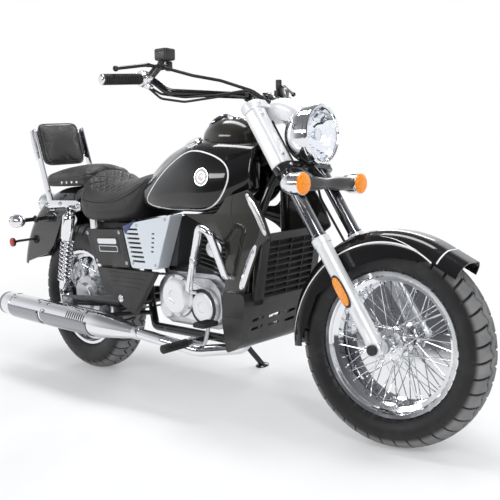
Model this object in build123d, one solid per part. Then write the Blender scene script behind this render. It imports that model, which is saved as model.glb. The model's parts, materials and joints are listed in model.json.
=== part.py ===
from build123d import *
import math
import os

# A mid-size cruiser motorcycle, parked on its side stand with the bars turned
# a little to the left. Every piece is drawn upright and straight ahead in the
# bike's own frame: +X forward, +Y left, +Z up, origin on the floor under the
# rear axle, millimetres. The steered pieces are then turned on the steering
# axis, and the whole machine is leaned onto its stand.

# ---- stance -------------------------------------------------------------
WHEELBASE = 1535.0
RAKE = 32.0            # steering axis, degrees back from upright
FORK_OFFSET = 45.0     # axle ahead of the steering axis
STEER_REST = 7.6       # bars turned to the left when parked, degrees
LOCK = 33.0            # steering stop, each way from straight ahead, degrees
LEAN = 8.0             # lean to the left on the side stand, degrees
GAP = 6.0              # least clearance between moving neighbours
SKIN = 4.0             # fenders and covers, sheet thickness

# ---- wheels -------------------------------------------------------------
FRONT_TYRE_R = 302.0
FRONT_TYRE_HALF = 55.0
FRONT_SEAT_R = 204.0   # bead seat of the rim
REAR_TYRE_R = 307.0
REAR_TYRE_HALF = 66.0
REAR_SEAT_R = 191.0
CROWN_SHARE = 0.26     # flat of the crown, share of the tyre's half-width
RIM_LIP = 11.0         # rim lip above the bead seat
RIM_WALL = 5.0
RIM_WELL = 16.0        # drop centre below the bead seat
FRONT_RIM_HALF = 39.0
REAR_RIM_HALF = 49.0
SPOKES = 40
SPOKE_R = 2.2
AXLE_R = 8.5
AXLE_FIT = 0.05        # running clearance on a pin, radial
FRONT_HUB_R = 34.0
REAR_HUB_R = 78.0
HUB_FLANGE = 12.0      # spoke flange above the hub barrel

# ---- fork ---------------------------------------------------------------
LEG_Y = 100.0
SLIDER_R = 25.0
SLIDER_TOP = 362.0     # distances along the leg from the axle
TUBE_R = 20.5
COVER_R = 30.0
LOWER_YOKE = 600.0
UPPER_YOKE = 826.0
YOKE_THICK = 28.0
STEM_R = 14.0
HEAD_TUBE_R = 29.0
DISC_R = 140.0
DISC_Y = 66.0
DISC_THICK = 4.5
CALIPER_ANGLE = 148.0
REAR_DRUM_R = 88.0

# ---- lamps and bars -----------------------------------------------------
LAMP_RISE = 53.7       # lamp above the lower yoke, along the leg
LAMP_AHEAD = 117.2     # and ahead of the legs
LAMP_R = 93.0
SIGNAL_DROP = 96.9     # signal bar below the lower yoke, along the leg
SIGNAL_AHEAD = 76.2
SIGNAL_Y = 159.0
SIGNAL_R = 34.0
REFLECTOR_DROP = 174.0    # reflector's middle below the slider's top
REFLECTOR_LENGTH = 100.0
REFLECTOR_R = 13.5
SIGNAL_BAR_R = 23.0
BAR_R = 11.0
GRIP_R = 16.5
GRIP_LENGTH = 122.0
BAR_Z = 1050.0
BAR_X = 1043.0
GRIP_END = (838.0, 478.0, 1080.0)    # right and left ends of the bar
LEVER_BALL = (861.0, 445.0, 1113.0)

# ---- body ---------------------------------------------------------------
TANK_HALF = 152.0
TANK_BOTTOM = 686.0
TANK_TOP = 934.0
SEAT_HALF = 178.0
SEAT_TOP = 790.0
SEAT_SKIRT = 643.0
COVER_GAP = 26.0       # side covers below the seat's skirt
PILLION_TOP = 864.0
PAD_WIDTH = 192.0
PAD_HEIGHT = 180.0
PAD_THICK = 46.0
FRONT_FENDER_R = 333.0
FRONT_FENDER_HALF = 68.0
REAR_FENDER_R = 450.0
REAR_FENDER_HALF = 90.0
RAIL_Y = 100.0         # seat rails
RAIL_R = 14.0
RAIL_Z = 693.0
CRADLE_Y = 112.0
CRADLE_Z = 262.0
CRADLE_R = 15.0
SWINGARM_Y = 116.0
SWINGARM_T = 24.0
SWINGARM_H = 44.0
PIVOT_X = 470.0
PIVOT_Z = 345.0
SHOCK_Y = 158.0
SHOCK_R = 29.0
STRUT_Y = 132.0        # inner face of the chrome fender rails
MUFFLER_Y = 192.0
MUFFLER_R = 52.0
COVER_Y = 150.0        # inner face of the side covers
COVER_T = 18.0
RADIATOR_X = 1112.0
PEG_X = 870.0
PEG_Z = 264.0
STAND_X = 640.0
STAND_FOOT_Y = 285.0

rake = math.radians(RAKE)
lean = math.radians(LEAN)
REAR_AXLE = Vector(0, 0, REAR_TYRE_R)
FRONT_AXLE = Vector(WHEELBASE, 0, FRONT_TYRE_R)
UP_LEG = Vector(-math.sin(rake), 0, math.cos(rake))
AHEAD = Vector(math.cos(rake), 0, math.sin(rake))
STEER_FOOT = FRONT_AXLE - AHEAD * FORK_OFFSET
STEER_AXIS = Axis(STEER_FOOT, UP_LEG)


# ---- small makers -------------------------------------------------------
def leg_point(s, y=0.0, ahead=0.0):
    """A point s along the fork leg from the axle, y to the left, ahead of the leg."""
    return FRONT_AXLE + UP_LEG * s + AHEAD * ahead + Vector(0, y, 0)


def rod(start, end, radius):
    """A round bar between two points."""
    start = Vector(start)
    run = Vector(end) - start
    return Solid.make_cylinder(radius, run.length, Plane(start, z_dir=run))


def cone(start, end, radius_a, radius_b):
    """A tapered round bar between two points."""
    start = Vector(start)
    run = Vector(end) - start
    return Solid.make_cone(radius_a, radius_b, run.length, Plane(start, z_dir=run))


def pipe(points, radius, bend, bore=0.0):
    """A bent round tube through points, with one or several bend radii."""
    path = FilletPolyline(*points, radius=bend)
    ring = Circle(radius)
    if bore:
        ring -= Circle(bore)
    return sweep(Plane(path @ 0, z_dir=path % 0) * ring, path=path)


def slab(outline, y_low, y_high, corner=0.0):
    """A side-view outline of (x, z) points, as thick as the two y values."""
    if corner:
        wire = FilletPolyline(*outline, radius=corner, close=True)
    else:
        wire = Polyline(*outline, close=True)
    return extrude(Plane.XZ.offset(-y_high) * make_face(wire), amount=y_high - y_low)


def turned(profile, centre):
    """A full turn of a (y, radius) outline about a wheel's axle."""
    face = Plane.YZ * make_face(Polyline(*profile, close=True))
    return Pos(*centre) * revolve(face, Axis.Y, 360)


def joined(*shapes):
    """Pieces that touch or overlap, as one solid."""
    whole = shapes[0]
    for shape in shapes[1:]:
        whole = whole + shape
    return whole


def polar(centre, angle, radius):
    """A side-view (x, z) point at an angle, in degrees from straight ahead."""
    turn = math.radians(angle)
    return (centre.X + radius * math.cos(turn), centre.Z + radius * math.sin(turn))


def box(low, high):
    """A box between two corners."""
    size = Vector(high) - Vector(low)
    return Pos(*low) * Box(*size, align=(Align.MIN, Align.MIN, Align.MIN))


def pair(shape):
    """A right-hand piece and its mirror image."""
    return [*shape.solids(), *mirror(shape, about=Plane.XZ).solids()]


def clear_of(pieces, *others):
    """The largest solid left of each piece once the others are cut away."""
    kept = []
    for piece in pieces:
        for other in others:
            piece -= other
        kept.append(piece.solids().sort_by(SortBy.VOLUME)[-1])
    return kept


nodes = {}      # name: shape in the bike's upright frame
steered = []    # names of the nodes that turn with the bars


# ---- wheels -------------------------------------------------------------
def tyre(tyre_r, half, seat_r, rim_half, centre):
    """A filled tyre: flat-faced crown, two sidewall faces, beads on the rim's seat."""
    bead = rim_half - RIM_WALL
    lip = seat_r + RIM_LIP
    side = lip + 0.45 * (tyre_r - lip)
    shoulder = lip + 0.78 * (tyre_r - lip)
    crown = tyre_r - 0.1 * (tyre_r - lip)
    half_profile = [          # y, radius
        (bead, seat_r),
        (bead, lip + 1.0),
        (half, side),
        (0.9 * half, shoulder),
        (0.64 * half, crown),
        (CROWN_SHARE * half, tyre_r),
    ]
    return turned(half_profile + [(-y, r) for y, r in reversed(half_profile)], centre)


def rim(seat_r, rim_half, centre):
    """A drop-centre rim of one thickness."""
    well = seat_r - RIM_WELL
    lip = seat_r + RIM_LIP
    outer = [                 # y, radius, on the tyre's side
        (rim_half, lip),
        (rim_half - RIM_WALL, lip),
        (rim_half - RIM_WALL, seat_r),
        (0.55 * rim_half, seat_r),
        (0.35 * rim_half, well),
    ]
    inner = [                 # y, radius, on the hub's side
        (rim_half, lip - RIM_LIP - RIM_WALL),
        (0.6 * rim_half, seat_r - RIM_WALL),
        (0.38 * rim_half, well - RIM_WALL),
    ]
    profile = outer + [(-y, r) for y, r in reversed(outer)]
    profile += [(-y, r) for y, r in inner] + list(reversed(inner))
    return turned(profile, centre)


def laced(hub_r, hub_half, flange_half, seat_r, centre, bore):
    """A hub barrel with two spoke flanges, and spokes laced out to the rim's well."""
    flange_r = hub_r + HUB_FLANGE
    profile = [               # y, radius
        (hub_half, bore),
        (hub_half, hub_r * 0.72),
        (flange_half + 4, hub_r * 0.8),
        (flange_half + 4, flange_r),
        (flange_half - 3, flange_r),
        (flange_half - 7, hub_r),
    ]
    hub = turned(profile + [(-y, r) for y, r in reversed(profile)], Vector(0, 0, 0))
    wires = []
    for k in range(SPOKES):
        side = 1 if k % 2 else -1
        lead = 1 if (k // 2) % 2 else -1
        hub_angle = 360.0 * k / SPOKES
        rim_angle = hub_angle + lead * 38.0
        y_hub = side * (flange_half + (5.5 if lead > 0 else -4.5))
        root = polar(Vector(0, 0, 0), hub_angle, flange_r - 5)
        tip = polar(Vector(0, 0, 0), rim_angle, seat_r - RIM_WELL - 1)
        wires.append(rod((root[0], y_hub, root[1]), (tip[0], side * 5, tip[1]), SPOKE_R))
    well = rod((0, -hub_half - 1, 0), (0, hub_half + 1, 0), seat_r - RIM_WELL - RIM_WALL)
    return Pos(*centre) * (hub.fuse(*wires) & well)


nodes["front_tyre"] = tyre(FRONT_TYRE_R, FRONT_TYRE_HALF, FRONT_SEAT_R, FRONT_RIM_HALF, FRONT_AXLE)
nodes["front_rim"] = rim(FRONT_SEAT_R, FRONT_RIM_HALF, FRONT_AXLE)
nodes["front_hub"] = laced(
    FRONT_HUB_R, DISC_Y - DISC_THICK / 2, 30.0, FRONT_SEAT_R, FRONT_AXLE, AXLE_R + AXLE_FIT
)
nodes["rear_tyre"] = tyre(REAR_TYRE_R, REAR_TYRE_HALF, REAR_SEAT_R, REAR_RIM_HALF, REAR_AXLE)
nodes["rear_rim"] = rim(REAR_SEAT_R, REAR_RIM_HALF, REAR_AXLE)
nodes["rear_hub"] = laced(
    REAR_HUB_R, 62.0, 32.0, REAR_SEAT_R, REAR_AXLE, AXLE_R + AXLE_FIT
)


# ---- where the leaning tyres meet the floor -----------------------------
def lowest(tyre_shape):
    """The lowest z of a tyre once the machine leans."""
    return tyre_shape.rotate(Axis.X, -LEAN).bounding_box().min.Z


rear_low = lowest(nodes["rear_tyre"])
front_low = lowest(nodes["front_tyre"].rotate(STEER_AXIS, STEER_REST))
PITCH = math.degrees(math.atan2(front_low - rear_low, WHEELBASE))


# ---- front wheel and fork -----------------------------------------------
def steer(*names):
    """Names the nodes that turn with the bars."""
    steered.extend(names)


disc_low = DISC_Y - DISC_THICK / 2
disc_high = DISC_Y + DISC_THICK / 2


def ring_plate(inner_r, outer_r, y_low, y_high, centre):
    """A flat ring across the axle."""
    return turned([(y_low, inner_r), (y_high, inner_r), (y_high, outer_r), (y_low, outer_r)], centre)


disc = ring_plate(AXLE_R + 8, DISC_R, disc_low, disc_high, FRONT_AXLE)
window_r = (FRONT_HUB_R + 0.66 * DISC_R) / 2
for k in range(5):
    x, z = polar(FRONT_AXLE, 90 + 72 * k, window_r)
    disc -= rod((x, disc_low - 1, z), (x, disc_high + 1, z), 0.135 * DISC_R)
nodes["brake_disc"] = disc

axle_end = LEG_Y + SLIDER_R + 4
front_axle = rod(
    FRONT_AXLE - Vector(0, axle_end, 0), FRONT_AXLE + Vector(0, axle_end, 0), AXLE_R
)
for side in (-1, 1):
    head = FRONT_AXLE + Vector(0, side * (axle_end - 4), 0)
    front_axle += rod(head, head + Vector(0, side * 10, 0), AXLE_R + 5)
nodes["front_axle"] = front_axle

SLIDER_FOOT = SLIDER_R - 1
legs = []
tubes = []
for side in (-1, 1):
    y = side * LEG_Y
    lug = rod(leg_point(0, y - SLIDER_R), leg_point(0, y + SLIDER_R), SLIDER_FOOT)
    tube = rod(leg_point(SLIDER_TOP - 30, y), leg_point(UPPER_YOKE + YOKE_THICK / 2 + 4, y), TUBE_R)
    collar = rod(leg_point(SLIDER_TOP - 22, y), leg_point(SLIDER_TOP, y), SLIDER_R + 3)
    slider = joined(rod(leg_point(0, y), leg_point(SLIDER_TOP, y), SLIDER_R), lug, collar)
    legs.append(slider - tube - front_axle)
    cover = rod(
        leg_point(LOWER_YOKE + YOKE_THICK / 2, y), leg_point(UPPER_YOKE - YOKE_THICK / 2, y), COVER_R
    )
    tubes.append(tube + cover)
nodes["fork_sliders"] = legs
nodes["fork_tubes"] = tubes


def yoke_plate(s, leg_wall, stem_wall):
    """One yoke: a thick plate drawn tight round both legs and the steering stem."""
    base = Plane(leg_point(s - YOKE_THICK / 2), x_dir=(0, 1, 0), z_dir=UP_LEG)
    eyes = [                  # y, behind the legs, radius
        (-LEG_Y, 0, COVER_R + leg_wall),
        (LEG_Y, 0, COVER_R + leg_wall),
        (0, FORK_OFFSET, STEM_R + stem_wall),
    ]
    rims = [Pos(y, behind) * Edge.make_circle(radius) for y, behind, radius in eyes]
    return extrude(base * make_hull(rims), amount=YOKE_THICK)


stem_low = leg_point(LOWER_YOKE, 0, -FORK_OFFSET)
stem_high = leg_point(UPPER_YOKE, 0, -FORK_OFFSET)
yokes = joined(
    yoke_plate(LOWER_YOKE, 4, 12),
    yoke_plate(UPPER_YOKE, 4, 14),
    rod(stem_low, stem_high, STEM_R),
)
RISER_Y = 44.0
for side in (-1, 1):
    foot = leg_point(UPPER_YOKE, side * RISER_Y, -24)
    yokes += rod(foot, (BAR_X, side * RISER_Y, BAR_Z), 15)
    yokes += rod((BAR_X, side * RISER_Y - 15, BAR_Z), (BAR_X, side * RISER_Y + 15, BAR_Z), BAR_R + 8)
lamp_at = leg_point(LOWER_YOKE + LAMP_RISE, 0, LAMP_AHEAD)
LAMP_X, LAMP_Z = lamp_at.X, lamp_at.Z
signal_at = leg_point(LOWER_YOKE - SIGNAL_DROP, 0, SIGNAL_AHEAD)
SIGNAL_X, SIGNAL_Z = signal_at.X, signal_at.Z
signal_bar_x = SIGNAL_X - 32
yokes += rod(leg_point(LOWER_YOKE, 0, 25), (signal_bar_x, 0, SIGNAL_Z), 13)
yokes += rod(leg_point(LOWER_YOKE, 0, 22), (LAMP_X - 46, 0, LAMP_Z - LAMP_R + 10), 11)

bar_points = []
for side in (-1, 1):
    half_bar = [
        (GRIP_END[0], side * GRIP_END[1], GRIP_END[2]),
        (GRIP_END[0] + 44, side * (GRIP_END[1] - 156), GRIP_END[2] + 13),
        (BAR_X - 108, side * (GRIP_END[1] - 173), BAR_Z),
        (BAR_X, side * (RISER_Y + 32), BAR_Z),
    ]
    bar_points += half_bar if side < 0 else list(reversed(half_bar))
bar = pipe(bar_points, BAR_R, [35, 35, 60, 60, 35, 35])
nodes["handlebar"] = bar


def bulb(length, radius, centre, back):
    """A bullet lamp body: a short drum that closes behind in an elliptic dome."""
    profile = make_face([
        Line((0, 0), (0, radius)),
        Line((0, radius), (-back, radius)),
        EllipticalCenterArc((-back, 0), length - back, radius, start_angle=90, arc_size=90),
        Line((-length, 0), (0, 0)),
    ])
    return Pos(*centre) * revolve(Plane.XZ * profile, Axis.X, 360)


def cap(depth, radius, centre):
    """A shallow lens, bulging ahead along X from a 3 mm edge."""
    rise = depth - 3.0
    dome = (rise ** 2 + radius ** 2) / (2 * rise)
    half_turn = math.asin(radius / dome) / 2
    middle = (depth - dome + dome * math.cos(half_turn), dome * math.sin(half_turn))
    profile = make_face([
        Line((0, 0), (0, radius)),
        Line((0, radius), (3, radius)),
        ThreePointArc((3, radius), middle, (depth, 0)),
        Line((depth, 0), (0, 0)),
    ])
    return Pos(*centre) * revolve(Plane.XZ * profile, Axis.X, 360)


LAMP_DRUM = 24.0       # straight part of the lamp body, behind its rim
LAMP_WALL = 6.0
lamp_centre = Vector(LAMP_X - 4, 0, LAMP_Z)


def bowl(radius):
    """A lamp body: a short drum that closes behind in a half ball."""
    drum = rod(lamp_centre - Vector(LAMP_DRUM, 0, 0), lamp_centre, radius)
    ball = Pos(*(lamp_centre - Vector(LAMP_DRUM, 0, 0))) * Sphere(radius)
    ball &= box(
        lamp_centre - Vector(LAMP_DRUM + radius + 1, radius + 1, radius + 1),
        lamp_centre + Vector(-LAMP_DRUM, radius + 1, radius + 1),
    )
    return drum + ball


lamp_body = bowl(LAMP_R)
nodes["headlamp_shell"] = lamp_body - bowl(LAMP_R - LAMP_WALL)
nodes["headlamp_lens"] = cap(14, LAMP_R - 3, lamp_centre)
yokes -= lamp_body
nodes["nacelle"] = slab(
    [
        (LAMP_X - 164, LAMP_Z + 78),
        (LAMP_X - 164, LAMP_Z + 120),
        (LAMP_X - 104, LAMP_Z + 115),
        (LAMP_X - 42, LAMP_Z + 84),
        (LAMP_X - 60, LAMP_Z + 40),
        (LAMP_X - 125, LAMP_Z + 40),
    ],
    -62, 62,
) - lamp_body - yokes

signal_bar = rod((signal_bar_x, -SIGNAL_Y, SIGNAL_Z), (signal_bar_x, SIGNAL_Y, SIGNAL_Z), SIGNAL_BAR_R)
signals = []
lenses = []
for side in (-1, 1):
    centre = Vector(SIGNAL_X - 8, side * SIGNAL_Y, SIGNAL_Z)
    body = bulb(78, SIGNAL_R, centre, 18)
    signal_bar -= body
    signals.append(body)
    lenses.append(cap(16, SIGNAL_R - 1, centre))
    mark = leg_point(SLIDER_TOP - REFLECTOR_DROP, side * (LEG_Y + SLIDER_R - 1), -4)
    half_mark = UP_LEG * (REFLECTOR_LENGTH / 2)
    lenses.append(rod(mark - half_mark, mark + half_mark, REFLECTOR_R) - legs[0] - legs[1])
nodes["front_signals"] = joined(signal_bar, *signals)
nodes["amber_lenses"] = lenses
yokes = yokes - bar - signal_bar
for tube in tubes:
    yokes -= tube
nodes["yokes"] = yokes


grip_run = (Vector(*bar_points[1]) - Vector(*bar_points[0])).normalized()
grips = []
controls = []
for side in (-1, 1):
    flip = Vector(1, -side, 1)
    end = Vector(GRIP_END[0], side * GRIP_END[1], GRIP_END[2])
    run = Vector(grip_run.X, grip_run.Y * -side, grip_run.Z)
    inner = end + run * GRIP_LENGTH
    grips.append(rod(end, inner, GRIP_R) - rod(end, inner, BAR_R))
    controls.append(rod(end, end - run * 7, GRIP_R))
    perch = inner + run * 25
    pivot = Vector(perch.X + 20, perch.Y - side * 32, perch.Z + 36)
    ball = Vector(LEVER_BALL[0], side * LEVER_BALL[1], LEVER_BALL[2])
    knee = ball + (pivot - ball) * 0.72 + Vector(4, 0, 8)
    group = joined(
        rod(inner, perch, GRIP_R + 9),
        rod(perch - Vector(0, 0, 4), pivot, 13),
        pipe([ball, knee, pivot], 5.5, 60),
        Pos(*ball) * Sphere(9),
        rod(pivot, pivot + Vector(18, -side * 26, 4), 10),
    )
    boss = pivot + Vector(18, -side * 26, 4)
    group += rod(boss - Vector(0, 0, 14), boss + Vector(0, 0, 14), 11)
    group -= rod(boss - Vector(0, 0, 4), boss + Vector(0, 0, 15), 4.25)
    if side < 0:
        cup = Vector(pivot.X + 42, pivot.Y - 15, pivot.Z + 16)
        group += box(cup - Vector(26, 24, 2), cup + Vector(26, 24, 32))
        group += rod(pivot, cup + Vector(-8, 0, 4), 10)
        reservoir_foot = cup
    controls.append(group - bar)
nodes["grips"] = grips
nodes["hand_controls"] = controls

CABLE_R = 5.0
cables = []
for side in (-1, 1):
    cables.append(pipe([
        (BAR_X - 66, side * (RISER_Y + 196), BAR_Z + 52),
        (BAR_X - 20, side * (RISER_Y + 120), BAR_Z + 40),
        (BAR_X + 42, side * (RISER_Y + 40), BAR_Z + 10),
        (LAMP_X - 150, side * 44, LAMP_Z + 98),
    ], CABLE_R, [60, 60]))
cables = clear_of(cables, nodes["nacelle"], nodes["yokes"])

steer(
    "front_axle", "fork_sliders", "fork_tubes", "yokes", "handlebar", "grips", "hand_controls",
    "headlamp_shell", "headlamp_lens", "nacelle", "front_signals",
    "amber_lenses", "front_tyre", "front_rim", "front_hub", "brake_disc",
)


# ---- fenders and brake --------------------------------------------------
def arch(radius, half, corner, inner_r):
    """The outline of a fender across its width: flat crown, round corners, straight sides."""
    outer = FilletPolyline(
        (-half, inner_r), (-half, radius), (half, radius), (half, inner_r), radius=corner
    )
    inset = half - SKIN
    inner = FilletPolyline(
        (-inset, inner_r), (-inset, radius - SKIN), (inset, radius - SKIN), (inset, inner_r),
        radius=corner - SKIN,
    )
    ends = [Line((-half, inner_r), (-inset, inner_r)), Line((half, inner_r), (inset, inner_r))]
    return make_face([*outer.edges(), *inner.edges(), *ends])


def fender(centre, section, angle_low, angle_high, skirt):
    """Sweeps an arch round a centre between two angles, and trims its sides to a skirt line."""
    start = Rot(0, 90 - angle_low, 0) * (Plane.YZ * section)
    swept = Pos(*centre) * revolve(start, Axis.Y, -(angle_high - angle_low))
    trim = [polar(centre, angle, radius) for angle, radius in skirt]
    half = section.bounding_box().max.X + 5
    return swept - slab(trim, -half, half)


FRONT_SKIRT = [    # angle, radius of the lower edge
    (40, 318),
    (58, 292),
    (86, 258),
    (114, 244),
    (150, 262),
    (188, 300),
    (280, 200),
]
front_arch = arch(FRONT_FENDER_R, FRONT_FENDER_HALF, 46, 200)
front_fender = fender(FRONT_AXLE, front_arch, 62, 186, FRONT_SKIRT)
tip_face = Pos(*FRONT_AXLE) * Rot(0, 90 - 62, 0) * (Plane.YZ * front_arch)
tip_run = Vector(math.sin(math.radians(62)), 0, -math.cos(math.radians(62)))
tip = extrude(tip_face, amount=96, dir=tip_run)
tip_trim = [polar(FRONT_AXLE, 64, 285), polar(FRONT_AXLE, 46, 322), polar(FRONT_AXLE, 30, 330), (FRONT_AXLE.X, FRONT_AXLE.Z)]
front_fender += tip - slab(tip_trim, -FRONT_FENDER_HALF - 5, FRONT_FENDER_HALF + 5)
for side in (-1, 1):
    for s in (278, 312):
        front_fender += rod(
            leg_point(s, side * (FRONT_FENDER_HALF - SKIN)), leg_point(s, side * (LEG_Y - 5)), 8
        )
for leg in legs:
    front_fender -= leg
nodes["front_fender"] = front_fender

pad_low = disc_low - GAP
pad_high = disc_high + GAP
caliper_spread = 15.0
caliper_outline = [
    polar(FRONT_AXLE, CALIPER_ANGLE + caliper_spread, 0.62 * DISC_R),
    polar(FRONT_AXLE, CALIPER_ANGLE - caliper_spread, 0.62 * DISC_R),
    polar(FRONT_AXLE, CALIPER_ANGLE - caliper_spread, DISC_R + 20),
    polar(FRONT_AXLE, CALIPER_ANGLE + caliper_spread, DISC_R + 20),
]
caliper = slab(caliper_outline, pad_low - 16, LEG_Y)
caliper -= ring_plate(1, DISC_R + GAP, pad_low, pad_high, FRONT_AXLE)
caliper -= legs[1]
nodes["brake_caliper"] = caliper
hose = pipe([
    leg_point(LOWER_YOKE - YOKE_THICK / 2, LEG_Y - 30, -12),
    leg_point(LOWER_YOKE - 80, LEG_Y - 20, -38),
    leg_point(SLIDER_TOP - 60, LEG_Y - 16, -36),
    polar(FRONT_AXLE, CALIPER_ANGLE, DISC_R + 60)[:1] + (LEG_Y - 14,) + polar(FRONT_AXLE, CALIPER_ANGLE, DISC_R + 60)[1:],
    polar(FRONT_AXLE, CALIPER_ANGLE, DISC_R + 18)[:1] + (LEG_Y - 14,) + polar(FRONT_AXLE, CALIPER_ANGLE, DISC_R + 18)[1:],
], 4.0, [60, 60, 20])
hose = hose - caliper - nodes["yokes"]
nodes["cables"] = [*cables, hose]
steer("front_fender", "brake_caliper", "cables")


# ---- where the side stand turns ------------------------------------------
STAND_PIVOT = Vector(STAND_X, CRADLE_Y + CRADLE_R + 14, CRADLE_Z - 14)
STAND_HEAD_T = 14.0
STAND_PIN_R = 6.0
foot_x = STAND_X + 62
floor_z = rear_low + (front_low - rear_low) * foot_x / WHEELBASE
stand_foot = Vector(foot_x, STAND_FOOT_Y, STAND_FOOT_Y * math.tan(lean) + floor_z / math.cos(lean))
stand_down = (stand_foot - STAND_PIVOT).normalized()
STAND_FOLDED = Vector(-0.96, 0.24, -0.04).normalized()     # the leg's direction when it is up
STAND_TURN = stand_down.cross(STAND_FOLDED).normalized()
STAND_SWING = math.degrees(math.acos(stand_down.dot(STAND_FOLDED)))

# ---- frame --------------------------------------------------------------
head_low = leg_point(LOWER_YOKE + YOKE_THICK / 2 + GAP, 0, -FORK_OFFSET)
head_high = leg_point(UPPER_YOKE - YOKE_THICK / 2 - GAP, 0, -FORK_OFFSET)
head_tube = rod(head_low, head_high, HEAD_TUBE_R)
neck = head_low + (head_high - head_low) * 0.42
throat = head_low + (head_high - head_low) * 0.24
PIVOT = Vector(PIVOT_X, 0, PIVOT_Z)
BACKBONE_R = 26.0
BACKBONE_END = Vector(560, 0, 712)
INNER_Y = 58.0
frame = joined(
    head_tube,
    pipe([neck, (960, 0, 838), BACKBONE_END], BACKBONE_R, 200),
    rod(BACKBONE_END - Vector(0, 60, 0), BACKBONE_END + Vector(0, 60, 0), RAIL_R + 4),
)
for side in (-1, 1):
    frame += pipe([
        throat,
        (1108, side * 34, 762),
        (1058, side * 78, 610),
        (1036, side * CRADLE_Y, 330),
        (985, side * CRADLE_Y, CRADLE_Z),
        (560, side * CRADLE_Y, CRADLE_Z),
        (478, side * INNER_Y, 300),
        (456, side * INNER_Y, 560),
        (430, side * RAIL_Y, RAIL_Z),
    ], CRADLE_R, [60, 90, 60, 40, 60, 60, 60])
    frame += pipe([
        (BACKBONE_END.X, side * 40, BACKBONE_END.Z),
        (470, side * RAIL_Y, RAIL_Z),
        (-150, side * RAIL_Y, RAIL_Z),
    ], RAIL_R, 80)
    frame += rod((PEG_X, side * CRADLE_Y, CRADLE_Z), (PEG_X, side * 232, PEG_Z), 10)
frame += rod((456, -INNER_Y, 560), (456, INNER_Y, 560), RAIL_R)
frame += rod((200, -RAIL_Y, RAIL_Z), (200, RAIL_Y, RAIL_Z), 10)
hanger = rod((482, -(INNER_Y + 4), 296), (330, -(MUFFLER_Y - 26), 288), 9)
frame += hanger
SHOCK_TOP = Vector(120, SHOCK_Y, RAIL_Z)
SHOCK_FOOT = Vector(14, SHOCK_Y, 352)
PIN_R = 7.0
for side in (-1, 1):
    frame += rod(
        (SHOCK_TOP.X, side * RAIL_Y, SHOCK_TOP.Z), (SHOCK_TOP.X, side * (STRUT_Y + 12), SHOCK_TOP.Z), PIN_R
    )
    frame += rod(
        (-78, side * RAIL_Y, RAIL_Z), (-78, side * STRUT_Y, RAIL_Z), 8
    )
frame += rod((STAND_X, CRADLE_Y, CRADLE_Z), STAND_PIVOT - STAND_TURN * 15, 12)
frame += rod(STAND_PIVOT - STAND_TURN * 22, STAND_PIVOT, 15)
stand_pin = rod(STAND_PIVOT - STAND_TURN * 4, STAND_PIVOT + STAND_TURN * (STAND_HEAD_T + 3), STAND_PIN_R)
frame += stand_pin
for side in (-1, 1):
    frame += rod((456, side * INNER_Y, 400), (456, side * (COVER_Y + 2), 400), 8)
frame -= rod(stem_low, stem_high, STEM_R + AXLE_FIT)
frame -= rod((PIVOT_X, -160, PIVOT_Z), (PIVOT_X, 160, PIVOT_Z), 17)
nodes["frame"] = frame

swing = []
for side in (-1, 1):
    low, high = sorted((side * (SWINGARM_Y - SWINGARM_T / 2), side * (SWINGARM_Y + SWINGARM_T / 2)))
    half_h = SWINGARM_H / 2
    arm = slab([
        (-46, REAR_AXLE.Z - half_h),
        (PIVOT_X, PIVOT_Z - half_h),
        (PIVOT_X + 26, PIVOT_Z - 8),
        (PIVOT_X + 26, PIVOT_Z + 8),
        (PIVOT_X, PIVOT_Z + half_h),
        (-46, REAR_AXLE.Z + half_h),
    ], low, high)
    foot_pin = rod((SHOCK_FOOT.X, side * SWINGARM_Y, SHOCK_FOOT.Z), (SHOCK_FOOT.X, side * (SHOCK_Y + 14), SHOCK_FOOT.Z), PIN_R)
    lug = rod((SHOCK_FOOT.X, low, SHOCK_FOOT.Z), (SHOCK_FOOT.X, high, SHOCK_FOOT.Z), 17)
    lug += box((SHOCK_FOOT.X - 17, low, SHOCK_FOOT.Z - 34), (SHOCK_FOOT.X + 17, high, SHOCK_FOOT.Z))
    swing.append(joined(arm, lug, foot_pin))
cross = rod((PIVOT_X, -SWINGARM_Y, PIVOT_Z), (PIVOT_X, SWINGARM_Y, PIVOT_Z), 17)
rear_axle_end = SWINGARM_Y + SWINGARM_T / 2
rear_axle = rod((0, -rear_axle_end - 8, REAR_AXLE.Z), (0, rear_axle_end + 8, REAR_AXLE.Z), AXLE_R)
for side in (-1, 1):
    rear_axle += rod(
        (0, side * rear_axle_end, REAR_AXLE.Z), (0, side * (rear_axle_end + 10), REAR_AXLE.Z), 15
    )
nodes["rear_axle"] = rear_axle
nodes["swingarm"] = joined(*swing, cross) - rear_axle

shocks = []
for side in (-1, 1):
    top = Vector(SHOCK_TOP.X, side * SHOCK_Y, SHOCK_TOP.Z)
    foot = Vector(SHOCK_FOOT.X, side * SHOCK_Y, SHOCK_FOOT.Z)
    run = (top - foot).normalized()
    length = (top - foot).length
    eye = 10.0
    shock = joined(
        rod(foot - Vector(0, eye, 0), foot + Vector(0, eye, 0), 15),
        rod(top - Vector(0, eye, 0), top + Vector(0, eye, 0), 15),
        rod(foot, foot + run * 60, 19),
        rod(foot + run * 60, foot + run * (length - 24), 13),
        rod(foot + run * (length - 120), foot + run * (length - 22), SHOCK_R - 3),
        rod(foot + run * (length - 26), top, 13),
    )
    coils = 9
    pitch = (length - 120 - 52) / coils
    for k in range(coils):
        at = foot + run * (56 + pitch * k)
        shock += rod(at, at + run * (0.5 * pitch), SHOCK_R)
    shocks.append(shock - frame - nodes["swingarm"])

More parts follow.
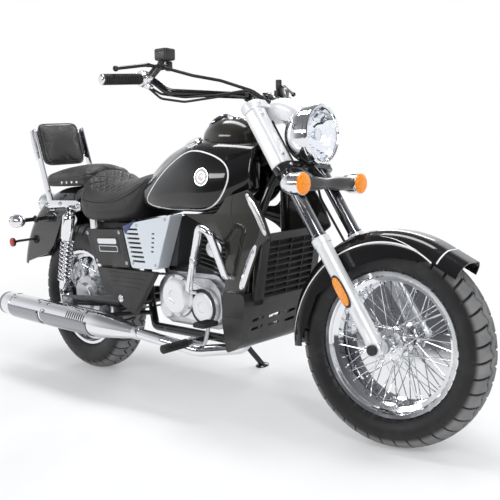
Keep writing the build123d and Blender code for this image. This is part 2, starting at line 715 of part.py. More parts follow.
CHAIN_Y = 87.0
CHAIN_HALF = 7.0
SPROCKET_R = 84.0
DRIVE = Vector(605, CHAIN_Y, 380)
DRIVE_R = 36.0
LINK_H = 11.0
nodes["rear_hub"] = nodes["rear_hub"] + (
    ring_plate(AXLE_R + AXLE_FIT, SPROCKET_R, CHAIN_Y - 3, CHAIN_Y + 3, REAR_AXLE)
    + ring_plate(AXLE_R + AXLE_FIT, 40, 60, CHAIN_Y, REAR_AXLE)
)


def loop_outline(radius_a, radius_b):
    """A belt round the rear sprocket and the drive sprocket, as a side-view face."""
    gap = DRIVE.X
    rise = DRIVE.Z - REAR_AXLE.Z
    span = math.hypot(gap, rise)
    tilt = math.degrees(math.atan2(rise, gap))
    spread = math.degrees(math.acos((radius_a - radius_b) / span))
    top_a = polar(REAR_AXLE, tilt + spread, radius_a)
    top_b = polar(DRIVE, tilt + spread, radius_b)
    low_a = polar(REAR_AXLE, tilt - spread, radius_a)
    low_b = polar(DRIVE, tilt - spread, radius_b)
    back = polar(REAR_AXLE, tilt + 180, radius_a)
    front = polar(DRIVE, tilt, radius_b)
    return make_face([
        Line(top_a, top_b),
        ThreePointArc(top_b, front, low_b),
        Line(low_b, low_a),
        ThreePointArc(low_a, back, top_a),
    ])


loop_face = loop_outline(SPROCKET_R + 1 + LINK_H, DRIVE_R + 1 + LINK_H) - loop_outline(SPROCKET_R + 1, DRIVE_R + 1)
nodes["chain"] = extrude(Plane.XZ.offset(-(CHAIN_Y + CHAIN_HALF)) * loop_face, amount=2 * CHAIN_HALF)


# ---- engine -------------------------------------------------------------
ENGINE_HALF = 124.0
ENGINE_LOW = CRADLE_Z + CRADLE_R + 8
crankcase = slab([
    (632, ENGINE_LOW),
    (905, ENGINE_LOW),
    (958, ENGINE_LOW + 45),
    (950, 430),
    (905, 474),
    (640, 474),
    (600, 430),
    (600, ENGINE_LOW + 35),
], -ENGINE_HALF, ENGINE_HALF, 18)
CYLINDER_FOOT = Vector(852, 0, 470)
CYLINDER_LEAN = math.radians(11)
bore_run = Vector(math.sin(CYLINDER_LEAN), 0, math.cos(CYLINDER_LEAN))
FIN_R = 84.0
FINS = 11
cylinder = rod(CYLINDER_FOOT - bore_run * 6, CYLINDER_FOOT + bore_run * 188, 62)
fins = [
    rod(CYLINDER_FOOT + bore_run * (14 + 15.5 * k), CYLINDER_FOOT + bore_run * (19 + 15.5 * k), FIN_R)
    for k in range(FINS)
]
engine = joined(crankcase, cylinder, *fins)
engine += rod((700, 0, 380), (DRIVE.X - 20, 0, DRIVE.Z), 40)
chain_room = slab([
    (DRIVE.X - 60, DRIVE.Z - DRIVE_R - 30), (DRIVE.X + DRIVE_R + 22, DRIVE.Z - DRIVE_R - 30),
    (DRIVE.X + DRIVE_R + 22, DRIVE.Z + DRIVE_R + 30), (DRIVE.X - 60, DRIVE.Z + DRIVE_R + 30),
], CHAIN_Y - CHAIN_HALF - 5, ENGINE_HALF + 1)
engine -= chain_room
engine += rod((DRIVE.X, CHAIN_Y - CHAIN_HALF - 8, DRIVE.Z), (DRIVE.X, CHAIN_Y + 4, DRIVE.Z), DRIVE_R)
CLUTCH = Vector(740, -ENGINE_HALF, 397)
ROTOR = Vector(790, ENGINE_HALF, 392)
engine += joined(
    rod(CLUTCH + Vector(0, 5, 0), CLUTCH - Vector(0, 34, 0), 74),
    cone(CLUTCH - Vector(0, 34, 0), CLUTCH - Vector(0, 46, 0), 66, 58),
    rod(CLUTCH + Vector(120, 5, -30), CLUTCH + Vector(120, -22, -30), 62),
)
engine += joined(
    rod(ROTOR - Vector(0, 5, 0), ROTOR + Vector(0, 30, 0), 76),
    cone(ROTOR + Vector(0, 30, 0), ROTOR + Vector(0, 40, 0), 70, 60),
)
port = CYLINDER_FOOT + bore_run * 128
PORT_END = port + Vector(96, -16, -8)
engine += rod(port, PORT_END, 27)
nodes["engine"] = engine

header = pipe([
    PORT_END,
    (1012, -36, 600),
    (1016, -44, 500),
    (1008, -48, 300),
    (962, -60, 222),
    (860, -168, 222),
    (700, -MUFFLER_Y, 242),
    (550, -MUFFLER_Y, 252.2),
], 20, [24, 60, 60, 34, 60, 120])
MUFFLER_FRONT = Vector(560, -MUFFLER_Y, 252)
MUFFLER_BACK = Vector(-402, -MUFFLER_Y, 272)
muffler_run = (MUFFLER_BACK - MUFFLER_FRONT).normalized()
muffler_length = (MUFFLER_BACK - MUFFLER_FRONT).length


def spun(profile):
    """A closed (distance along the muffler, radius) outline, turned about its axis."""
    plane = Plane(MUFFLER_FRONT, x_dir=muffler_run, z_dir=(0, -1, 0))
    face = plane * make_face(Polyline(*profile, close=True))
    return revolve(face, Axis(MUFFLER_FRONT, muffler_run), 360)


muffler = spun([
    (0, 0),
    (0, 23),
    (230, MUFFLER_R - 2),
    (muffler_length - 24, MUFFLER_R - 2),
    (muffler_length - 24, MUFFLER_R - 8),
    (muffler_length, MUFFLER_R - 8),
    (muffler_length, MUFFLER_R - 14),
    (muffler_length - 60, MUFFLER_R - 14),
    (muffler_length - 60, 0),
])
shield = spun([
    (270, MUFFLER_R - 10),
    (270, MUFFLER_R + 3),
    (muffler_length - 80, MUFFLER_R + 3),
    (muffler_length - 80, MUFFLER_R - 10),
]) & box((-600, -MUFFLER_Y - 80, 264), (600, -MUFFLER_Y + 12, 400))
exhaust = header + muffler + shield
nodes["exhaust"] = exhaust - hanger - rod(port, PORT_END, 27)


# ---- tank, seats, rear fender -------------------------------------------
def section(x, half, z_low, z_top, shoulder, belly=0.9):
    """A closed cross-section: flat bottom, two bowed sides and a bowed top."""
    height = z_top - z_low
    z_shoulder = z_low + shoulder * height
    y_shoulder = 0.66 * half
    outline = [
        Line((-belly * half, z_low), (belly * half, z_low)),
        ThreePointArc((belly * half, z_low), (half, z_low + 0.45 * shoulder * height), (y_shoulder, z_shoulder)),
        ThreePointArc((y_shoulder, z_shoulder), (0, z_top), (-y_shoulder, z_shoulder)),
        ThreePointArc((-y_shoulder, z_shoulder), (-half, z_low + 0.45 * shoulder * height), (-belly * half, z_low)),
    ]
    return Plane.YZ.offset(x) * make_face(outline)


TUNNEL_HALF = 34.0
TANK_STATIONS = [    # x, half-width, bottom, top, shoulder height as a share
    (546, 0.80, TANK_BOTTOM + 12, TANK_TOP - 90, 0.66),
    (650, 0.94, TANK_BOTTOM + 2, TANK_TOP - 34, 0.74),
    (780, 1.00, TANK_BOTTOM, TANK_TOP - 2, 0.86),
    (890, 0.99, TANK_BOTTOM, TANK_TOP, 0.88),
    (985, 0.84, TANK_BOTTOM + 18, TANK_TOP - 12, 0.88),
    (1066, 0.55, TANK_BOTTOM + 70, TANK_TOP - 32, 0.86),
]
tank = loft([
    section(x, share * TANK_HALF, low, high, shoulder)
    for x, share, low, high, shoulder in TANK_STATIONS
])
tank -= slab([
    (500, 640), (500, 750), (948, 874), (1100, 925), (1100, 640),
], -TUNNEL_HALF, TUNNEL_HALF)
tank -= box((500, -RAIL_Y, 640), (588, RAIL_Y, BACKBONE_END.Z + RAIL_R + 10))
nodes["fuel_tank"] = tank
pod_profile = make_face([
    EllipticalCenterArc((0, 0), 116, 72, start_angle=0, arc_size=180),
    Line((-116, 0), (116, 0)),
])
pod = Pos(905, 0, TANK_TOP - 8) * revolve(Plane.XZ * pod_profile, Axis.X, 360)
pod &= box((700, -90, TANK_TOP - 34), (1100, 90, TANK_TOP + 166))
nodes["gauge_pod"] = pod - tank

SEAT_STATIONS = [    # x, half-width share, bottom, top, shoulder share
    (556, 0.55, SEAT_SKIRT + 110, SEAT_TOP + 50, 0.80),
    (500, 0.84, SEAT_SKIRT + 22, SEAT_TOP + 26, 0.86),
    (400, 0.96, SEAT_SKIRT + 2, SEAT_TOP + 2, 0.88),
    (290, 1.00, SEAT_SKIRT, SEAT_TOP, 0.88),
    (215, 0.95, SEAT_SKIRT + 8, SEAT_TOP + 40, 0.86),
    (180, 0.84, SEAT_SKIRT + 44, SEAT_TOP + 70, 0.84),
]
seat = loft([
    section(x, share * SEAT_HALF, low, high, shoulder)
    for x, share, low, high, shoulder in SEAT_STATIONS
])
seat -= box((100, -(RAIL_Y + RAIL_R + 22), 500), (700, RAIL_Y + RAIL_R + 22, RAIL_Z + RAIL_R))
seat = seat - tank - frame
nodes["rider_seat"] = seat.solids().sort_by(SortBy.VOLUME)[-1]

FENDER_CENTRE = Vector(0, 0, REAR_TYRE_R + 18)
fender_top = FENDER_CENTRE.Z + REAR_FENDER_R + 1
PILLION_STATIONS = [    # x, half-width, bottom, top, shoulder share
    (180, 118, fender_top, PILLION_TOP, 0.8),
    (20, 118, fender_top, PILLION_TOP - 8, 0.8),
    (-120, 108, fender_top, PILLION_TOP - 22, 0.8),
    (-186, 84, fender_top + 4, PILLION_TOP - 46, 0.8),
]
nodes["pillion_seat"] = loft([
    section(x, half, low, high, shoulder) for x, half, low, high, shoulder in PILLION_STATIONS
]) - seat

REAR_SKIRT = [    # angle, radius of the lower edge
    (60, 330),
    (100, 330),
    (126, 250),
    (141, 262),
    (163, 404),
    (180, 420),
    (270, 200),
]
rear_arch = arch(REAR_FENDER_R, REAR_FENDER_HALF, 50, 200)
rear_fender = fender(FENDER_CENTRE, rear_arch, 84, 164, REAR_SKIRT)
nodes["rear_fender"] = rear_fender - frame

PAD_LEAN = math.radians(13.5)
pad_base = Vector(-122, 0, 874)
pad_up = Vector(-math.sin(PAD_LEAN), 0, math.cos(PAD_LEAN))
pad_back = Vector(-math.cos(PAD_LEAN), 0, -math.sin(PAD_LEAN))


def pad_point(up, back):
    """A side-view point up the backrest and back from its front face."""
    at = pad_base + pad_up * up + pad_back * back
    return (at.X, at.Z)


nodes["backrest_pad"] = slab([
    pad_point(0, 0), pad_point(PAD_HEIGHT, 0), pad_point(PAD_HEIGHT, PAD_THICK), pad_point(0, PAD_THICK),
], -PAD_WIDTH / 2, PAD_WIDTH / 2, 14)
SISSY_Y = RAIL_Y + RAIL_R
STRAP_T = 6.0
straps = []
for side in (-1, 1):
    low, high = sorted((side * SISSY_Y, side * (SISSY_Y + STRAP_T)))
    straps.append(slab([
        (-62, RAIL_Z - 12), (-104, RAIL_Z - 12), pad_point(PAD_HEIGHT - 22, 38), pad_point(PAD_HEIGHT - 22, 6),
    ], low, high))
back_plate = slab([
    pad_point(30, PAD_THICK), pad_point(PAD_HEIGHT - 22, PAD_THICK),
    pad_point(PAD_HEIGHT - 22, PAD_THICK + STRAP_T), pad_point(30, PAD_THICK + STRAP_T),
], -SISSY_Y - STRAP_T, SISSY_Y + STRAP_T)
ears = []
for side in (-1, 1):
    low, high = sorted((side * SISSY_Y, side * (SISSY_Y + STRAP_T)))
    ears.append(slab([
        pad_point(30, 10), pad_point(PAD_HEIGHT - 22, 10), pad_point(PAD_HEIGHT - 22, PAD_THICK + 3), pad_point(30, PAD_THICK + 3),
    ], low, high))
nodes["sissy_bar"] = joined(back_plate, *straps, *ears) - frame

struts = []
for side in (-1, 1):
    low, high = sorted((side * STRUT_Y, side * (STRUT_Y + 12)))
    struts.append(slab([
        (-98, 706), (-70, 726), (150, 726), (172, 716), (172, 690), (140, 680), (90, 680), (60, 700), (-70, 694),
    ], low, high, 8) - frame)
nodes["fender_rails"] = struts
nodes["rear_shocks"] = clear_of(shocks, *struts)

TAIL_Z = 700.0
tail_x = -(REAR_FENDER_R ** 2 - (TAIL_Z - FENDER_CENTRE.Z) ** 2) ** 0.5
tail_body = rod((tail_x + 40, 0, TAIL_Z), (tail_x - 70, 0, TAIL_Z), 46) - nodes["rear_fender"]
tail_body &= box((tail_x - 90, -60, TAIL_Z - 60), (tail_x + 60, 60, TAIL_Z + 60))
tail_body = tail_body.solids().sort_by(Axis.X)[0]
red = [Pos(tail_x - 70, 0, TAIL_Z) * Rot(0, 0, 180) * cap(16, 43, Vector(0, 0, 0))]
rear_signals = []
REAR_SIGNAL = Vector(-300, 176, 638)
MARKER = Vector(-392, 142, 538)
for side in (-1, 1):
    at = Vector(REAR_SIGNAL.X, side * REAR_SIGNAL.Y, REAR_SIGNAL.Z)
    body = Pos(*at) * Rot(0, 0, 180) * bulb(66, 30, Vector(0, 0, 0), 14)
    stalk = rod((at.X + 20, side * REAR_FENDER_HALF, at.Z), (at.X + 20, at.Y, at.Z), 9)
    arm = rod((MARKER.X + 50, side * REAR_FENDER_HALF, MARKER.Z + 8), (MARKER.X, side * MARKER.Y, MARKER.Z), 6)
    rear_signals.append(body + stalk)
    rear_signals.append(arm - nodes["rear_fender"])
    red.append(rod((MARKER.X, side * (MARKER.Y + 5), MARKER.Z), (MARKER.X, side * (MARKER.Y + 14), MARKER.Z), 20))
    red.append(Pos(*at) * Rot(0, 0, 180) * cap(10, 29, Vector(0, 0, 0)))
nodes["rear_lamps"] = [tail_body, *rear_signals]
nodes["red_lenses"] = red


# ---- side covers, radiator, belly ---------------------------------------
BOX_HALF = 108.0
air_box = slab([(222, 492), (222, 640), (560, 640), (742, 672), (700, 492)], -BOX_HALF, BOX_HALF)
air_box -= rod((0, -BOX_HALF - 1, REAR_AXLE.Z), (0, BOX_HALF + 1, REAR_AXLE.Z), REAR_TYRE_R + 14)
nodes["air_box"] = air_box - frame


def tray(outline, y_inner, y_outer, corner):
    """A cover pressed from sheet: a face and a rim that reaches in to the frame."""
    wire = FilletPolyline(*outline, radius=corner, close=True)
    face = make_face(wire)
    plane = Plane.XZ.offset(y_outer)
    shell = extrude(plane * face, amount=-(y_outer - y_inner))
    inside = extrude(Plane.XZ.offset(y_outer - SKIN) * offset(face, -SKIN), amount=-(y_outer - y_inner))
    return shell - inside


cover_out = COVER_Y + COVER_T
cover_top = SEAT_SKIRT - COVER_GAP
side_cover = tray([(231, cover_top), (468, cover_top + 7), (503, 482), (280, 486)], BOX_HALF, cover_out, 16)
louvre = tray([
    (474, cover_top + 13), (545, cover_top + 34), (756, TANK_BOTTOM - 5), (660, 485), (510, 482)
], BOX_HALF, cover_out, 12)
for k in range(7):
    z = 505 + 16 * k
    louvre -= box((514, -cover_out - 1, z), (590, -cover_out + SKIN + 1, z + 7))
lower = tray([(285, 474), (652, 474), (505, 306), (318, 384)], COVER_Y - 6, cover_out, 12)


nodes["side_covers"] = clear_of(pair(side_cover) + pair(louvre) + pair(lower), frame)

RADIATOR_HALF = 122.0
RADIATOR_T = 30.0
RADIATOR_LOW = 404.0
RADIATOR_HIGH = 610.0
RADIATOR_RAKE = 48.0


def radiator_x(z, ahead):
    """The x of a plane along the raked radiator."""
    return RADIATOR_X - 34 + ahead + RADIATOR_RAKE * (z - RADIATOR_LOW) / (RADIATOR_HIGH - RADIATOR_LOW)


def raked(z_low, z_high, back, front, y_half):
    """A slab that leans as the radiator does."""
    return slab([
        (radiator_x(z_low, back), z_low), (radiator_x(z_low, front), z_low),
        (radiator_x(z_high, front), z_high), (radiator_x(z_high, back), z_high),
    ], -y_half, y_half)


SHROUD_Y = 140.0
SHROUD_T = 8.0
side_panel = slab([
    (800, 684), (966, 686), (1022, 742), (1122, 764), (1176, 687), (1204, 620), (1156, 590), (1076, 440), (984, 436),
    (1004, 590), (950, 626),
], -(SHROUD_Y + SHROUD_T), -SHROUD_Y)
surround = raked(RADIATOR_LOW - 6, RADIATOR_HIGH + 14, RADIATOR_T, RADIATOR_T + 12, SHROUD_Y)
surround -= raked(RADIATOR_LOW + 12, RADIATOR_HIGH - 10, RADIATOR_T - 1, RADIATOR_T + 13, RADIATOR_HALF - 14)
grille = raked(RADIATOR_LOW + 12, RADIATOR_HIGH - 10, RADIATOR_T + 3, RADIATOR_T + 9, RADIATOR_HALF - 13)
slats = 9
slat_pitch = (RADIATOR_HIGH - RADIATOR_LOW - 22) / slats
for k in range(slats):
    z = RADIATOR_LOW + 12 + slat_pitch * k + 5
    grille -= raked(z, z + slat_pitch - 6, RADIATOR_T + 2, RADIATOR_T + 10, RADIATOR_HALF - 20)
core = raked(RADIATOR_LOW, RADIATOR_HIGH, 0, RADIATOR_T, RADIATOR_HALF)
radiator = core + surround + grille - frame
nodes["radiator"] = radiator
panels = clear_of(pair(side_panel), frame, tank, radiator)

belly_outline = [(975, 430), (1070, 430), (1076, 396), (1040, 252), (975, 226), (962, 330)]
belly_inner = [(940, 440), (1064, 440), (1070, 396), (1035, 256), (975, 232), (940, 232)]
belly = slab(belly_outline, -(SHROUD_Y + SHROUD_T), SHROUD_Y + SHROUD_T)
belly -= slab(belly_inner, -SHROUD_Y - SHROUD_T + SKIN, SHROUD_Y + SHROUD_T - SKIN)
nodes["radiator_shroud"] = [*panels, *clear_of([belly], frame, exhaust, radiator)]

CRASH_R = 12.5
crash = pipe([
    (822, -ENGINE_HALF + 4, 414), (838, -176, 430), (985, -238, 655), (1030, -238, 640), (1020, -172, 488), (1034, -84, 476),
], CRASH_R, [20, 26, 26, 26])
nodes["crash_bars"] = clear_of(pair(crash), engine, frame, *nodes["radiator_shroud"])

pegs = []
for side in (-1, 1):
    peg = rod((PEG_X, side * 226, PEG_Z), (PEG_X, side * 330, PEG_Z), 15)
    pegs.append(peg - frame)
pedal = joined(
    rod((PEG_X, -196, PEG_Z), (PEG_X, -214, PEG_Z), 16),
    pipe([(PEG_X, -205, PEG_Z), (935, -205, 262), (985, -225, 335)], 7, 30),
    box((948, -266, 334), (1006, -196, 348)),
)
shifter = joined(
    rod((PEG_X, 196, PEG_Z), (PEG_X, 214, PEG_Z), 16),
    pipe([(PEG_X, 205, PEG_Z), (935, 205, 262), (985, 215, 335)], 7, 30),
    rod((985, 208, 335), (985, 262, 335), 11),
)
nodes["foot_controls"] = [*pegs, pedal - frame, shifter - frame]

# ---- side stand ---------------------------------------------------------
floor_up = Vector(0, -math.sin(lean), math.cos(lean))
head_foot = STAND_PIVOT + STAND_TURN * 1.0
head_mid = head_foot + STAND_TURN * (STAND_HEAD_T / 2)
stand = joined(
    rod(head_foot, head_foot + STAND_TURN * STAND_HEAD_T, 16),
    rod(head_mid, stand_foot + floor_up * 7, 7),
    rod(head_mid + stand_down * 24, stand_foot + floor_up * 7, 11),
    rod(stand_foot, stand_foot + floor_up * 9, 27),
)
nodes["side_stand"] = stand - rod(
    STAND_PIVOT - STAND_TURN * 4, STAND_PIVOT + STAND_TURN * (STAND_HEAD_T + 3), STAND_PIN_R + AXLE_FIT
)

# ---- parking it ---------------------------------------------------------
def solids_of(shape):
    """The solids of a node as a plain list."""
    if isinstance(shape, list):
        return [solid for piece in shape for solid in piece.solids()]
    return list(shape.solids())


def compound_of(shape):
    """One shape to write: a lone solid, or a compound of the node's solids."""
    pieces = solids_of(shape)
    return pieces[0] if len(pieces) == 1 else Compound(children=pieces)


upright = {name: compound_of(shape) for name, shape in nodes.items()}
for name in steered:
    upright[name] = upright[name].rotate(STEER_AXIS, STEER_REST)

leaned = {name: shape.rotate(Axis.X, -LEAN) for name, shape in upright.items()}
settled = {name: shape.rotate(Axis.Y, PITCH) for name, shape in leaned.items()}
boxes = [shape.bounding_box() for shape in settled.values()]
low = Vector(*(min(getattr(b.min, axis) for b in boxes) for axis in "XYZ"))
high = Vector(*(max(getattr(b.max, axis) for b in boxes) for axis in "XYZ"))
SHIFT = Vector(-(low.X + high.X) / 2, -(low.Y + high.Y) / 2, -low.Z)
print("size", high - low, "pitch", PITCH, "shift", SHIFT)
print("stand foot z", stand_foot.Z)

os.makedirs("parts", exist_ok=True)
for name, shape in settled.items():
    export_step(shape.translate(SHIFT), f"parts/{name}.step")
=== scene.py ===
import json
import math
import bmesh
import bpy
from mathutils import Matrix, Vector
from mathutils.bvhtree import BVHTree


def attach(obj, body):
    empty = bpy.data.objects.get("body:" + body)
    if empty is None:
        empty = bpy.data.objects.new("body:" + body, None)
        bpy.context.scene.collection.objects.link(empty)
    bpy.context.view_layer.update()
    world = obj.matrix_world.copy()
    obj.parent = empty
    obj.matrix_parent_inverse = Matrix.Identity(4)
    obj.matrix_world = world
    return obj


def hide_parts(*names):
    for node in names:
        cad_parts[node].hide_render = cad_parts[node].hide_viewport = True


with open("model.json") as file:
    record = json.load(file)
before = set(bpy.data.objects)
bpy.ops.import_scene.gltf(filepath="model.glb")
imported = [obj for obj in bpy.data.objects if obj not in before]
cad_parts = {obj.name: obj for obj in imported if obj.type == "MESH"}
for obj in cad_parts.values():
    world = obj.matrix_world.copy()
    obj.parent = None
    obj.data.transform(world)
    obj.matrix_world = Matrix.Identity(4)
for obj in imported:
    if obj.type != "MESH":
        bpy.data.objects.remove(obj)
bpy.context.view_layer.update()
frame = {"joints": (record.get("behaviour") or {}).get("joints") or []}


# ---- Frame ---------------------------------------------------------------
# The cradle frame that carries everything: backbone, twin downtubes and seat rails of round steel
# tube, welded to a turned head tube and stove enamelled black. All pieces are drawn in millimetres on
# the upright bike; BIKE and FORK take such a point to its parked place, the second for what steers.
FRONT_AXLE = Vector((1535, 0, 302))
RAKE = math.radians(32.0)
UP_LEG = Vector((-math.sin(RAKE), 0, math.cos(RAKE)))
AHEAD = Vector((math.cos(RAKE), 0, math.sin(RAKE)))


def leg_point(s, y=0.0, forward=0.0):
    """A point s along the fork leg from the axle, y to the left, ahead of the leg."""
    return FRONT_AXLE + UP_LEG * s + AHEAD * forward + Vector((0, y, 0))


class Shape:
    """Points and faces; shapes add up to one shape."""

    def __init__(self, points=(), faces=()):
        self.points = [Vector(p) for p in points]
        self.faces = [tuple(f) for f in faces]

    def __add__(self, other):
        start = len(self.points)
        faces = self.faces + [tuple(start + i for i in f) for f in other.faces]
        return Shape(self.points + other.points, faces)

    def moved(self, matrix):
        return Shape([matrix @ p for p in self.points], self.faces)


def skin(rings, closed=True, loop=False, caps=True):
    """Faces between rings of equally many points."""
    count = len(rings[0])
    points = [p for ring in rings for p in ring]
    faces = []
    rows = len(rings)
    for r in range(rows if loop else rows - 1):
        for c in range(count if closed else count - 1):
            a, b = r * count + c, r * count + (c + 1) % count
            n = (r + 1) % rows
            faces.append((a, b, n * count + (c + 1) % count, n * count + c))
    if caps and closed and not loop:
        faces.append(tuple(range(count - 1, -1, -1)))
        faces.append(tuple((rows - 1) * count + c for c in range(count)))
    return Shape(points, faces)


def basis(direction):
    """Two unit vectors square to a direction."""
    direction = Vector(direction).normalized()
    helper = Vector((0, 1, 0)) if abs(direction.y) < 0.9 else Vector((1, 0, 0))
    side = helper.cross(direction).normalized()
    return side, direction.cross(side)


def lathe(profile, start, direction, steps=48, loop=False):
    """Turns (distance along, radius) points about a line. A loop closes on itself."""
    start, direction = Vector(start), Vector(direction).normalized()
    side, up = basis(direction)
    rings = []
    for along, radius in profile:
        centre = start + direction * along
        ring = []
        for k in range(steps):
            turn = 2 * math.pi * k / steps
            ring.append(centre + (side * math.cos(turn) + up * math.sin(turn)) * max(radius, 0.01))
        rings.append(ring)
    return skin(rings, loop=loop)


def rod(start, end, radius, steps=20, soft=0.0):
    """A round bar, with its two edges eased by a soft chamfer."""
    start, end = Vector(start), Vector(end)
    length = (end - start).length
    soft = min(soft, radius * 0.6, length * 0.3)
    profile = [(0, radius - soft), (soft, radius), (length - soft, radius), (length, radius - soft)]
    if soft == 0.0:
        profile = [(0, radius), (length, radius)]
    return lathe(profile, start, end - start, steps)


def eased(points, radius, steps=7):
    """A polyline with its corners rounded by arcs-like curves."""
    points = [Vector(p) for p in points]
    radii = radius if isinstance(radius, (list, tuple)) else [radius] * (len(points) - 2)
    route = [points[0]]
    for k in range(1, len(points) - 1):
        before, here, after = points[k - 1], points[k], points[k + 1]
        into, out = (before - here).normalized(), (after - here).normalized()
        half = max(into.angle(out) / 2, 0.01)
        reach = min(
            radii[k - 1] / math.tan(half), 0.48 * (before - here).length, 0.48 * (after - here).length
        )
        a, b = here + into * reach, here + out * reach
        for j in range(steps + 1):
            t = j / steps
            route.append(a * (1 - t) ** 2 + here * (2 * t * (1 - t)) + b * t ** 2)
    route.append(points[-1])
    return route


def tube(route, radius, steps=16, caps=True):
    """A round tube along a route; the radius may be a list, one for each point."""
    count = len(route)
    radii = radius if isinstance(radius, (list, tuple)) else [radius] * count
    rings = []
    side = None
    for k, point in enumerate(route):
        ahead_point = route[min(k + 1, count - 1)]
        behind_point = route[max(k - 1, 0)]
        along = (ahead_point - behind_point).normalized()
        if side is None:
            side, _ = basis(along)
        side = (side - along * side.dot(along)).normalized()
        up = along.cross(side)
        turns = [2 * math.pi * j / steps for j in range(steps)]
        rings.append([point + (side * math.cos(t) + up * math.sin(t)) * radii[k] for t in turns])
    return skin(rings, caps=caps)


BEVEL_ANGLE = math.radians(32)


def mesh_object(name, shape, matrix, bevel=0.0, segments=2):
    """A mesh from a shape, merged, bevelled where it is sharp, and set down by a matrix."""
    mesh = bpy.data.meshes.new(name)
    mesh.from_pydata([tuple(p) for p in shape.points], [], shape.faces)
    work = bmesh.new()
    work.from_mesh(mesh)
    bmesh.ops.remove_doubles(work, verts=work.verts, dist=0.004)
    bmesh.ops.recalc_face_normals(work, faces=work.faces)
    if bevel:
        sharp = [e for e in work.edges if e.is_manifold and e.calc_face_angle(0) > BEVEL_ANGLE]
        bmesh.ops.bevel(
            work, geom=sharp, offset=bevel, segments=segments, affect="EDGES", clamp_overlap=True, profile=0.6
        )
    bmesh.ops.transform(work, matrix=matrix, verts=work.verts)
    if matrix.determinant() < 0:
        bmesh.ops.reverse_faces(work, faces=work.faces)
    work.to_mesh(mesh)
    work.free()
    made = bpy.data.objects.new(name, mesh)
    bpy.context.scene.collection.objects.link(made)
    return made


def shade(made, angle=38):
    """Smooth faces, with edges sharper than the angle kept crisp."""
    made.data.shade_smooth()
    made.data.set_sharp_from_angle(angle=math.radians(angle))


def keep(made, body, material, replaces=()):
    """Gives a finished object its material, hangs it on its body and hides the parts it replaces."""
    made.data.materials.clear()
    made.data.materials.append(material)
    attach(made, body)
    if replaces:
        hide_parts(*replaces)
    return made


def turned_to(x, y, z):
    """The rotation that takes the three axes to these."""
    return Matrix((x, y, z)).transposed().to_4x4()


MM = 0.001
joints = {joint["name"]: joint for joint in frame["joints"]}
bike_left = Vector(joints["rear_wheel_spin"]["axis"]).normalized()
up_leg = Vector(joints["steering"]["axis"]).normalized()
steer_ahead = bike_left.cross(up_leg)
bike_fore = steer_ahead * math.cos(RAKE) - up_leg * math.sin(RAKE)
bike_up = steer_ahead * math.sin(RAKE) + up_leg * math.cos(RAKE)
REAR_AXLE = Vector((0, 0, 307))
rear_hub_at = Vector(joints["rear_wheel_spin"]["pos_m"])
floor_at = rear_hub_at - bike_up * (REAR_AXLE.z * MM)
BIKE = Matrix.Translation(floor_at) @ turned_to(bike_fore, bike_left, bike_up) @ Matrix.Scale(MM, 4)
STEER_REST = math.radians(7.6)
head_at = Vector(joints["steering"]["pos_m"])
FORK = (
    Matrix.Translation(head_at) @ Matrix.Rotation(STEER_REST, 4, up_leg)
    @ Matrix.Translation(-head_at) @ BIKE
)


def piece(name, shape, body, material, replaces=(), bevel=0.0, angle=38, segments=2):
    """One finished piece from a shape in the bike's frame."""
    matrix = FORK if body in ("steering", "front_wheel") else BIKE
    made = mesh_object(name, shape, matrix, bevel, segments=segments)
    shade(made, angle)
    return keep(made, body, material, replaces)


def maths(operation):
    """A method of Wire that adds one Math node."""
    return lambda wire, other=0.0: wire.combined(operation, wire, other)


class Wire:
    """A shader socket that takes Python arithmetic; each operator adds its Math node."""

    def __init__(self, paint, socket):
        self.paint, self.socket = paint, socket

    def combined(self, operation, first, second):
        return self.paint.node("ShaderNodeMath", {"operation": operation}, {0: first, 1: second})

    def __rsub__(self, other):
        return self.combined("SUBTRACT", other, self)

    __add__ = __radd__ = maths("ADD")
    __sub__ = maths("SUBTRACT")
    __mul__ = __rmul__ = maths("MULTIPLY")
    __truediv__ = maths("DIVIDE")
    __pow__ = maths("POWER")
    __gt__ = maths("GREATER_THAN")
    __lt__ = maths("LESS_THAN")
    sine = maths("SINE")
    size = maths("ABSOLUTE")
    fraction = maths("FRACT")
    angle = maths("ARCTAN2")
    most = maths("MAXIMUM")

    def ramp(self, low, high, to_low=0.0, to_high=1.0):
        return self.paint.node(
            "ShaderNodeMapRange", {"interpolation_type": "SMOOTHSTEP"},
            {"Value": self, "From Min": low, "From Max": high, "To Min": to_low, "To Max": to_high},
        )


def plug(tree, value, socket):
    """Gives a socket a wire or a value; a colour may leave out its alpha."""
    if isinstance(value, Wire):
        tree.links.new(value.socket, socket)
    elif isinstance(value, tuple) and len(value) == 3 and socket.type == "RGBA":
        socket.default_value = (*value, 1.0)
    else:
        socket.default_value = value


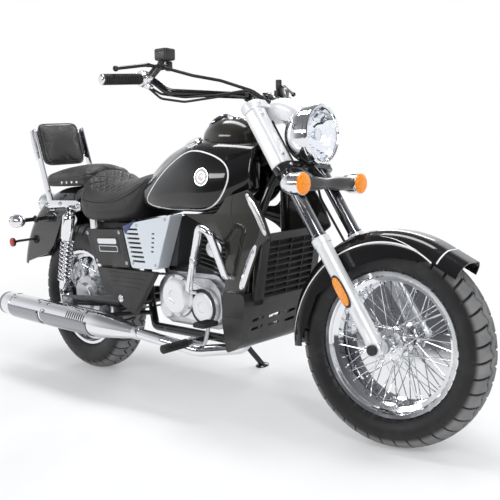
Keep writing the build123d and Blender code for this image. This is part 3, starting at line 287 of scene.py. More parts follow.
class Paint:
    """A material in the making: one shader, whose sockets take values and wires."""

    def __init__(self, name, **shader):
        self.material = bpy.data.materials.new(name)
        self.start(self.material)
        self.shader = self.tree.nodes.new("ShaderNodeBsdfPrincipled")
        self.finish(Wire(self, self.shader.outputs[0]), "ShaderNodeOutputMaterial")
        self.place = self.node("ShaderNodeTexCoord", output="Object")
        self.set(**shader)

    def start(self, owner):
        owner.use_nodes = True
        self.tree = owner.node_tree
        self.tree.nodes.clear()

    def finish(self, surface, kind="ShaderNodeOutputMaterial"):
        """The output node, made once, takes this surface."""
        made = [n for n in self.tree.nodes if n.bl_idname == kind] or [self.tree.nodes.new(kind)]
        self.tree.links.new(surface.socket, made[0].inputs["Surface"])
        return self

    def set(self, **values):
        """Sets sockets of the shader; a name's underscores stand for spaces."""
        for name, value in values.items():
            plug(self.tree, value, self.shader.inputs[name.replace("_", " ").title().replace("Ior", "IOR")])
        return self

    def node(self, kind, settings=None, inputs=None, output=0):
        """Any node: its settings first, then the values or links of its sockets."""
        made = self.tree.nodes.new(kind)
        for name, value in (settings or {}).items():
            setattr(made, name, value)
        for name, value in (inputs or {}).items():
            plug(self.tree, value, made.inputs[name])
        return Wire(self, made.outputs[output])

    def noise(self, scale, detail=3.0):
        inputs = {"Vector": self.place, "Scale": scale, "Detail": detail, "Roughness": 0.55}
        return self.node("ShaderNodeTexNoise", None, inputs)

    def cells(self, scale):
        return self.node("ShaderNodeTexVoronoi", None, {"Vector": self.place, "Scale": scale}, "Distance")

    def blend(self, mask, low, high):
        """A colour between two colours."""
        return self.node("ShaderNodeMix", {"data_type": "RGBA"}, {0: mask, 6: low, 7: high}, output=2)

    def bump(self, height, strength, distance):
        inputs = {"Height": height, "Strength": strength, "Distance": distance}
        return self.set(normal=self.node("ShaderNodeBump", None, inputs))

    def along(self, origin, axis):
        """Distance of the surface from a point, along a direction, in metres."""
        shifted = self.node(
            "ShaderNodeVectorMath", {"operation": "SUBTRACT"}, {0: self.place, 1: tuple(origin)}
        )
        return self.node(
            "ShaderNodeVectorMath", {"operation": "DOT_PRODUCT"}, {0: shifted, 1: tuple(axis)}, output="Value"
        )


def lacquer(name, colour, rough=0.25, peel=0.03):
    """Sprayed colour under a clear coat, with a faint ripple."""
    paint = Paint(name, base_color=colour, coat_roughness=0.03, specular_ior_level=0.1)
    paint.set(coat_weight=1.0, roughness=paint.noise(9.0, 2.0).ramp(0.3, 0.7, rough, rough + 0.06))
    return paint.bump(paint.noise(420.0, 2.0), peel, 0.0006).material


RAIL_Y, RAIL_Z = 100, 693          # the seat rails
CRADLE_Y, CRADLE_Z = 112, 262      # the tubes under the engine


def frame_tubes():
    """Head tube, backbone, cradles, rails and cross tubes, and the welds that ring their joints."""
    whole, welds = Shape(), Shape()
    head_low, head_high = leg_point(620, 0, -45), leg_point(806, 0, -45)
    neck, throat = head_low.lerp(head_high, 0.42), head_low.lerp(head_high, 0.24)
    whole += lathe(
        [(0, 25), (2, 28.6), (12, 28.9), (13, 27.5), (173, 27.5), (174, 28.9), (184, 28.6), (186, 25)],
        head_low, UP_LEG, 48
    )
    whole += tube(eased([neck, (960, 0, 838), (560, 0, 712)], 200, 12), 26, 32)
    whole += rod((560, -60, 712), (560, 60, 712), 18, 28, 1)
    for side in (-1, 1):
        cradle = [
            throat, (1108, side * 34, 762), (1058, side * 78, 610), (1036, side * CRADLE_Y, 330),
            (985, side * CRADLE_Y, CRADLE_Z), (560, side * CRADLE_Y, CRADLE_Z), (478, side * 58, 300),
            (456, side * 58, 560), (430, side * RAIL_Y, RAIL_Z),
        ]
        whole += tube(eased(cradle, [60, 90, 60, 40, 60, 60, 60], 8), 15, 24)
        rail = [(560, side * 40, 712), (470, side * RAIL_Y, RAIL_Z), (-150, side * RAIL_Y, RAIL_Z)]
        whole += tube(eased(rail, 80, 10), 14, 24)
        whole += rod((870, side * CRADLE_Y, CRADLE_Z), (870, side * 232, 264), 10, 24, 1)
        whole += rod((120, side * RAIL_Y, RAIL_Z), (120, side * 144, RAIL_Z), 7, 20)
        whole += rod((-78, side * RAIL_Y, RAIL_Z), (-78, side * 132, RAIL_Z), 8, 20)
        whole += rod((456, side * 58, 400), (456, side * 152, 400), 8, 20)
        welds += lathe(
            [(-2, 15.2), (0, 17.4), (2, 15.2)], (1036, side * CRADLE_Y, 345), (0.08, side * -0.12, -1), 28
        )
        welds += lathe([(-2, 14.2), (0, 16.2), (2, 14.2)], (300, side * RAIL_Y, RAIL_Z), (1, 0, 0), 28)
    whole += rod((456, -58, 560), (456, 58, 560), 14, 24)
    whole += rod((200, -RAIL_Y, RAIL_Z), (200, RAIL_Y, RAIL_Z), 10, 24)
    whole += rod((482, -62, 296), (330, -166, 288), 9, 24)
    return whole, welds


JOINT_STAND = joints["side_stand_fold"]
stand_turn = (BIKE.to_3x3().inverted() @ Vector(JOINT_STAND["axis"])).normalized()
STAND_PIVOT = Vector((640, 141, 248))
tubes_shape, weld_shape = frame_tubes()
tubes_shape += rod((STAND_PIVOT.x, CRADLE_Y, CRADLE_Z), STAND_PIVOT - stand_turn * 15, 12, 24)
tubes_shape += rod(STAND_PIVOT - stand_turn * 22, STAND_PIVOT, 15, 32, 1)
frame_black = lacquer("frame_enamel", (0.010, 0.010, 0.011), 0.36, 0.08)
piece("frame_tubing", tubes_shape, "frame", frame_black, ["frame"], angle=36)
piece("frame_welds", weld_shape, "frame", frame_black)


# ---- Swingarm, axle and chain --------------------------------------------
# The rear fork: two box-section steel arms welded to a cross tube and hung in the frame on a bolt.
# A turned axle is clamped in their ends by hexagon nuts, against screwed adjusters that tension the
# roller chain, which is pressed together from stamped plates, pins and rollers.
def slab(outline, y_low, y_high):
    """A side-view outline of (x, z) points between two y values."""
    return skin([[Vector((x, y, z)) for x, z in outline] for y in sorted((y_low, y_high))])


def smooth_outline(points, radius, steps=5):
    """A closed outline with its corners rounded, as (x, z) points."""
    count = len(points)
    radii = radius if isinstance(radius, (list, tuple)) else [radius] * count
    out = []
    for k in range(count):
        before, here, after = (Vector(points[(k + d) % count]) for d in (-1, 0, 1))
        into, outward = (before - here), (after - here)
        reach = min(radii[k], 0.45 * into.length, 0.45 * outward.length)
        a, b = here + into.normalized() * reach, here + outward.normalized() * reach
        for j in range(steps + 1):
            t = j / steps
            out.append(tuple(a * (1 - t) ** 2 + here * (2 * t * (1 - t)) + b * t ** 2))
    return out


def applied(made):
    """Applies an object's modifiers and returns it with the plain result."""
    graph = bpy.context.evaluated_depsgraph_get()
    result = bpy.data.meshes.new_from_object(made.evaluated_get(graph), depsgraph=graph)
    made.modifiers.clear()
    made.data = result
    return made


class Maker:
    """A Geometry Nodes tree in the making: named inputs, then nodes, then one painted mesh out."""

    def __init__(self, name, **inputs):
        self.tree = bpy.data.node_groups.new(name, "GeometryNodeTree")
        self.names = {}
        for label, kind in {"Geometry": "Geometry", **inputs, "Material": "Material"}.items():
            socket = self.tree.interface.new_socket(label, in_out="INPUT", socket_type="NodeSocket" + kind)
            self.names[label] = socket.identifier
        self.tree.interface.new_socket("Geometry", in_out="OUTPUT", socket_type="NodeSocketGeometry")
        self.given = self.tree.nodes.new("NodeGroupInput").outputs

    def node(self, kind, settings=None, inputs=None, output=0):
        made = self.tree.nodes.new(kind)
        for name, value in (settings or {}).items():
            setattr(made, name, value)
        for name, value in (inputs or {}).items():
            if isinstance(value, bpy.types.NodeSocket):
                self.tree.links.new(value, made.inputs[name])
            else:
                made.inputs[name].default_value = value
        return made.outputs[output] if made.outputs else made

    def finish(self, points, **placing):
        """Sets the given mesh on the points, and puts the painted copies out."""
        copies = self.node("GeometryNodeInstanceOnPoints", None, {
            "Points": points, "Instance": self.given["Geometry"], **placing
        })
        return self.painted(copies)

    def painted(self, geometry):
        """Makes copies real, sets their material and puts them out."""
        real = self.node("GeometryNodeRealizeInstances", None, {"Geometry": geometry})
        inputs = {"Geometry": real, "Material": self.given["Material"]}
        self.node("NodeGroupOutput", None, {"Geometry": self.node("GeometryNodeSetMaterial", None, inputs)})
        return self


def grown(made, maker, matrix, **values):
    """Runs a tree on an object, whose inputs are set by identifier, and sets the plain result down."""
    modifier = made.modifiers.new("copies", "NODES")
    modifier.node_group = maker.tree
    for label, value in values.items():
        modifier[maker.names[label]] = value
    applied(made)
    made.data.transform(matrix)
    return made


def metal(name, tint, rough, spread=0.04, grain=0.0, grain_scale=900.0, dark=None, shine=1.0):
    """Metal of uneven gloss, in patches of a second tint and with a fine grain where they are given."""
    paint = Paint(name, metallic=shine, base_color=tint, specular_ior_level=0.5)
    wander = paint.noise(14.0, 2.0)
    paint.set(roughness=wander.ramp(0.35, 0.7, rough, rough + spread))
    if dark:
        paint.set(base_color=paint.blend(paint.noise(38.0, 4.0).ramp(0.4, 0.72), tint, dark))
    if grain:
        paint.bump(paint.noise(grain_scale, 3.0), grain, 0.0004)
    return paint.material


CHAIN_Y, LINK = 87.0, 13.6
DRIVE = Vector((605, CHAIN_Y, 380))


def chain_route():
    """Points a link apart round both sprockets."""
    ra, rb = 90.5, 42.5
    gap = Vector((DRIVE.x, 0, DRIVE.z - REAR_AXLE.z))
    span, tilt = gap.length, math.atan2(gap.z, gap.x)
    spread = math.acos((ra - rb) / span)
    route = []
    for k in range(41):
        t = tilt + spread + (2 * math.pi - 2 * spread) * k / 40
        route.append(Vector((ra * math.cos(t), CHAIN_Y, REAR_AXLE.z + ra * math.sin(t))))
    for k in range(41):
        t = tilt - spread + 2 * spread * k / 40
        route.append(Vector((DRIVE.x + rb * math.cos(t), CHAIN_Y, DRIVE.z + rb * math.sin(t))))
    route.append(route[0])
    lengths = [0.0]
    for a, b in zip(route, route[1:]):
        lengths.append(lengths[-1] + (b - a).length)
    count = 2 * round(lengths[-1] / LINK / 2)
    points, k = [], 0
    for j in range(count):
        want = lengths[-1] * j / count
        while lengths[k + 1] < want:
            k += 1
        f = (want - lengths[k]) / max(lengths[k + 1] - lengths[k], 1e-6)
        points.append(route[k].lerp(route[k + 1], f))
    return points


def route_tree():
    """Every second point of a closed route gets a copy, turned to run along the route."""
    maker = Maker("links_on_route", Route="Object", Count="Int", First="Int")
    route = maker.node("GeometryNodeObjectInfo", None, {"Object": maker.given["Route"]}, output="Geometry")
    spread = maker.node(
        "GeometryNodeCurveToPoints", {"mode": "COUNT"}, {"Curve": route, "Count": maker.given["Count"]}
    )
    tangent = spread.node.outputs["Tangent"]
    turn = maker.node("FunctionNodeAlignRotationToVector", {"axis": "X"}, {"Vector": tangent})
    index = maker.node("GeometryNodeInputIndex")
    place = maker.node("ShaderNodeMath", {"operation": "ADD"}, {0: index, 1: maker.given["First"]})
    odd = maker.node("ShaderNodeMath", {"operation": "MODULO"}, {0: place, 1: 2.0})
    return maker.finish(spread, Rotation=turn, Selection=odd)


def link(wide):
    """One link, run along X: two waisted plates, and the roller that joins it to the next."""
    shape = rod((LINK / 2, -6.6, 0), (LINK / 2, 6.6, 0), 2.4, 8)
    outline = []
    for k in range(14):
        t = 2 * math.pi * k / 14
        waist = 0.8 if abs(math.cos(t)) < 0.3 else 1.0
        outline.append((math.copysign(LINK / 2, math.cos(t)) + 5.0 * math.cos(t), 5.0 * math.sin(t) * waist))
    for y in (-wide - 0.8, wide - 0.8):
        shape += slab(outline, y, y + 1.6)
    return shape


arm_shape = Shape()
adjusters = Shape()
for side in (-1, 1):
    y_low, y_high = sorted((side * 104, side * 128))
    outline = smooth_outline([
        (-46, 286), (470, 323), (495, 337), (495, 353), (470, 367), (-46, 328)
    ], 5, 3)
    arm_shape += slab(outline, y_low, y_high)
    lug = smooth_outline([(-4, 318), (31, 318), (30, 362), (14, 369), (-2, 362)], 8, 4)
    arm_shape += slab(lug, y_low + 3, y_high - 3)
    outer = Vector((0, side, 0))
    plate = smooth_outline([(-42, 293), (30, 297), (30, 319), (-42, 322)], 4, 3)
    adjusters += slab(plate, side * 128.0, side * 130.5)
    adjusters += rod((-52, side * 116, REAR_AXLE.z), (-40, side * 116, REAR_AXLE.z), 5, 6)
    adjusters += rod((14, side * 116, 352), (14, side * 172, 352), 7, 20, 1)
arm_shape += rod((470, -116, 345), (470, 116, 345), 17, 32)
piece("swingarm_box", arm_shape, "frame", frame_black, ["swingarm"], bevel=2.0)
steel = metal("plain_steel", (0.50, 0.51, 0.53), 0.26, 0.10, grain=0.12)
piece("chain_adjusters", adjusters, "frame", steel, bevel=0.6)
rear_axle_shape = rod((0, -136, REAR_AXLE.z), (0, 136, REAR_AXLE.z), 8.5, 24)
for side in (-1, 1):
    nut = [(0, 14.8), (2, 14.8), (2, 12.4), (8, 12.4), (9.6, 10.4), (9.8, 6), (7, 5.5), (7, 0)]
    rear_axle_shape += lathe(nut, (0, side * 128, REAR_AXLE.z), (0, side, 0), 6)
bolt_steel = metal("bolt_steel", (0.66, 0.67, 0.69), 0.20, 0.10)
piece("rear_axle_nuts", rear_axle_shape, "frame", bolt_steel, ["rear_axle"], angle=24)
links = chain_route()
curve = bpy.data.curves.new("chain_line", "CURVE")
curve.dimensions = "3D"
line = curve.splines.new("POLY")
line.points.add(len(links) - 1)
for spot, point in zip(line.points, links):
    spot.co = (*point, 1.0)
line.use_cyclic_u = True
chain_line = bpy.data.objects.new("chain_line", curve)
bpy.context.scene.collection.objects.link(chain_line)
ROUTE_TREE = route_tree()
for name, wide, first, node in (
    ("drive_chain_outer_links", 5.4, 0, ["chain"]), ("drive_chain_inner_links", 3.4, 1, [])
):
    made = mesh_object(name, link(wide), Matrix.Identity(4))
    shade(made, 30)
    grown(made, ROUTE_TREE, BIKE, Route=chain_line, Count=len(links), First=first, Material=steel)
    keep(made, "frame", steel, node)
bpy.data.objects.remove(chain_line)


# ---- Shock absorbers -----------------------------------------------------
# The pair of chromed spring units that hold up the rear end, each bolted to rail and arm through
# rubber bushes. A coil of round wire is pressed between a stepped body and a drawn upper cover.
def about(centre, direction, x_axis):
    """A matrix whose Z runs along a direction and whose X is as near as can be to the one given."""
    z = Vector(direction).normalized()
    x = (Vector(x_axis) - z * Vector(x_axis).dot(z)).normalized()
    return Matrix.Translation(Vector(centre)) @ turned_to(x, z.cross(x), z)


def rubber_material(name, colour, pale, rough):
    """Rubber: matt, with dusty patches and a fine pitted skin."""
    paint = Paint(name, specular_ior_level=0.35)
    dust = paint.noise(23.0, 5.0).ramp(0.45, 0.78)
    paint.set(base_color=paint.blend(dust, colour, pale))
    paint.set(roughness=dust.ramp(0.0, 1.0, rough, rough + 0.14))
    return paint.bump(paint.noise(2080.0, 3.0), 0.25, 0.0005).material


SHOCK_TOP, SHOCK_FOOT = Vector((120, 158, RAIL_Z)), Vector((14, 158, 352))


def on_side(point, side):
    """A left point, or with side -1 the same one on the right."""
    return Vector((point[0], side * point[1], point[2]))


def shocks():
    """Bodies and covers, where the springs stand, and the rubber bushes, for both sides."""
    bodies, springs, rubbers = Shape(), [], Shape()
    for side in (-1, 1):
        top, foot = on_side(SHOCK_TOP, side), on_side(SHOCK_FOOT, side)
        run, length = (top - foot).normalized(), (top - foot).length
        for end in (top, foot):
            bodies += lathe([(-10, 13.5), (-9, 15), (9, 15), (10, 13.5)], end, (0, 1, 0), 32)
            rubbers += lathe([(-11, 8), (-11, 10), (11, 10), (11, 8)], end, (0, 1, 0), 28)
            rubbers += rod(end + Vector((0, side * 9, 0)), end + Vector((0, side * 14, 0)), 7.5, 6, 0.8)
        bodies += lathe([
            (8, 9), (14, 17), (18, 19), (50, 19), (52, 27), (56, 28.6), (59, 28.6), (60, 20), (62, 13),
            (length - 122, 13),
        ], foot, run, 48)
        cover = (
            (126, 15), (126, 27.6), (122, 28.8), (40, 28.8), (30, 27.5), (22, 22), (18, 12), (8, 10)
        )
        bodies += lathe([(length - below, r) for below, r in cover], foot, run, 48)
        springs.append(BIKE @ about(foot + run * 61, run, (0, 1, 0)))
    return bodies, springs, rubbers


def spring_tree():
    """A round wire swept along a spiral, under the given mesh's own material."""
    maker = Maker("coil_spring", Turns="Float", Radius="Float", Length="Float", Wire="Float")
    given = maker.given
    spiral = maker.node("GeometryNodeCurveSpiral", None, {
        "Resolution": 28, "Rotations": given["Turns"], "Height": given["Length"],
        "Start Radius": given["Radius"], "End Radius": given["Radius"],
    })
    wire = maker.node("GeometryNodeCurvePrimitiveCircle", None, {"Resolution": 12, "Radius": given["Wire"]})
    swept = maker.node(
        "GeometryNodeCurveToMesh", None, {"Curve": spiral, "Profile Curve": wire, "Fill Caps": True}
    )
    return maker.painted(swept)


shock_bodies, shock_springs, shock_rubbers = shocks()
chrome = metal("chrome", (0.83, 0.84, 0.86), 0.05, 0.05)
piece("shock_bodies", shock_bodies, "frame", chrome, ["rear_shocks"], angle=30)
SPRING_TURNS, SPRING_R, SPRING_WIRE = 9.5, 24.4, 4.1
SPRING_LENGTH = (SHOCK_TOP - SHOCK_FOOT).length - 191
SPRING_TREE = spring_tree()
for label, at in zip(("right", "left"), shock_springs):
    made = mesh_object("shock_spring_" + label, Shape(), Matrix.Identity(4))
    coil = {"Turns": SPRING_TURNS, "Radius": SPRING_R, "Length": SPRING_LENGTH, "Wire": SPRING_WIRE}
    grown(made, SPRING_TREE, at, **coil, Material=chrome)
    shade(made)
    keep(made, "frame", chrome)
rubber = rubber_material("grip_rubber", (0.014, 0.014, 0.015), (0.030, 0.030, 0.030), 0.55)
piece("shock_bushes", shock_rubbers, "frame", rubber)


# ---- Engine --------------------------------------------------------------
# A single-cylinder engine, sand-cast in aluminium and bolted into the cradle, with a black finned
# barrel and head. Silver-lacquered case covers close both sides on paper gaskets, under cap screws.
def repeat_tree(name, ring):
    """Copies of a mesh turned about Z by equal steps, or stepped along a line."""
    maker = Maker(name, Count="Int", Step="Vector")
    index = maker.node("GeometryNodeInputIndex")
    step = maker.node(
        "ShaderNodeVectorMath", {"operation": "SCALE"}, {0: maker.given["Step"], "Scale": index}
    )
    points = {"Count": maker.given["Count"]}
    if ring:
        return maker.finish(maker.node("GeometryNodePoints", None, points), Rotation=step)
    return maker.finish(maker.node("GeometryNodePoints", None, {**points, "Position": step}))


RING_TREE = repeat_tree("copies_round_z", ring=True)


def turned_copies(name, shape, count, matrix, material=None, turn=None, angle=38):
    """Copies of a shape round the Z axis of a matrix, evenly or by a turn in degrees."""
    made = mesh_object(name, shape, Matrix.Identity(4))
    shade(made, angle)
    step = (0.0, 0.0, math.radians(turn or 360.0 / count))
    return grown(made, RING_TREE, matrix, Count=count, Step=step, Material=material)


LINE_TREE = repeat_tree("copies_in_line", ring=False)


def stepped_copies(name, shape, count, step, material=None, angle=38):
    """Copies of a shape that stands in the bike's frame, a step apart."""
    made = mesh_object(name, shape, Matrix.Identity(4))
    shade(made, angle)
    return grown(made, LINE_TREE, BIKE, Count=count, Step=tuple(step), Material=material)


def moulding(name, colour, worn, rough=0.42, grain=0.22, scale=1500.0):
    """Grained plastic that is a little paler and glossier where it is handled."""
    paint = Paint(name, specular_ior_level=0.5)
    patches = paint.noise(11.0, 4.0).ramp(0.42, 0.75)
    paint.set(base_color=paint.blend(patches, colour, worn))
    paint.set(roughness=patches.ramp(0.0, 1.0, rough + 0.05, rough - 0.07))
    return paint.bump(paint.cells(scale), grain, 0.0004).material


bore_run = Vector((math.sin(math.radians(11)), 0, math.cos(math.radians(11))))
CYLINDER = Vector((852, 0, 470))
bore_fore = Vector((bore_run.z, 0, -bore_run.x))


def rounded_square(s, half, corner):
    """A rounded square across the bore, a distance up it."""
    centre, steps = CYLINDER + bore_run * s, 6
    ring = []
    for sx, sy, start in ((1, 1, 0), (-1, 1, 90), (-1, -1, 180), (1, -1, 270)):
        for k in range(steps + 1):
            t = math.radians(start + 90 * k / steps)
            x = sx * (half - corner) + corner * math.cos(t)
            y = sy * (half - corner) + corner * math.sin(t)
            ring.append(centre + bore_fore * x + Vector((0, 1, 0)) * y)
    return ring


def engine_block():
    """Crankcase, its raised middle, the barrel and the head."""
    case = slab(smooth_outline([
        (632, 285), (905, 285), (958, 330), (950, 430), (905, 474), (640, 474), (600, 430), (600, 320)
    ], 20, 5), -100, 100)
    upper = slab(smooth_outline([
        (644, 300), (900, 300), (944, 340), (938, 424), (898, 462), (650, 462), (612, 424), (612, 330)
    ], 18, 5), -124, 124)
    barrel = rod(CYLINDER - bore_run * 6, CYLINDER + bore_run * 188, 60, 48)
    head = skin([rounded_square(s, half, 22) for s, half in ((150, 66), (154, 70), (184, 66), (188, 60))])
    return case + upper + barrel + head


def fin(s, half):
    """A thin plate with eased edges, a distance up the bore."""
    edge = ((0.0, 1.2), (0.8, 0.0), (3.6, 0.0), (4.4, 1.2))
    return skin([rounded_square(s + d, half - inset, 28) for d, inset in edge])


def round_cover(centre, side, radius, depth, step):
    """A side cover: a stepped dome with a raised rim."""
    return lathe([
        (-8, radius), (depth * 0.45, radius), (depth * 0.52, radius - 2), (depth * 0.52, radius - step),
        (depth * 0.66, radius - step - 2), (depth * 0.9, radius - step - 5), (depth, radius - step - 11),
        (depth, radius * 0.32), (depth * 0.86, radius * 0.28), (depth * 0.86, 0.2),
    ], centre, (0, side, 0), 96)


def ring_of_bolts(name, centre, side, radius, count, start):
    """Cap screws round a cover, drawn at the first one's place on an axle that points outwards."""
    t = math.radians(start)
    size, height = 4.6, 5.0
    screw = lathe(
        [(0, size + 1.6), (1.0, size + 1.6), (1.0, size), (height, size), (height + 0.8, size - 1.2),
         (height + 0.8, size * 0.45), (height - 1.5, size * 0.4), (height - 1.5, 0)],
        (radius * math.cos(t), radius * math.sin(t), 0), (0, 0, 1), 18
    )
    made = turned_copies(
        name, screw, count, BIKE @ about(centre, (0, side, 0), (1, 0, 0)), bolt_steel, angle=34
    )
    return keep(made, "frame", bolt_steel)


FIN_STEP = 15.5
satin_black = moulding("satin_black", (0.024, 0.024, 0.025), (0.040, 0.039, 0.039), 0.33, 0.10, 2400.0)
for name, first, half, count in (
    ("engine_barrel_fins", 14.0, 81, 8), ("engine_head_fins", 14.0 + 8 * FIN_STEP, 76, 3)
):
    made = stepped_copies(name, fin(first, half), count, bore_run * FIN_STEP, satin_black, angle=30)
    keep(made, "frame", satin_black)
clutch_case = round_cover((740, -122, 397), -1, 74, 46, 9) + round_cover((860, -122, 367), -1, 61, 22, 7)
rotor_case = round_cover((790, 122, 392), 1, 76, 40, 9)
cover_link = slab(smooth_outline([
    (740, 323), (868, 308), (906, 336), (912, 392), (880, 426), (752, 470), (700, 440), (690, 350)
], 26, 6), -136, -120)
small_cover = lathe([(-6, 30), (14, 30), (17, 27), (17, 0.2)], (660, -120, 340), (0, -1, 0), 40)
left_case = smooth_outline([(716, 330), (880, 316), (906, 350), (900, 430), (840, 462), (716, 452)], 22, 6)
left_case = slab(left_case, 110, 140)
alloy = metal(
    "cast_alloy", (0.70, 0.71, 0.73), 0.30, 0.10, grain=0.25, grain_scale=700.0, dark=(0.58, 0.59, 0.61)
)
piece("engine_castings", engine_block(), "frame", alloy, ["engine"], bevel=3.0, segments=3)
silver = metal("silver_lacquer", (0.86, 0.87, 0.88), 0.36, 0.05, grain=0.10, grain_scale=2200.0, shine=0.45)
case_covers = cover_link + left_case + small_cover
piece("engine_case_covers", case_covers, "frame", silver, bevel=3.5, segments=3)
piece("engine_round_covers", clutch_case + rotor_case, "frame", silver, angle=26)
gaskets = lathe([(-1, 75.6), (1.8, 75.6), (1.8, 60)], (740, -137, 397), (0, -1, 0), 72)
gaskets += lathe([(-1, 62.4), (1.8, 62.4), (1.8, 50)], (860, -137, 367), (0, -1, 0), 72)
gaskets += lathe([(-1, 77.6), (1.8, 77.6), (1.8, 60)], (790, 140, 392), (0, 1, 0), 72)
core_black = moulding("radiator_black", (0.010, 0.010, 0.011), (0.022, 0.022, 0.023), 0.50, 0.30, 900.0)
piece("engine_gaskets", gaskets, "frame", core_black, angle=30)
ring_of_bolts("clutch_cover_bolts", (740, -145, 397), -1, 69.5, 8, 12)
ring_of_bolts("pump_cover_bolts", (860, -132, 367), -1, 56.5, 5, 200)
ring_of_bolts("rotor_cover_bolts", (790, 141, 392), 1, 71.5, 8, 20)
head_nut = lathe([(0, 9), (7, 9), (9, 7), (9, 4), (5, 4), (5, 0)], (50, 0, 0), (0, 0, 1), 6)
on_head = BIKE @ about(CYLINDER + bore_run * 187, bore_run, bore_fore + Vector((0, 1, 0)))
head_nuts = turned_copies("cylinder_head_nuts", head_nut, 4, on_head, bolt_steel, angle=34)
keep(head_nuts, "frame", bolt_steel)
port = CYLINDER + bore_run * 128
PORT_END = port + Vector((96, -16, -8))
port_run = (PORT_END - port).normalized()
port_shape = lathe([(0, 26.5), (84, 26.5), (86, 34), (93, 34), (96, 30)], port, port_run, 40)
piece("exhaust_port", port_shape, "frame", alloy)
boss = [(CHAIN_Y - 15, 35), (CHAIN_Y + 3, 35), (CHAIN_Y + 4, 33), (CHAIN_Y + 4, 0.3)]
drive = lathe(boss, (DRIVE.x, 0, DRIVE.z), (0, 1, 0), 40)
drive += rod((700, 0, DRIVE.z), (585, 0, DRIVE.z), 40, 40)
piece("drive_sprocket_boss", drive, "frame", steel)


# ---- Exhaust -------------------------------------------------------------
# The header is bent from chromed steel tube and clamped at the port; it runs under the engine into
# one long rolled silencer, hung from the frame on a bracket. Two curved heat shields of smoked
# chrome are screwed round its upper side, and a ribbed band closes the open end.
MUFFLER_FRONT, MUFFLER_BACK = Vector((560, -192, 252)), Vector((-402, -192, 272))
muffler_run = (MUFFLER_BACK - MUFFLER_FRONT).normalized()


def shield(start, end, radius, low_angle, high_angle):
    """A curved plate round the silencer's upper outer side."""
    side_axis, up_axis = Vector((0, -1, 0)), Vector((0, -1, 0)).cross(muffler_run)
    rows_out, rows_in = [], []
    rows, cols = 60, 28
    for k in range(rows + 1):
        f = k / rows
        s = start + (end - start) * f
        ease = min(1.0, f / 0.06, (1 - f) / 0.06)
        ease = math.sqrt(max(0.0, 1 - (1 - ease) ** 2))
        out, inn = [], []
        for j in range(cols + 1):
            a = math.radians(low_angle + (high_angle - low_angle) * j / cols)
            rim = min(1.0, j / 2.0, (cols - j) / 2.0)
            r = radius - 3.0 * (1 - min(ease, rim))
            direction = side_axis * math.cos(a) + up_axis * math.sin(a)
            out.append(MUFFLER_FRONT + muffler_run * s + direction * r)
            inn.append(MUFFLER_FRONT + muffler_run * s + direction * (radius - 4.4))
        rows_out.append(out)
        rows_in.append(inn)
    return skin(rows_out, closed=False) + skin(rows_in, closed=False)


header = [
    PORT_END, (1012, -36, 600), (1016, -44, 500), (1008, -48, 300), (962, -60, 222), (860, -168, 222),
    (700, -192, 242), (556, -192, 252),
]
L = (MUFFLER_BACK - MUFFLER_FRONT).length
pipe_shape = tube(eased(header, [24, 60, 60, 34, 60, 120], 12), 19.8, 40)
pipe_shape += lathe([(86, 20), (87, 27), (95, 27), (100, 21)], port, port_run, 36)
silencer = [
    (-6, 20.0), (-4, 25.5), (18, 25.5), (20, 23.2), (60, 29.0), (120, 37.5), (180, 45.2), (224, 49.3),
    (250, 50.0), (L - 96, 50.0), (L - 94, 51.4), (L - 84, 51.4), (L - 82, 50.0), (L - 30, 50.0),
    (L - 24, 49.4), (L - 22, 45.0), (L - 3, 44.2), (L - 0.5, 42.8), (L, 40.0), (L - 2, 38.4),
    (L - 58, 38.0), (L - 58, 0.3),
]
exhaust_shape = pipe_shape + lathe(silencer, MUFFLER_FRONT, muffler_run, 96)
piece("exhaust_chrome", exhaust_shape, "frame", chrome, ["exhaust"], angle=28)
plates = shield(272, 610, 54.8, -14, 86) + shield(628, L - 86, 54.8, -14, 86)
dark_chrome = metal("smoked_chrome", (0.34, 0.35, 0.37), 0.08, 0.06)
piece("exhaust_shields", plates, "frame", dark_chrome, angle=30)
bands = Shape()
for s, turn in ((300, 62), (585, 62), (650, 62), (L - 110, 62), (590, 20)):
    a = math.radians(turn)
    direction = Vector((0, -1, 0)) * math.cos(a) + Vector((0, 0, 1)) * math.sin(a)
    at = MUFFLER_FRONT + muffler_run * s + direction * 53.8
    bands += lathe([(0, 8), (1.4, 8), (1.4, 5.4), (5.2, 5.2), (6.0, 3.8), (6.0, 0)], at, direction, 20)
piece("exhaust_shield_bolts", bands, "frame", bolt_steel)
# The shield's slots are not cut: thin black bands stand proud on it, painted shade where the openings are.
rows = []
for j in range(9):
    a = math.radians(15 + 30 * j / 8)
    direction = Vector((0, -1, 0)) * math.cos(a) + Vector((0, 0, 1)) * math.sin(a)
    half = 2.6 * math.sqrt(max(0.02, 1 - ((j - 4) / 4.4) ** 2))
    rows.append([
        MUFFLER_FRONT + muffler_run * (300 + d) + direction * r
        for d, r in ((-half, 54.0), (-half, 55.25), (half, 55.25), (half, 54.0))
    ])
slot_shade_marks = stepped_copies("exhaust_shield_slots", skin(rows), 8, muffler_run * 15.0, core_black)
keep(slot_shade_marks, "frame", core_black)
bracket = slab(smooth_outline([(300, 290), (352, 290), (356, 322), (330, 330), (304, 322)], 8, 4), -172, -166)
piece("exhaust_bracket", bracket, "frame", frame_black, bevel=0.8)
end_rib = rod((47.6, 0, -25), (47.6, 0, 0), 1.7, 8, 0.5)
end_ribs = turned_copies(
    "exhaust_end_ribs", end_rib, 44, BIKE @ about(MUFFLER_BACK, muffler_run, (0, -1, 0)), dark_chrome
)
keep(end_ribs, "frame", dark_chrome)
end_band = [(L - 27, 46), (L - 27, 48.2), (L - 2, 47.6), (L - 1, 45.0), (L - 1, 43)]
end_band = lathe(end_band, MUFFLER_FRONT, muffler_run, 72)
piece("exhaust_end_band", end_band, "frame", dark_chrome, angle=30)


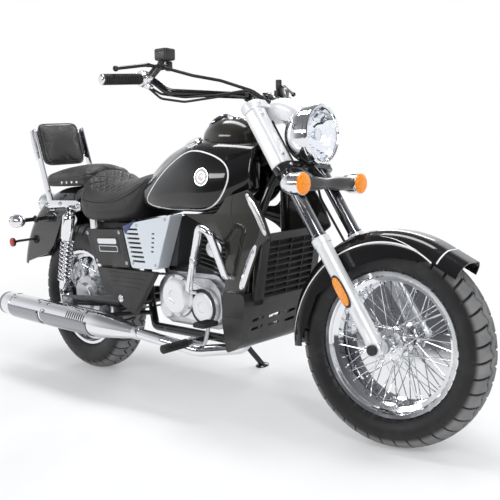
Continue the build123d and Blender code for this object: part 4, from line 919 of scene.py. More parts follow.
# ---- Air box and battery cover -------------------------------------------
# The moulded black box between the side covers that quietens the intake, clipped to the frame, and
# the bright pressed cover that is screwed over the battery behind it.
box_outline = smooth_outline([(322, 492), (222, 560), (222, 640), (560, 640), (742, 672), (700, 492)], 12, 4)
plastic = moulding("black_moulding", (0.020, 0.020, 0.021), (0.034, 0.034, 0.035))
piece(
    "air_box_shell", slab(box_outline, -107, 107), "frame", plastic, ["air_box"], bevel=3.0
)
battery = slab(smooth_outline([(214, 560), (262, 560), (262, 676), (214, 676)], 8, 4), -134, -110)
battery += slab(smooth_outline([(220, 572), (256, 572), (256, 662), (220, 662)], 5, 4), -137, -133)
piece("battery_box_chrome", battery, "frame", chrome, bevel=1.6)


# ---- Radiator and shroud -------------------------------------------------
# The coolant radiator: a black brazed core of thin fins and tubes behind raked moulded slats. Two
# lacquered plastic panels wrap it to the tank and a slotted belly cover hangs below; all are screwed
# to the downtubes. A polished strip is riveted along each lower leading edge, and the polished strip
# along each upper edge is a painted reflection of the panel's rounded front edge.
def spline(values, t, closed=False):
    """Catmull-Rom through a list of number tuples, t from 0 to 1; a closed one comes back to its start."""
    spans = len(values) if closed else len(values) - 1
    at = min(max(t, 0.0), 1.0) * spans
    k = min(int(at), spans - 1)
    u = at - k
    near = [(k + d) % spans if closed else min(max(k + d, 0), spans) for d in (-1, 0, 1, 2)]
    p = [values[n] for n in near]
    return tuple(
        0.5 * (2 * b + (c - a) * u + (2 * a - 5 * b + 4 * c - d) * u * u + (3 * b - a - 3 * c + d) * u ** 3)
        for a, b, c, d in zip(*p)
    )


def cut(target, cutter):
    """Cuts one object out of another, and deletes the cutter."""
    modifier = target.modifiers.new("cut", "BOOLEAN")
    modifier.operation, modifier.solver, modifier.object = "DIFFERENCE", "EXACT", cutter
    applied(target)
    bpy.data.objects.remove(cutter)
    return target


RAD_X, RAD_LOW, RAD_HIGH = 1078.0, 404.0, 610.0


def rad_x(z, ahead_by):
    """The x of a point ahead of the core's leaning back, at a height."""
    return RAD_X + ahead_by + 48.0 * (z - RAD_LOW) / (RAD_HIGH - RAD_LOW)


def raked(z_low, z_high, back, front, half, y=0.0):
    """A plate that leans with the radiator, between two depths ahead of it."""
    corners = ((z_low, back), (z_low, front), (z_high, front), (z_high, back))
    return slab([(rad_x(z, ahead_by), z) for z, ahead_by in corners], y - half, y + half)


def edge_strip(points, side, width, y_out):
    """A domed metal strip along a curve, drawn in at both ends."""
    rows = []
    for k in range(41):
        x, z = spline(points, k / 40)
        x2, z2 = spline(points, min(1.0, k / 40 + 0.01))
        x1, z1 = spline(points, max(0.0, k / 40 - 0.01))
        t = Vector((x2 - x1, 0, z2 - z1)).normalized()
        n = Vector((t.z, 0, -t.x))
        half = width / 2 * min(1.0, 0.3 + 4 * min(k / 40, 1 - k / 40))
        base = Vector((x, side * y_out, z))
        lift = Vector((0, side * 2.4, 0))
        edge = n * half
        rows.append([base + edge, base + edge * 0.8 + lift, base - edge * 0.8 + lift, base - edge])
    return skin(rows)


core = raked(RAD_LOW, RAD_HIGH, 0, 29.5, 121)
piece("radiator_tanks", core, "frame", core_black, ["radiator"], bevel=3.0)
RAKE_SLOPE = 48.0 / (RAD_HIGH - RAD_LOW)
fin_z = RAD_LOW + 14
rad_fins = stepped_copies(
    "radiator_fins", raked(fin_z, fin_z + 1.1, 29.0, 31.4, 104), 44, (4.15 * RAKE_SLOPE, 0, 4.15),
    core_black
)
keep(rad_fins, "frame", core_black)
tube_bar = raked(RAD_LOW + 12, RAD_HIGH - 10, 29, 31.8, 1.0, -102)
rad_tubes = stepped_copies("radiator_tubes", tube_bar, 19, (0, 204 / 18, 0), core_black)
keep(rad_tubes, "frame", core_black)
slat_z = RAD_LOW + 15
slat = slab([
    (rad_x(slat_z, 33), slat_z), (rad_x(slat_z, 41), slat_z - 4.5), (rad_x(slat_z + 3, 41), slat_z - 1.8),
    (rad_x(slat_z + 6, 33), slat_z + 5.5),
], -118, 118)
slats = stepped_copies("radiator_slats", slat, 9, (20.4 * RAKE_SLOPE, 0, 20.4), plastic)
keep(slats, "frame", plastic)
slat_stay = raked(RAD_LOW + 8, RAD_HIGH - 6, 33, 38, 1.6, -60)
slat_stays = stepped_copies("radiator_slat_stays", slat_stay, 3, (0, 60, 0), plastic)
keep(slat_stays, "frame", plastic)
PANEL = [
    (800, 684), (966, 686), (1022, 742), (1122, 764), (1176, 687), (1204, 620), (1156, 590), (1076, 440),
    (984, 436), (1004, 590), (950, 626),
]
panel_shape, seam_parts = Shape(), Shape()
for side in (-1, 1):
    outline = smooth_outline(PANEL, [6, 14, 16, 12, 14, 12, 10, 12, 10, 20, 16], 5)
    rings = []
    for y, inset in ((140, 0), (146, 0), (147.6, 1.4), (148.0, 3.0)):
        ring = []
        for k, (x, z) in enumerate(outline):
            along = Vector(outline[(k + 1) % len(outline)]) - Vector(outline[k - 1])
            inward = Vector((along.y, -along.x)).normalized() * inset
            ring.append(Vector((x + inward.x, side * y, z + inward.y)))
        rings.append(ring)
    panel_shape += skin(rings)
    arc = [(1052, 748), (1040, 700), (1046, 640), (1070, 590), (1090, 520)]
    line = [spline(arc, k / 40) for k in range(41)]
    route = [Vector((x, side * 148.0, z)) for x, z in line]
    seam_parts += tube(route, 1.4, 8)
surround = raked(RAD_LOW - 6, RAD_LOW + 12, 30, 42, 140) + raked(RAD_HIGH - 10, RAD_HIGH + 14, 30, 42, 140)
for side in (-1, 1):
    surround += raked(RAD_LOW - 6, RAD_HIGH + 14, 30, 42, 16, side * 124)
olive_black = lacquer("shroud_lacquer", (0.022, 0.021, 0.017), 0.34, 0.04)
piece("shroud_panels", panel_shape, "frame", olive_black, ["radiator_shroud"], angle=30)
piece("shroud_surround", surround, "frame", satin_black, bevel=3.0, segments=3)
piece("shroud_seams", seam_parts, "frame", satin_black)
strips_and_highlights = Shape()
for side in (-1, 1):
    # The upper strip is a painted reflection: a bright polished band where the panel's rounded front edge
    # mirrors the light.
    strips_and_highlights += edge_strip([(1112, 750), (1148, 698), (1169, 660), (1186, 624)], side, 27, 146.4)
    strips_and_highlights += edge_strip([(1141, 592), (1107, 534), (1077, 476), (1060, 448)], side, 27, 146.4)
polished = metal("polished_alloy", (0.83, 0.84, 0.86), 0.16, 0.07, grain=0.05)
piece("shroud_chrome_strips", strips_and_highlights, "frame", polished, angle=50)
BELLY = [(975, 430), (1070, 430), (1076, 396), (1040, 252), (975, 226), (962, 330)]
belly_shape = slab(smooth_outline(BELLY, [6, 12, 20, 26, 14, 10], 5), -147.5, 147.5)
belly_inner = slab([(940, 440), (1064, 440), (1068, 396), (1034, 258), (975, 234), (940, 234)], -143, 143)
belly = mesh_object("belly_cover", belly_shape, BIKE)
cut(belly, mesh_object("belly_cutter", belly_inner, BIKE))
for row in range(2):
    z = 330 - 30 * row
    run = smooth_outline([(-104, z), (-52, z + 5), (-52, z + 15), (-104, z + 10)], 4.5, 4)
    slot = skin([[Vector((x, a, b)) for a, b in run] for x in (1030, 1090)])
    cut(belly, stepped_copies("slot_cutters", slot, 3, (0, 78, 0)))
shade(belly, 34)
keep(belly, "frame", satin_black)
belly_seams = Shape()
for side in (-1, 1):
    route = [Vector((967, side * 147.4, 350)), Vector((1056, side * 147.4, 350))]
    belly_seams += tube(route, 1.6, 8)
piece("belly_seams", belly_seams, "frame", plastic)


# ---- Fork ----------------------------------------------------------------
# The telescopic front fork: chromed steel tubes that slide in cast aluminium legs lacquered silver,
# each leg with a pinch lug for the axle. Broad pressed covers are screwed over the upper tubes.
LEG_Y = 100.0
SLIDER_TOP = 362.0
UPPER_YOKE = 826.0
COLLARS = [              # distance along the leg, radius
    (-24.0, 8.0), (-22.0, 17.0), (-14.0, 22.5), (0.0, 24.5), (30.0, 25.0), (36.0, 23.0), (120.0, 23.2),
    (126.0, 24.6), (132.0, 23.4), (322.0, 24.0), (328.0, 25.0), (338.0, 25.0), (340.0, 27.6), (360.0, 27.8),
    (361.8, 25.5), (362.0, 21.0),
]


def fork_legs():
    """Both sliders, both tubes with their caps, and the pinch bolts of the axle."""
    sliders, tubes, seals = Shape(), Shape(), Shape()
    for side in (-1, 1):
        foot = leg_point(0, side * LEG_Y)
        sliders += lathe(COLLARS, foot, UP_LEG, 56)
        sliders += rod(leg_point(0, side * LEG_Y - 24.5), leg_point(0, side * LEG_Y + 24.5), 22.5, 40, 2.5)
        rib = [leg_point(s, side * (LEG_Y + y), 21) for s, y in ((20, -6), (20, 6), (150, 4), (150, -4))]
        rib_top = [
            leg_point(s, side * (LEG_Y + y), 27) for s, y in ((32, -2), (32, 2), (132, 1.5), (132, -1.5))
        ]
        sliders += skin([rib, rib_top])
        bolt = leg_point(6, side * (LEG_Y + 12), 20)
        seals += rod(bolt, bolt + AHEAD * 7, 4.6, 6, 0.6)
        tubes += rod(
            leg_point(SLIDER_TOP - 8, side * LEG_Y), leg_point(UPPER_YOKE + 17, side * LEG_Y), 20.5, 56
        )
        tubes += lathe(
            [(0, 20.6), (1, 24), (7, 24.6), (9, 21)], leg_point(SLIDER_TOP, side * LEG_Y), UP_LEG, 48
        )
        cap_foot = leg_point(UPPER_YOKE + 14, side * LEG_Y)
        tubes += lathe(
            [(0, 17), (1, 20), (4, 20.4), (6.5, 17), (6.5, 9), (2.5, 8.5), (2.5, 0)], cap_foot, UP_LEG, 40
        )
    return sliders, tubes, seals


def leg_cover(side):
    """A broad cover wrapped round the leg: flat ahead and outside, with soft corners."""
    rings = []
    for k in range(25):
        s = 614.5 + (811.5 - 614.5) * k / 24
        pinch = 1.0 - 0.04 * math.sin(math.pi * k / 24)
        ring = []
        for j in range(56):
            turn = 2 * math.pi * j / 56
            c, n = math.cos(turn), math.sin(turn)
            flat = 0.36
            y = 29.8 * math.copysign(abs(c) ** (1 - flat), c) * pinch
            f = 29.8 * math.copysign(abs(n) ** (1 - flat), n)
            over = max(1.0, math.hypot(y, f) / 36.0)
            ring.append(leg_point(s, side * LEG_Y + y / over, f / over))
        rings.append(ring)
    return skin(rings)


LOWER_YOKE = 600.0
sliders, tubes, clamp_bolts = fork_legs()
piece("fork_slider_castings", sliders, "steering", silver, ["fork_sliders"], angle=34)
piece("fork_tube_chrome", tubes, "steering", dark_chrome, ["fork_tubes"], angle=30)
piece("fork_clamp_bolts", clamp_bolts, "steering", bolt_steel)
covers = leg_cover(-1) + leg_cover(1)
piece("fork_covers", covers, "steering", silver, bevel=1.6, angle=40)
screws = Shape()
for side in (-1, 1):
    for s in (640, 786):
        at = leg_point(s, side * (LEG_Y + 12), 27.5)
        screws += lathe([(0, 7.0), (3.0, 7.0), (4.6, 5.2), (4.6, 3.0), (2.6, 2.8), (2.6, 0)], at, AHEAD, 24)
piece("fork_cover_screws", screws, "steering", bolt_steel)


# ---- Yokes and axle ------------------------------------------------------
# Two cast yokes clamp the fork tubes and turn on the stem; the upper one is silver and carries the
# handlebar clamps, the lower one is black and carries the arms of lamp and signals. The axle is a
# turned steel bolt through both legs, locked by a nut and a cap.
def turn_of(a, b, c):
    """Above zero where a, b, c turn to the left."""
    return (b[0] - a[0]) * (c[1] - a[1]) - (b[1] - a[1]) * (c[0] - a[0])


def yoke(s, leg_r, stem_r):
    """A plate drawn tight round both legs and the stem, at a height on the leg."""
    eyes = [(-LEG_Y, 0.0, leg_r), (LEG_Y, 0.0, leg_r), (0.0, -45.0, stem_r)]
    turns = [2 * math.pi * k / 72 for k in range(72)]
    ring = sorted((y + r * math.cos(t), f + r * math.sin(t)) for y, f, r in eyes for t in turns)
    low_side, top_side = [], []
    for p in ring:
        while len(low_side) > 1 and turn_of(low_side[-2], low_side[-1], p) <= 0:
            low_side.pop()
        low_side.append(p)
    for p in reversed(ring):
        while len(top_side) > 1 and turn_of(top_side[-2], top_side[-1], p) <= 0:
            top_side.pop()
        top_side.append(p)
    outline = low_side[:-1] + top_side[:-1]
    return skin([[leg_point(s + d, y, f) for y, f in outline] for d in (-13.8, 13.8)])


BAR_AT = Vector((1043, 0, 1050))
LAMP = Vector((1284, 0, 918.5))
SIGNAL_BAR = Vector((1301, 0, 769))
arms = rod(leg_point(LOWER_YOKE, 0, 25), SIGNAL_BAR, 12.5, 28)
arms += rod(leg_point(LOWER_YOKE, 0, 22), (1242, 0, 835.5), 10.5, 28)
arms += rod(leg_point(LOWER_YOKE, 0, -45), leg_point(UPPER_YOKE, 0, -45), 14, 32)
arms += lathe([(0, 19), (10, 19), (12, 16), (12, 0)], leg_point(UPPER_YOKE + 14, 0, -45), UP_LEG, 6)
for side in (-1, 1):
    foot = leg_point(UPPER_YOKE + 10, side * 44, -24)
    top = BAR_AT + Vector((0, side * 44, 0))
    arms += lathe([(0, 17), (4, 15), ((top - foot).length, 14.5)], foot, top - foot, 32)
    arms += rod(top - Vector((0, 14, 0)), top + Vector((0, 14, 0)), 18.6, 36, 1.5)
piece(
    "lower_yoke_casting", yoke(LOWER_YOKE, 34, 26), "steering", frame_black, ["yokes"],
    bevel=3.0, segments=3
)
piece(
    "upper_yoke_casting", yoke(UPPER_YOKE, 34, 28), "steering", silver, bevel=3.0,
    segments=3
)
piece("bar_clamps_and_arms", arms, "steering", frame_black, bevel=0.8)
clamp_screws = Shape()
for side in (-1, 1):
    for y in (-8, 8):
        for x in (-9, 9):
            at = BAR_AT + Vector((x, side * 44 + y, 13))
            clamp_screws += lathe([(0, 3.6), (6, 3.6), (6, 2.0), (3, 1.9), (3, 0)], at, (0, 0, 1), 14)
    for s in (LOWER_YOKE, UPPER_YOKE):
        at = leg_point(s, side * (LEG_Y + 4), 32)
        clamp_screws += rod(at, at + AHEAD * 5, 5.5, 12, 0.8)
piece("yoke_screws", clamp_screws, "steering", bolt_steel)
AXLE_HALF = 128
axle_reach = Vector((0, AXLE_HALF, 0))
axle_shape = rod(FRONT_AXLE - axle_reach, FRONT_AXLE + axle_reach, 8.5, 28)
for side in (-1, 1):
    head = FRONT_AXLE + axle_reach * side - Vector((0, 3 * side, 0))
    axle_shape += lathe(
        [(0, 13), (6, 13), (9, 11), (9.8, 6), (6, 5.4), (6, 0)], head, (0, side, 0), 6 if side > 0 else 28
    )
piece("front_axle_bolt", axle_shape, "steering", bolt_steel, ["front_axle"])
cap_at = FRONT_AXLE - Vector((0, AXLE_HALF - 3, 0))
axle_cap = lathe([(0, 15.5), (8, 15.5), (10.5, 13.5), (11, 0.3)], cap_at, (0, -1, 0), 36)
piece("front_axle_cap", axle_cap, "steering", plastic, angle=40)


# ---- Tyres ---------------------------------------------------------------
# Moulded tyres of black rubber, seated on the rims by air pressure. Their crowns are cut by leaning
# cross grooves and a zigzag groove on either side of the middle, and their walls carry fine rings.
def polar(centre, angle, radius, y=0.0):
    """A point in the wheel's plane, at an angle in degrees from straight ahead."""
    turn = math.radians(angle)
    return Vector((centre.x + radius * math.cos(turn), y, centre.z + radius * math.sin(turn)))


LUG_SWEEP = 0.5         # how far a cross groove leans, in pitches from crown to shoulder
ZIG_AT = 0.12           # the zigzag groove's inner corner, as a share of the half-width
ZIG_REACH = 0.30        # how much further out its outer corner is


def tyre_material(name, centre, matrix, tyre_r, half, pitches):
    """Tyre rubber: ringed walls, a crown painted pale for dust and a painted highlight, grooves painted dark
    as shade.
    """
    paint = Paint(name, specular_ior_level=0.4)
    turned = matrix.to_3x3()
    axes = [(turned @ Vector(axis)).normalized() for axis in ((1, 0, 0), (0, 0, 1), (0, 1, 0))]
    u, v, y = (paint.along(matrix @ centre, axis) for axis in axes)
    radius = (u * u + v * v) ** 0.5
    wall = radius.ramp((tyre_r - 34) * MM, (tyre_r - 18) * MM, 1.0, 0.0)
    across = y.size() / (half * MM)
    at = v.angle(u) * (pitches / (2 * math.pi)) + (y < 0.0) * 0.5
    lug = ((at + across * LUG_SWEEP).fraction() - 0.5).size()
    bar = lug.ramp(0.06, 0.10, 1.0, 0.0) * across.ramp(0.28, 0.33) * across.ramp(0.92, 0.97, 1.0, 0.0)
    zig = (at.fraction() - 0.5).size() * 2
    ring = (across - zig * ZIG_REACH - ZIG_AT).size().ramp(0.035, 0.055, 1.0, 0.0)
    groove = bar.most(ring)
    dust = paint.noise(17.0, 5.0).ramp(0.42, 0.8)
    wall_black = paint.blend(dust, (0.009, 0.009, 0.010), (0.022, 0.022, 0.022))
    # The crown is painted far paler than the black walls: dust patches, and a painted highlight where the
    # light falls on it.
    crown_dust_and_highlight = paint.blend(dust, (0.17, 0.17, 0.171), (0.24, 0.239, 0.237))
    # The grooves are painted near black: painted shade in the cut tread.
    tread = paint.blend(groove, crown_dust_and_highlight, (0.006, 0.006, 0.006))
    paint.set(base_color=paint.blend(wall, tread, wall_black))
    paint.set(roughness=wall.ramp(0.0, 1.0, 0.62, 0.44))
    height = (radius * 1500.0).sine() * wall * 0.6 + paint.noise(1700.0, 3.0) * 0.5
    return paint.bump(height, 0.22, 0.0006).material


def tyre_outline(tyre_r, half, seat_r, rim_half):
    """(y, radius) points from one bead to the other."""
    lip = seat_r + 11.0
    rise = tyre_r - lip
    knots = [                 # y, radius
        (rim_half - 6.0, lip + 1.0),
        (rim_half + 3.0, lip + 0.05 * rise),
        (half - 3.5, lip + 0.26 * rise),
        (half - 0.4, lip + 0.44 * rise),
        (half - 2.5, lip + 0.62 * rise),
        (0.84 * half, lip + 0.80 * rise),
        (0.60 * half, lip + 0.93 * rise),
        (0.30 * half, tyre_r - 0.8),
        (0.0, tyre_r),
    ]
    side = [spline(knots, k / 16) for k in range(8)] + [spline(knots, 0.5 + k / 36) for k in range(19)]
    return side[:-1] + [(-y, r) for y, r in reversed(side)]


def clamped(value):
    """A value held between 0 and 1."""
    return max(0.0, min(1.0, value))


def groove_share(angle, y, half, pitches):
    """How deep the tread is cut here, from 0 to 1."""
    across = abs(y) / half
    at = angle / 360.0 * pitches + (0.5 if y < 0 else 0.0)
    lug = abs((at + across * LUG_SWEEP) % 1.0 - 0.5)
    bar = clamped((0.10 - lug) / 0.04) * clamped((across - 0.28) / 0.05) * clamped((0.97 - across) / 0.05)
    zig = abs(at % 1.0 - 0.5) * 2
    ring = clamped((0.06 - abs(across - zig * ZIG_REACH - ZIG_AT)) / 0.02)
    return max(bar, ring)


TREAD_DEPTH = 5.0
TYRE_STEPS = 840


def tyre_shape(centre, tyre_r, half, seat_r, rim_half, pitches):
    """The outline turned round the axle in fine steps, pressed in where the tread is cut."""
    outline = tyre_outline(tyre_r, half, seat_r, rim_half)
    rings = []
    for k in range(TYRE_STEPS):
        angle = 360.0 * k / TYRE_STEPS
        ring = []
        for y, r in outline:
            depth = TREAD_DEPTH * groove_share(angle, y, half, pitches)
            ring.append(polar(centre, angle, r - depth, y - math.copysign(0.5 * depth * abs(y) / half, y)))
        rings.append(ring)
    return skin(rings, closed=False, loop=True)


FRONT_TYRE = (302.0, 55.0, 204.0, 39.0)      # radius and half-width, then those of its rim
REAR_TYRE = (307.0, 66.0, 191.0, 49.0)
front_rubber = tyre_material("front_tyre_rubber", FRONT_AXLE, FORK, *FRONT_TYRE[:2], 40)
rear_rubber = tyre_material("rear_tyre_rubber", REAR_AXLE, BIKE, *REAR_TYRE[:2], 38)
piece("front_tyre_tread", tyre_shape(FRONT_AXLE, *FRONT_TYRE, 40), "front_wheel", front_rubber,
      ["front_tyre"], angle=30)
piece("rear_tyre_tread", tyre_shape(REAR_AXLE, *REAR_TYRE, 38), "rear_wheel", rear_rubber,
      ["rear_tyre"], angle=30)


# ---- Rims, spokes and hubs -----------------------------------------------
# Chromed drop-centre rims, rolled from steel strip, are laced to turned aluminium hubs by forty wire
# spokes a wheel, each drawn tight by a nipple. The rear hub is a brake drum with the chain's
# toothed sprocket bolted to its left side.
def rim_shape(centre, seat_r, half):
    """A drop-centre rim with a rolled lip, as one closed section turned round the axle."""
    lip, wall, well = seat_r + 11.0, 4.6, seat_r - 16.0
    outer = [                 # y, radius, on the tyre's side
        (half - 1.2, lip),
        (half - 4.2, lip - 0.6),
        (half - 5.0, seat_r + 1.0),
        (0.62 * half, seat_r),
        (0.50 * half, seat_r - 2.0),
        (0.36 * half, well),
    ]
    inner = [                 # y, radius, on the hub's side
        (half, lip - 2.0),
        (half - 0.6, seat_r - 2.0),
        (half - 4.0, seat_r - wall),
        (0.60 * half, seat_r - wall),
        (0.50 * half, seat_r - wall - 3.0),
        (0.36 * half, well - wall),
    ]
    section = outer + [(-y, r) for y, r in reversed(outer)]
    section += [(-y, r) for y, r in inner] + list(reversed(inner))
    return lathe([(y, r) for y, r in section] + [section[0]], centre, (0, 1, 0), 144)


SPOKES = 40
SPOKE_R = 1.35


def spoke_group(hub_r, flange, seat_r):
    """Four spokes, one of each kind, in a frame whose Z is the axle; copies go round it."""
    group = Shape()
    for k in range(4):
        side = 1 if k % 2 else -1
        lead = 1 if (k // 2) % 2 else -1
        hub_angle = 360.0 * k / SPOKES
        rim_angle = hub_angle + lead * 38.0
        out = side * (flange + (5.5 if lead > 0 else -4.5))
        root_r, tip_r = hub_r + 7.0, seat_r - 21.5
        a, b = math.radians(hub_angle), math.radians(rim_angle)
        root = Vector((root_r * math.cos(a), root_r * math.sin(a), out))
        tip = Vector((tip_r * math.cos(b), tip_r * math.sin(b), side * 5))
        run = (tip - root).normalized()
        group += tube([root, tip], SPOKE_R, 8)
        group += lathe([(0, 1.7), (2, 2.3), (11, 2.3), (13, 1.7)], tip - run * 12, run, 8)
        group += rod(root - Vector((0, 0, side * 3)), root + Vector((0, 0, side * 3)), 3.4, 8, 0.6)
    return group


def lace(name, centre, hub_r, flange, seat_r, body, matrix, material):
    """Ten copies of the spoke group round an axle, by the ring tree."""
    axle = matrix @ about(centre, (0, -1, 0), (1, 0, 0))
    wires = turned_copies(name, spoke_group(hub_r, flange, seat_r), SPOKES // 4, axle, material)
    return keep(wires, body, material)


def hub_shape(centre, hub_r, end, flange, step_r):
    """A hub barrel, waisted, with two flanges and stepped ends."""
    half = [                  # y, radius
        (end, step_r - 5),
        (end - 2, step_r - 2),
        (flange + 9, step_r + 2),
        (flange + 5, hub_r * 0.9),
        (flange + 3.4, hub_r + 12),
        (flange - 2.4, hub_r + 12),
        (flange - 5, hub_r + 2),
        (flange - 12, hub_r - 3),
        (0.2 * flange, hub_r - 5),
    ]
    profile = [(-y, r) for y, r in half] + list(reversed(half))
    return lathe(profile, centre, (0, 1, 0), 64)


front_rim, rear_rim = rim_shape(FRONT_AXLE, *FRONT_TYRE[2:]), rim_shape(REAR_AXLE, *REAR_TYRE[2:])
piece("front_rim_chrome", front_rim, "front_wheel", chrome, ["front_rim"], angle=28)
piece("rear_rim_chrome", rear_rim, "rear_wheel", chrome, ["rear_rim"], angle=28)
FRONT_HUB_R, FRONT_FLANGE, REAR_HUB_R, REAR_FLANGE = 34.0, 30.0, 78.0, 32.0
lace("front_spokes", FRONT_AXLE, FRONT_HUB_R, FRONT_FLANGE, FRONT_TYRE[2], "front_wheel", FORK, chrome)
lace("rear_spokes", REAR_AXLE, REAR_HUB_R, REAR_FLANGE, REAR_TYRE[2], "rear_wheel", BIKE, chrome)
front_hub = hub_shape(FRONT_AXLE, FRONT_HUB_R, 63.0, FRONT_FLANGE, 27.0)
piece("front_hub_turned", front_hub, "front_wheel", polished, ["front_hub"], angle=32)
rear_hub = hub_shape(REAR_AXLE, REAR_HUB_R, 61.0, REAR_FLANGE, 60.0)
SPROCKET_TEETH = 36
teeth = []
for k in range(SPROCKET_TEETH * 4):
    radius = 84.0 if k % 4 in (0, 1) else 77.0
    teeth.append(polar(REAR_AXLE, 90.0 * k / SPROCKET_TEETH, radius))
rear_hub += skin([[Vector((p.x, y, p.z)) for p in teeth] for y in (84.0, 90.0)])
rear_hub += lathe([(60, 38), (84, 38)], REAR_AXLE, (0, 1, 0), 40)
piece("rear_hub_drum", rear_hub, "rear_wheel", alloy, ["rear_hub"], angle=32)


# ---- Front brake ---------------------------------------------------------
# The brake disc, ground from stainless steel plate on the left of the front hub. It has five round
# windows, rows of drilled holes, and bright buttons that fasten it to its carrier.
def disc_steel():
    """Ground steel: fine rings round the axle, with a darker swept band."""
    paint = Paint("disc_steel", metallic=0.6, base_color=(0.60, 0.61, 0.62))
    hub = FORK @ FRONT_AXLE
    side = (FORK.to_3x3() @ Vector((1, 0, 0))).normalized()
    rise = (FORK.to_3x3() @ Vector((0, 0, 1))).normalized()
    u, v = paint.along(hub, side), paint.along(hub, rise)
    radius = (u * u + v * v) ** 0.5
    rings = (radius * 4200.0).sine()
    swept = (radius - 0.118).size().ramp(0.014, 0.022)
    paint.set(base_color=paint.blend(swept, (0.50, 0.51, 0.52), (0.70, 0.71, 0.72)))
    paint.set(roughness=swept.ramp(0.0, 1.0, 0.30, 0.38))
    return paint.bump(rings, 0.12, 0.0003).material


DISC_Y = 66.0
DISC_R = 140.0
WINDOW_R = 17.5
HOLE_R = 3.2
HOLE_CIRCLES = (100.0, 110.5, 121.0, 131.5)     # every fourth hole lies on the same circle
front_wheel_face = FORK @ about(FRONT_AXLE + Vector((0, DISC_Y, 0)), (0, 1, 0), (1, 0, 0))
ring = lathe(
    [(-2.25, 34), (-2.25, DISC_R), (2.25, DISC_R), (2.25, 34), (-2.25, 34)], (0, 0, 0), (0, 0, 1), 120
)
disc = mesh_object("front_disc_drilled", ring, front_wheel_face)
window = rod((63.2, 0, -6), (63.2, 0, 6), WINDOW_R, 28)
cut(disc, turned_copies("window_cutters", window, 5, front_wheel_face))
holes = Shape()
for k, radius in enumerate(HOLE_CIRCLES):
    at = polar(Vector(), 3.75 * k, radius)
    holes += rod((at.x, at.z, -6), (at.x, at.z, 6), HOLE_R, 10)
cut(disc, turned_copies("hole_cutters", holes, 24, front_wheel_face))
shade(disc, 30)
ground_disc = disc_steel()
keep(disc, "front_wheel", ground_disc, ["brake_disc"])
button = rod((90, 0, -4), (90, 0, 4), 5.0, 16, 0.8)
buttons = turned_copies("front_disc_buttons", button, 8, front_wheel_face, bolt_steel)
keep(buttons, "front_wheel", bolt_steel)


# ---- Front caliper -------------------------------------------------------
# The brake caliper: a ribbed aluminium casting painted satin black that straddles the disc. It is
# bolted to the left fork leg and slides on two steel pins.
def caliper():
    """The casting with its bridge and ribs, and its pins and bolts."""
    body, pins = Shape(), Shape()
    halves = ((163, 88), (133, 88), (131, 120), (133, 159), (148, 160), (163, 159), (165, 120))
    bridge = ((161, 147), (135, 147), (135, 159), (148, 160), (161, 159))
    for corners, corner, steps, y_low, y_high in (
        (halves, 12, 4, 76, 96), (bridge, 5, 3, 44, 80), (halves, 12, 4, 44, 56)
    ):
        outline = smooth_outline([polar(FRONT_AXLE, *spot).xz for spot in corners], corner, steps)
        body += slab(outline, y_low, y_high)
    for k in range(4):
        corners = ((0, 104), (1.4, 104), (1.4, 146), (0, 146))
        rib = [polar(FRONT_AXLE, 138.3 + 6 * k + d, r, 96) for d, r in corners]
        top = [p + Vector((0, 3.2, 0)) for p in rib]
        body += skin([rib, top])
    for angle in (137, 159):
        at = polar(FRONT_AXLE, angle, 152, 58)
        pins += rod(at, at + Vector((0, 40, 0)), 5.0, 16, 0.8)
    for angle in (143, 153):
        at = polar(FRONT_AXLE, angle, 116, 95)
        pins += lathe([(0, 6), (3, 6), (4.4, 4.6), (4.4, 2.4), (2, 2.2), (2, 0)], at, (0, 1, 0), 20)
    return body, pins


caliper_body, caliper_pins = caliper()
piece("caliper_casting", caliper_body, "steering", satin_black, ["brake_caliper"], bevel=1.6)
piece("caliper_pins", caliper_pins, "steering", bolt_steel)


# ---- Front fender --------------------------------------------------------
# The front mudguard, deep-drawn from one steel sheet with a rolled edge, sprayed gloss black and
# screwed to stays on the fork legs. A fine pale line is painted along each side and across the tip.
def skirt_radius(table, angle):
    """The lower edge's radius at an angle, along the straight lines of the table."""
    for (a0, r0), (a1, r1) in zip(table, table[1:]):
        if a0 <= angle <= a1:
            p0 = Vector((r0 * math.cos(math.radians(a0)), r0 * math.sin(math.radians(a0))))
            p1 = Vector((r1 * math.cos(math.radians(a1)), r1 * math.sin(math.radians(a1))))
            d = Vector((math.cos(math.radians(angle)), math.sin(math.radians(angle))))
            e = p1 - p0
            return (p0.x * e.y - p0.y * e.x) / (d.x * e.y - d.y * e.x)
    return table[0][1] if angle < table[0][0] else table[-1][1]


def fender_section(radius, half, corner, low):
    """(y, radius) points across a fender: side, round corner, crown, round corner, side."""
    points = [(-half, low + (radius - corner - low) * k / 8) for k in range(8)]
    points += [
        (-half + corner - corner * math.cos(t), radius - corner + corner * math.sin(t))
        for t in [math.radians(90 * k / 10) for k in range(11)]
    ]
    return points + [(-y, r) for y, r in reversed(points)]


def fender_shell(centre, radius, half, corner, angles, thick=3.6):
    """A fender of one thickness whose sides end on a skirt line, its two skins joined by flat edge faces."""
    rows_out, rows_in = [], []
    for angle, run, low in angles:
        for rows, inset in ((rows_out, 0.0), (rows_in, thick)):
            row = []
            for y, r in fender_section(
                radius - inset, half - inset, corner - inset, min(low, radius - corner - 2)
            ):
                at = polar(centre, angle, r, y)
                tip = Vector((math.sin(math.radians(angle)), 0, -math.cos(math.radians(angle)))) * run
                row.append(at + tip)
            rows.append(row)
    outer = skin(rows_out, closed=False)
    inner = skin(rows_in, closed=False)
    count, rows = len(rows_out[0]), len(rows_out)
    offset = rows * count
    shape = outer + inner
    faces = list(shape.faces)
    for k in range(rows - 1):
        for c in (0, count - 1):
            a, b = k * count + c, (k + 1) * count + c
            faces.append((a, b, offset + b, offset + a))
    for c in range(count - 1):
        for k in (0, rows - 1):
            a, b = k * count + c, k * count + c + 1
            faces.append((a, b, offset + b, offset + a))
    return Shape(shape.points, faces)


def tree_of(shape):
    """A shape that rays can be cast onto."""
    return BVHTree.FromPolygons([p.copy() for p in shape.points], shape.faces)


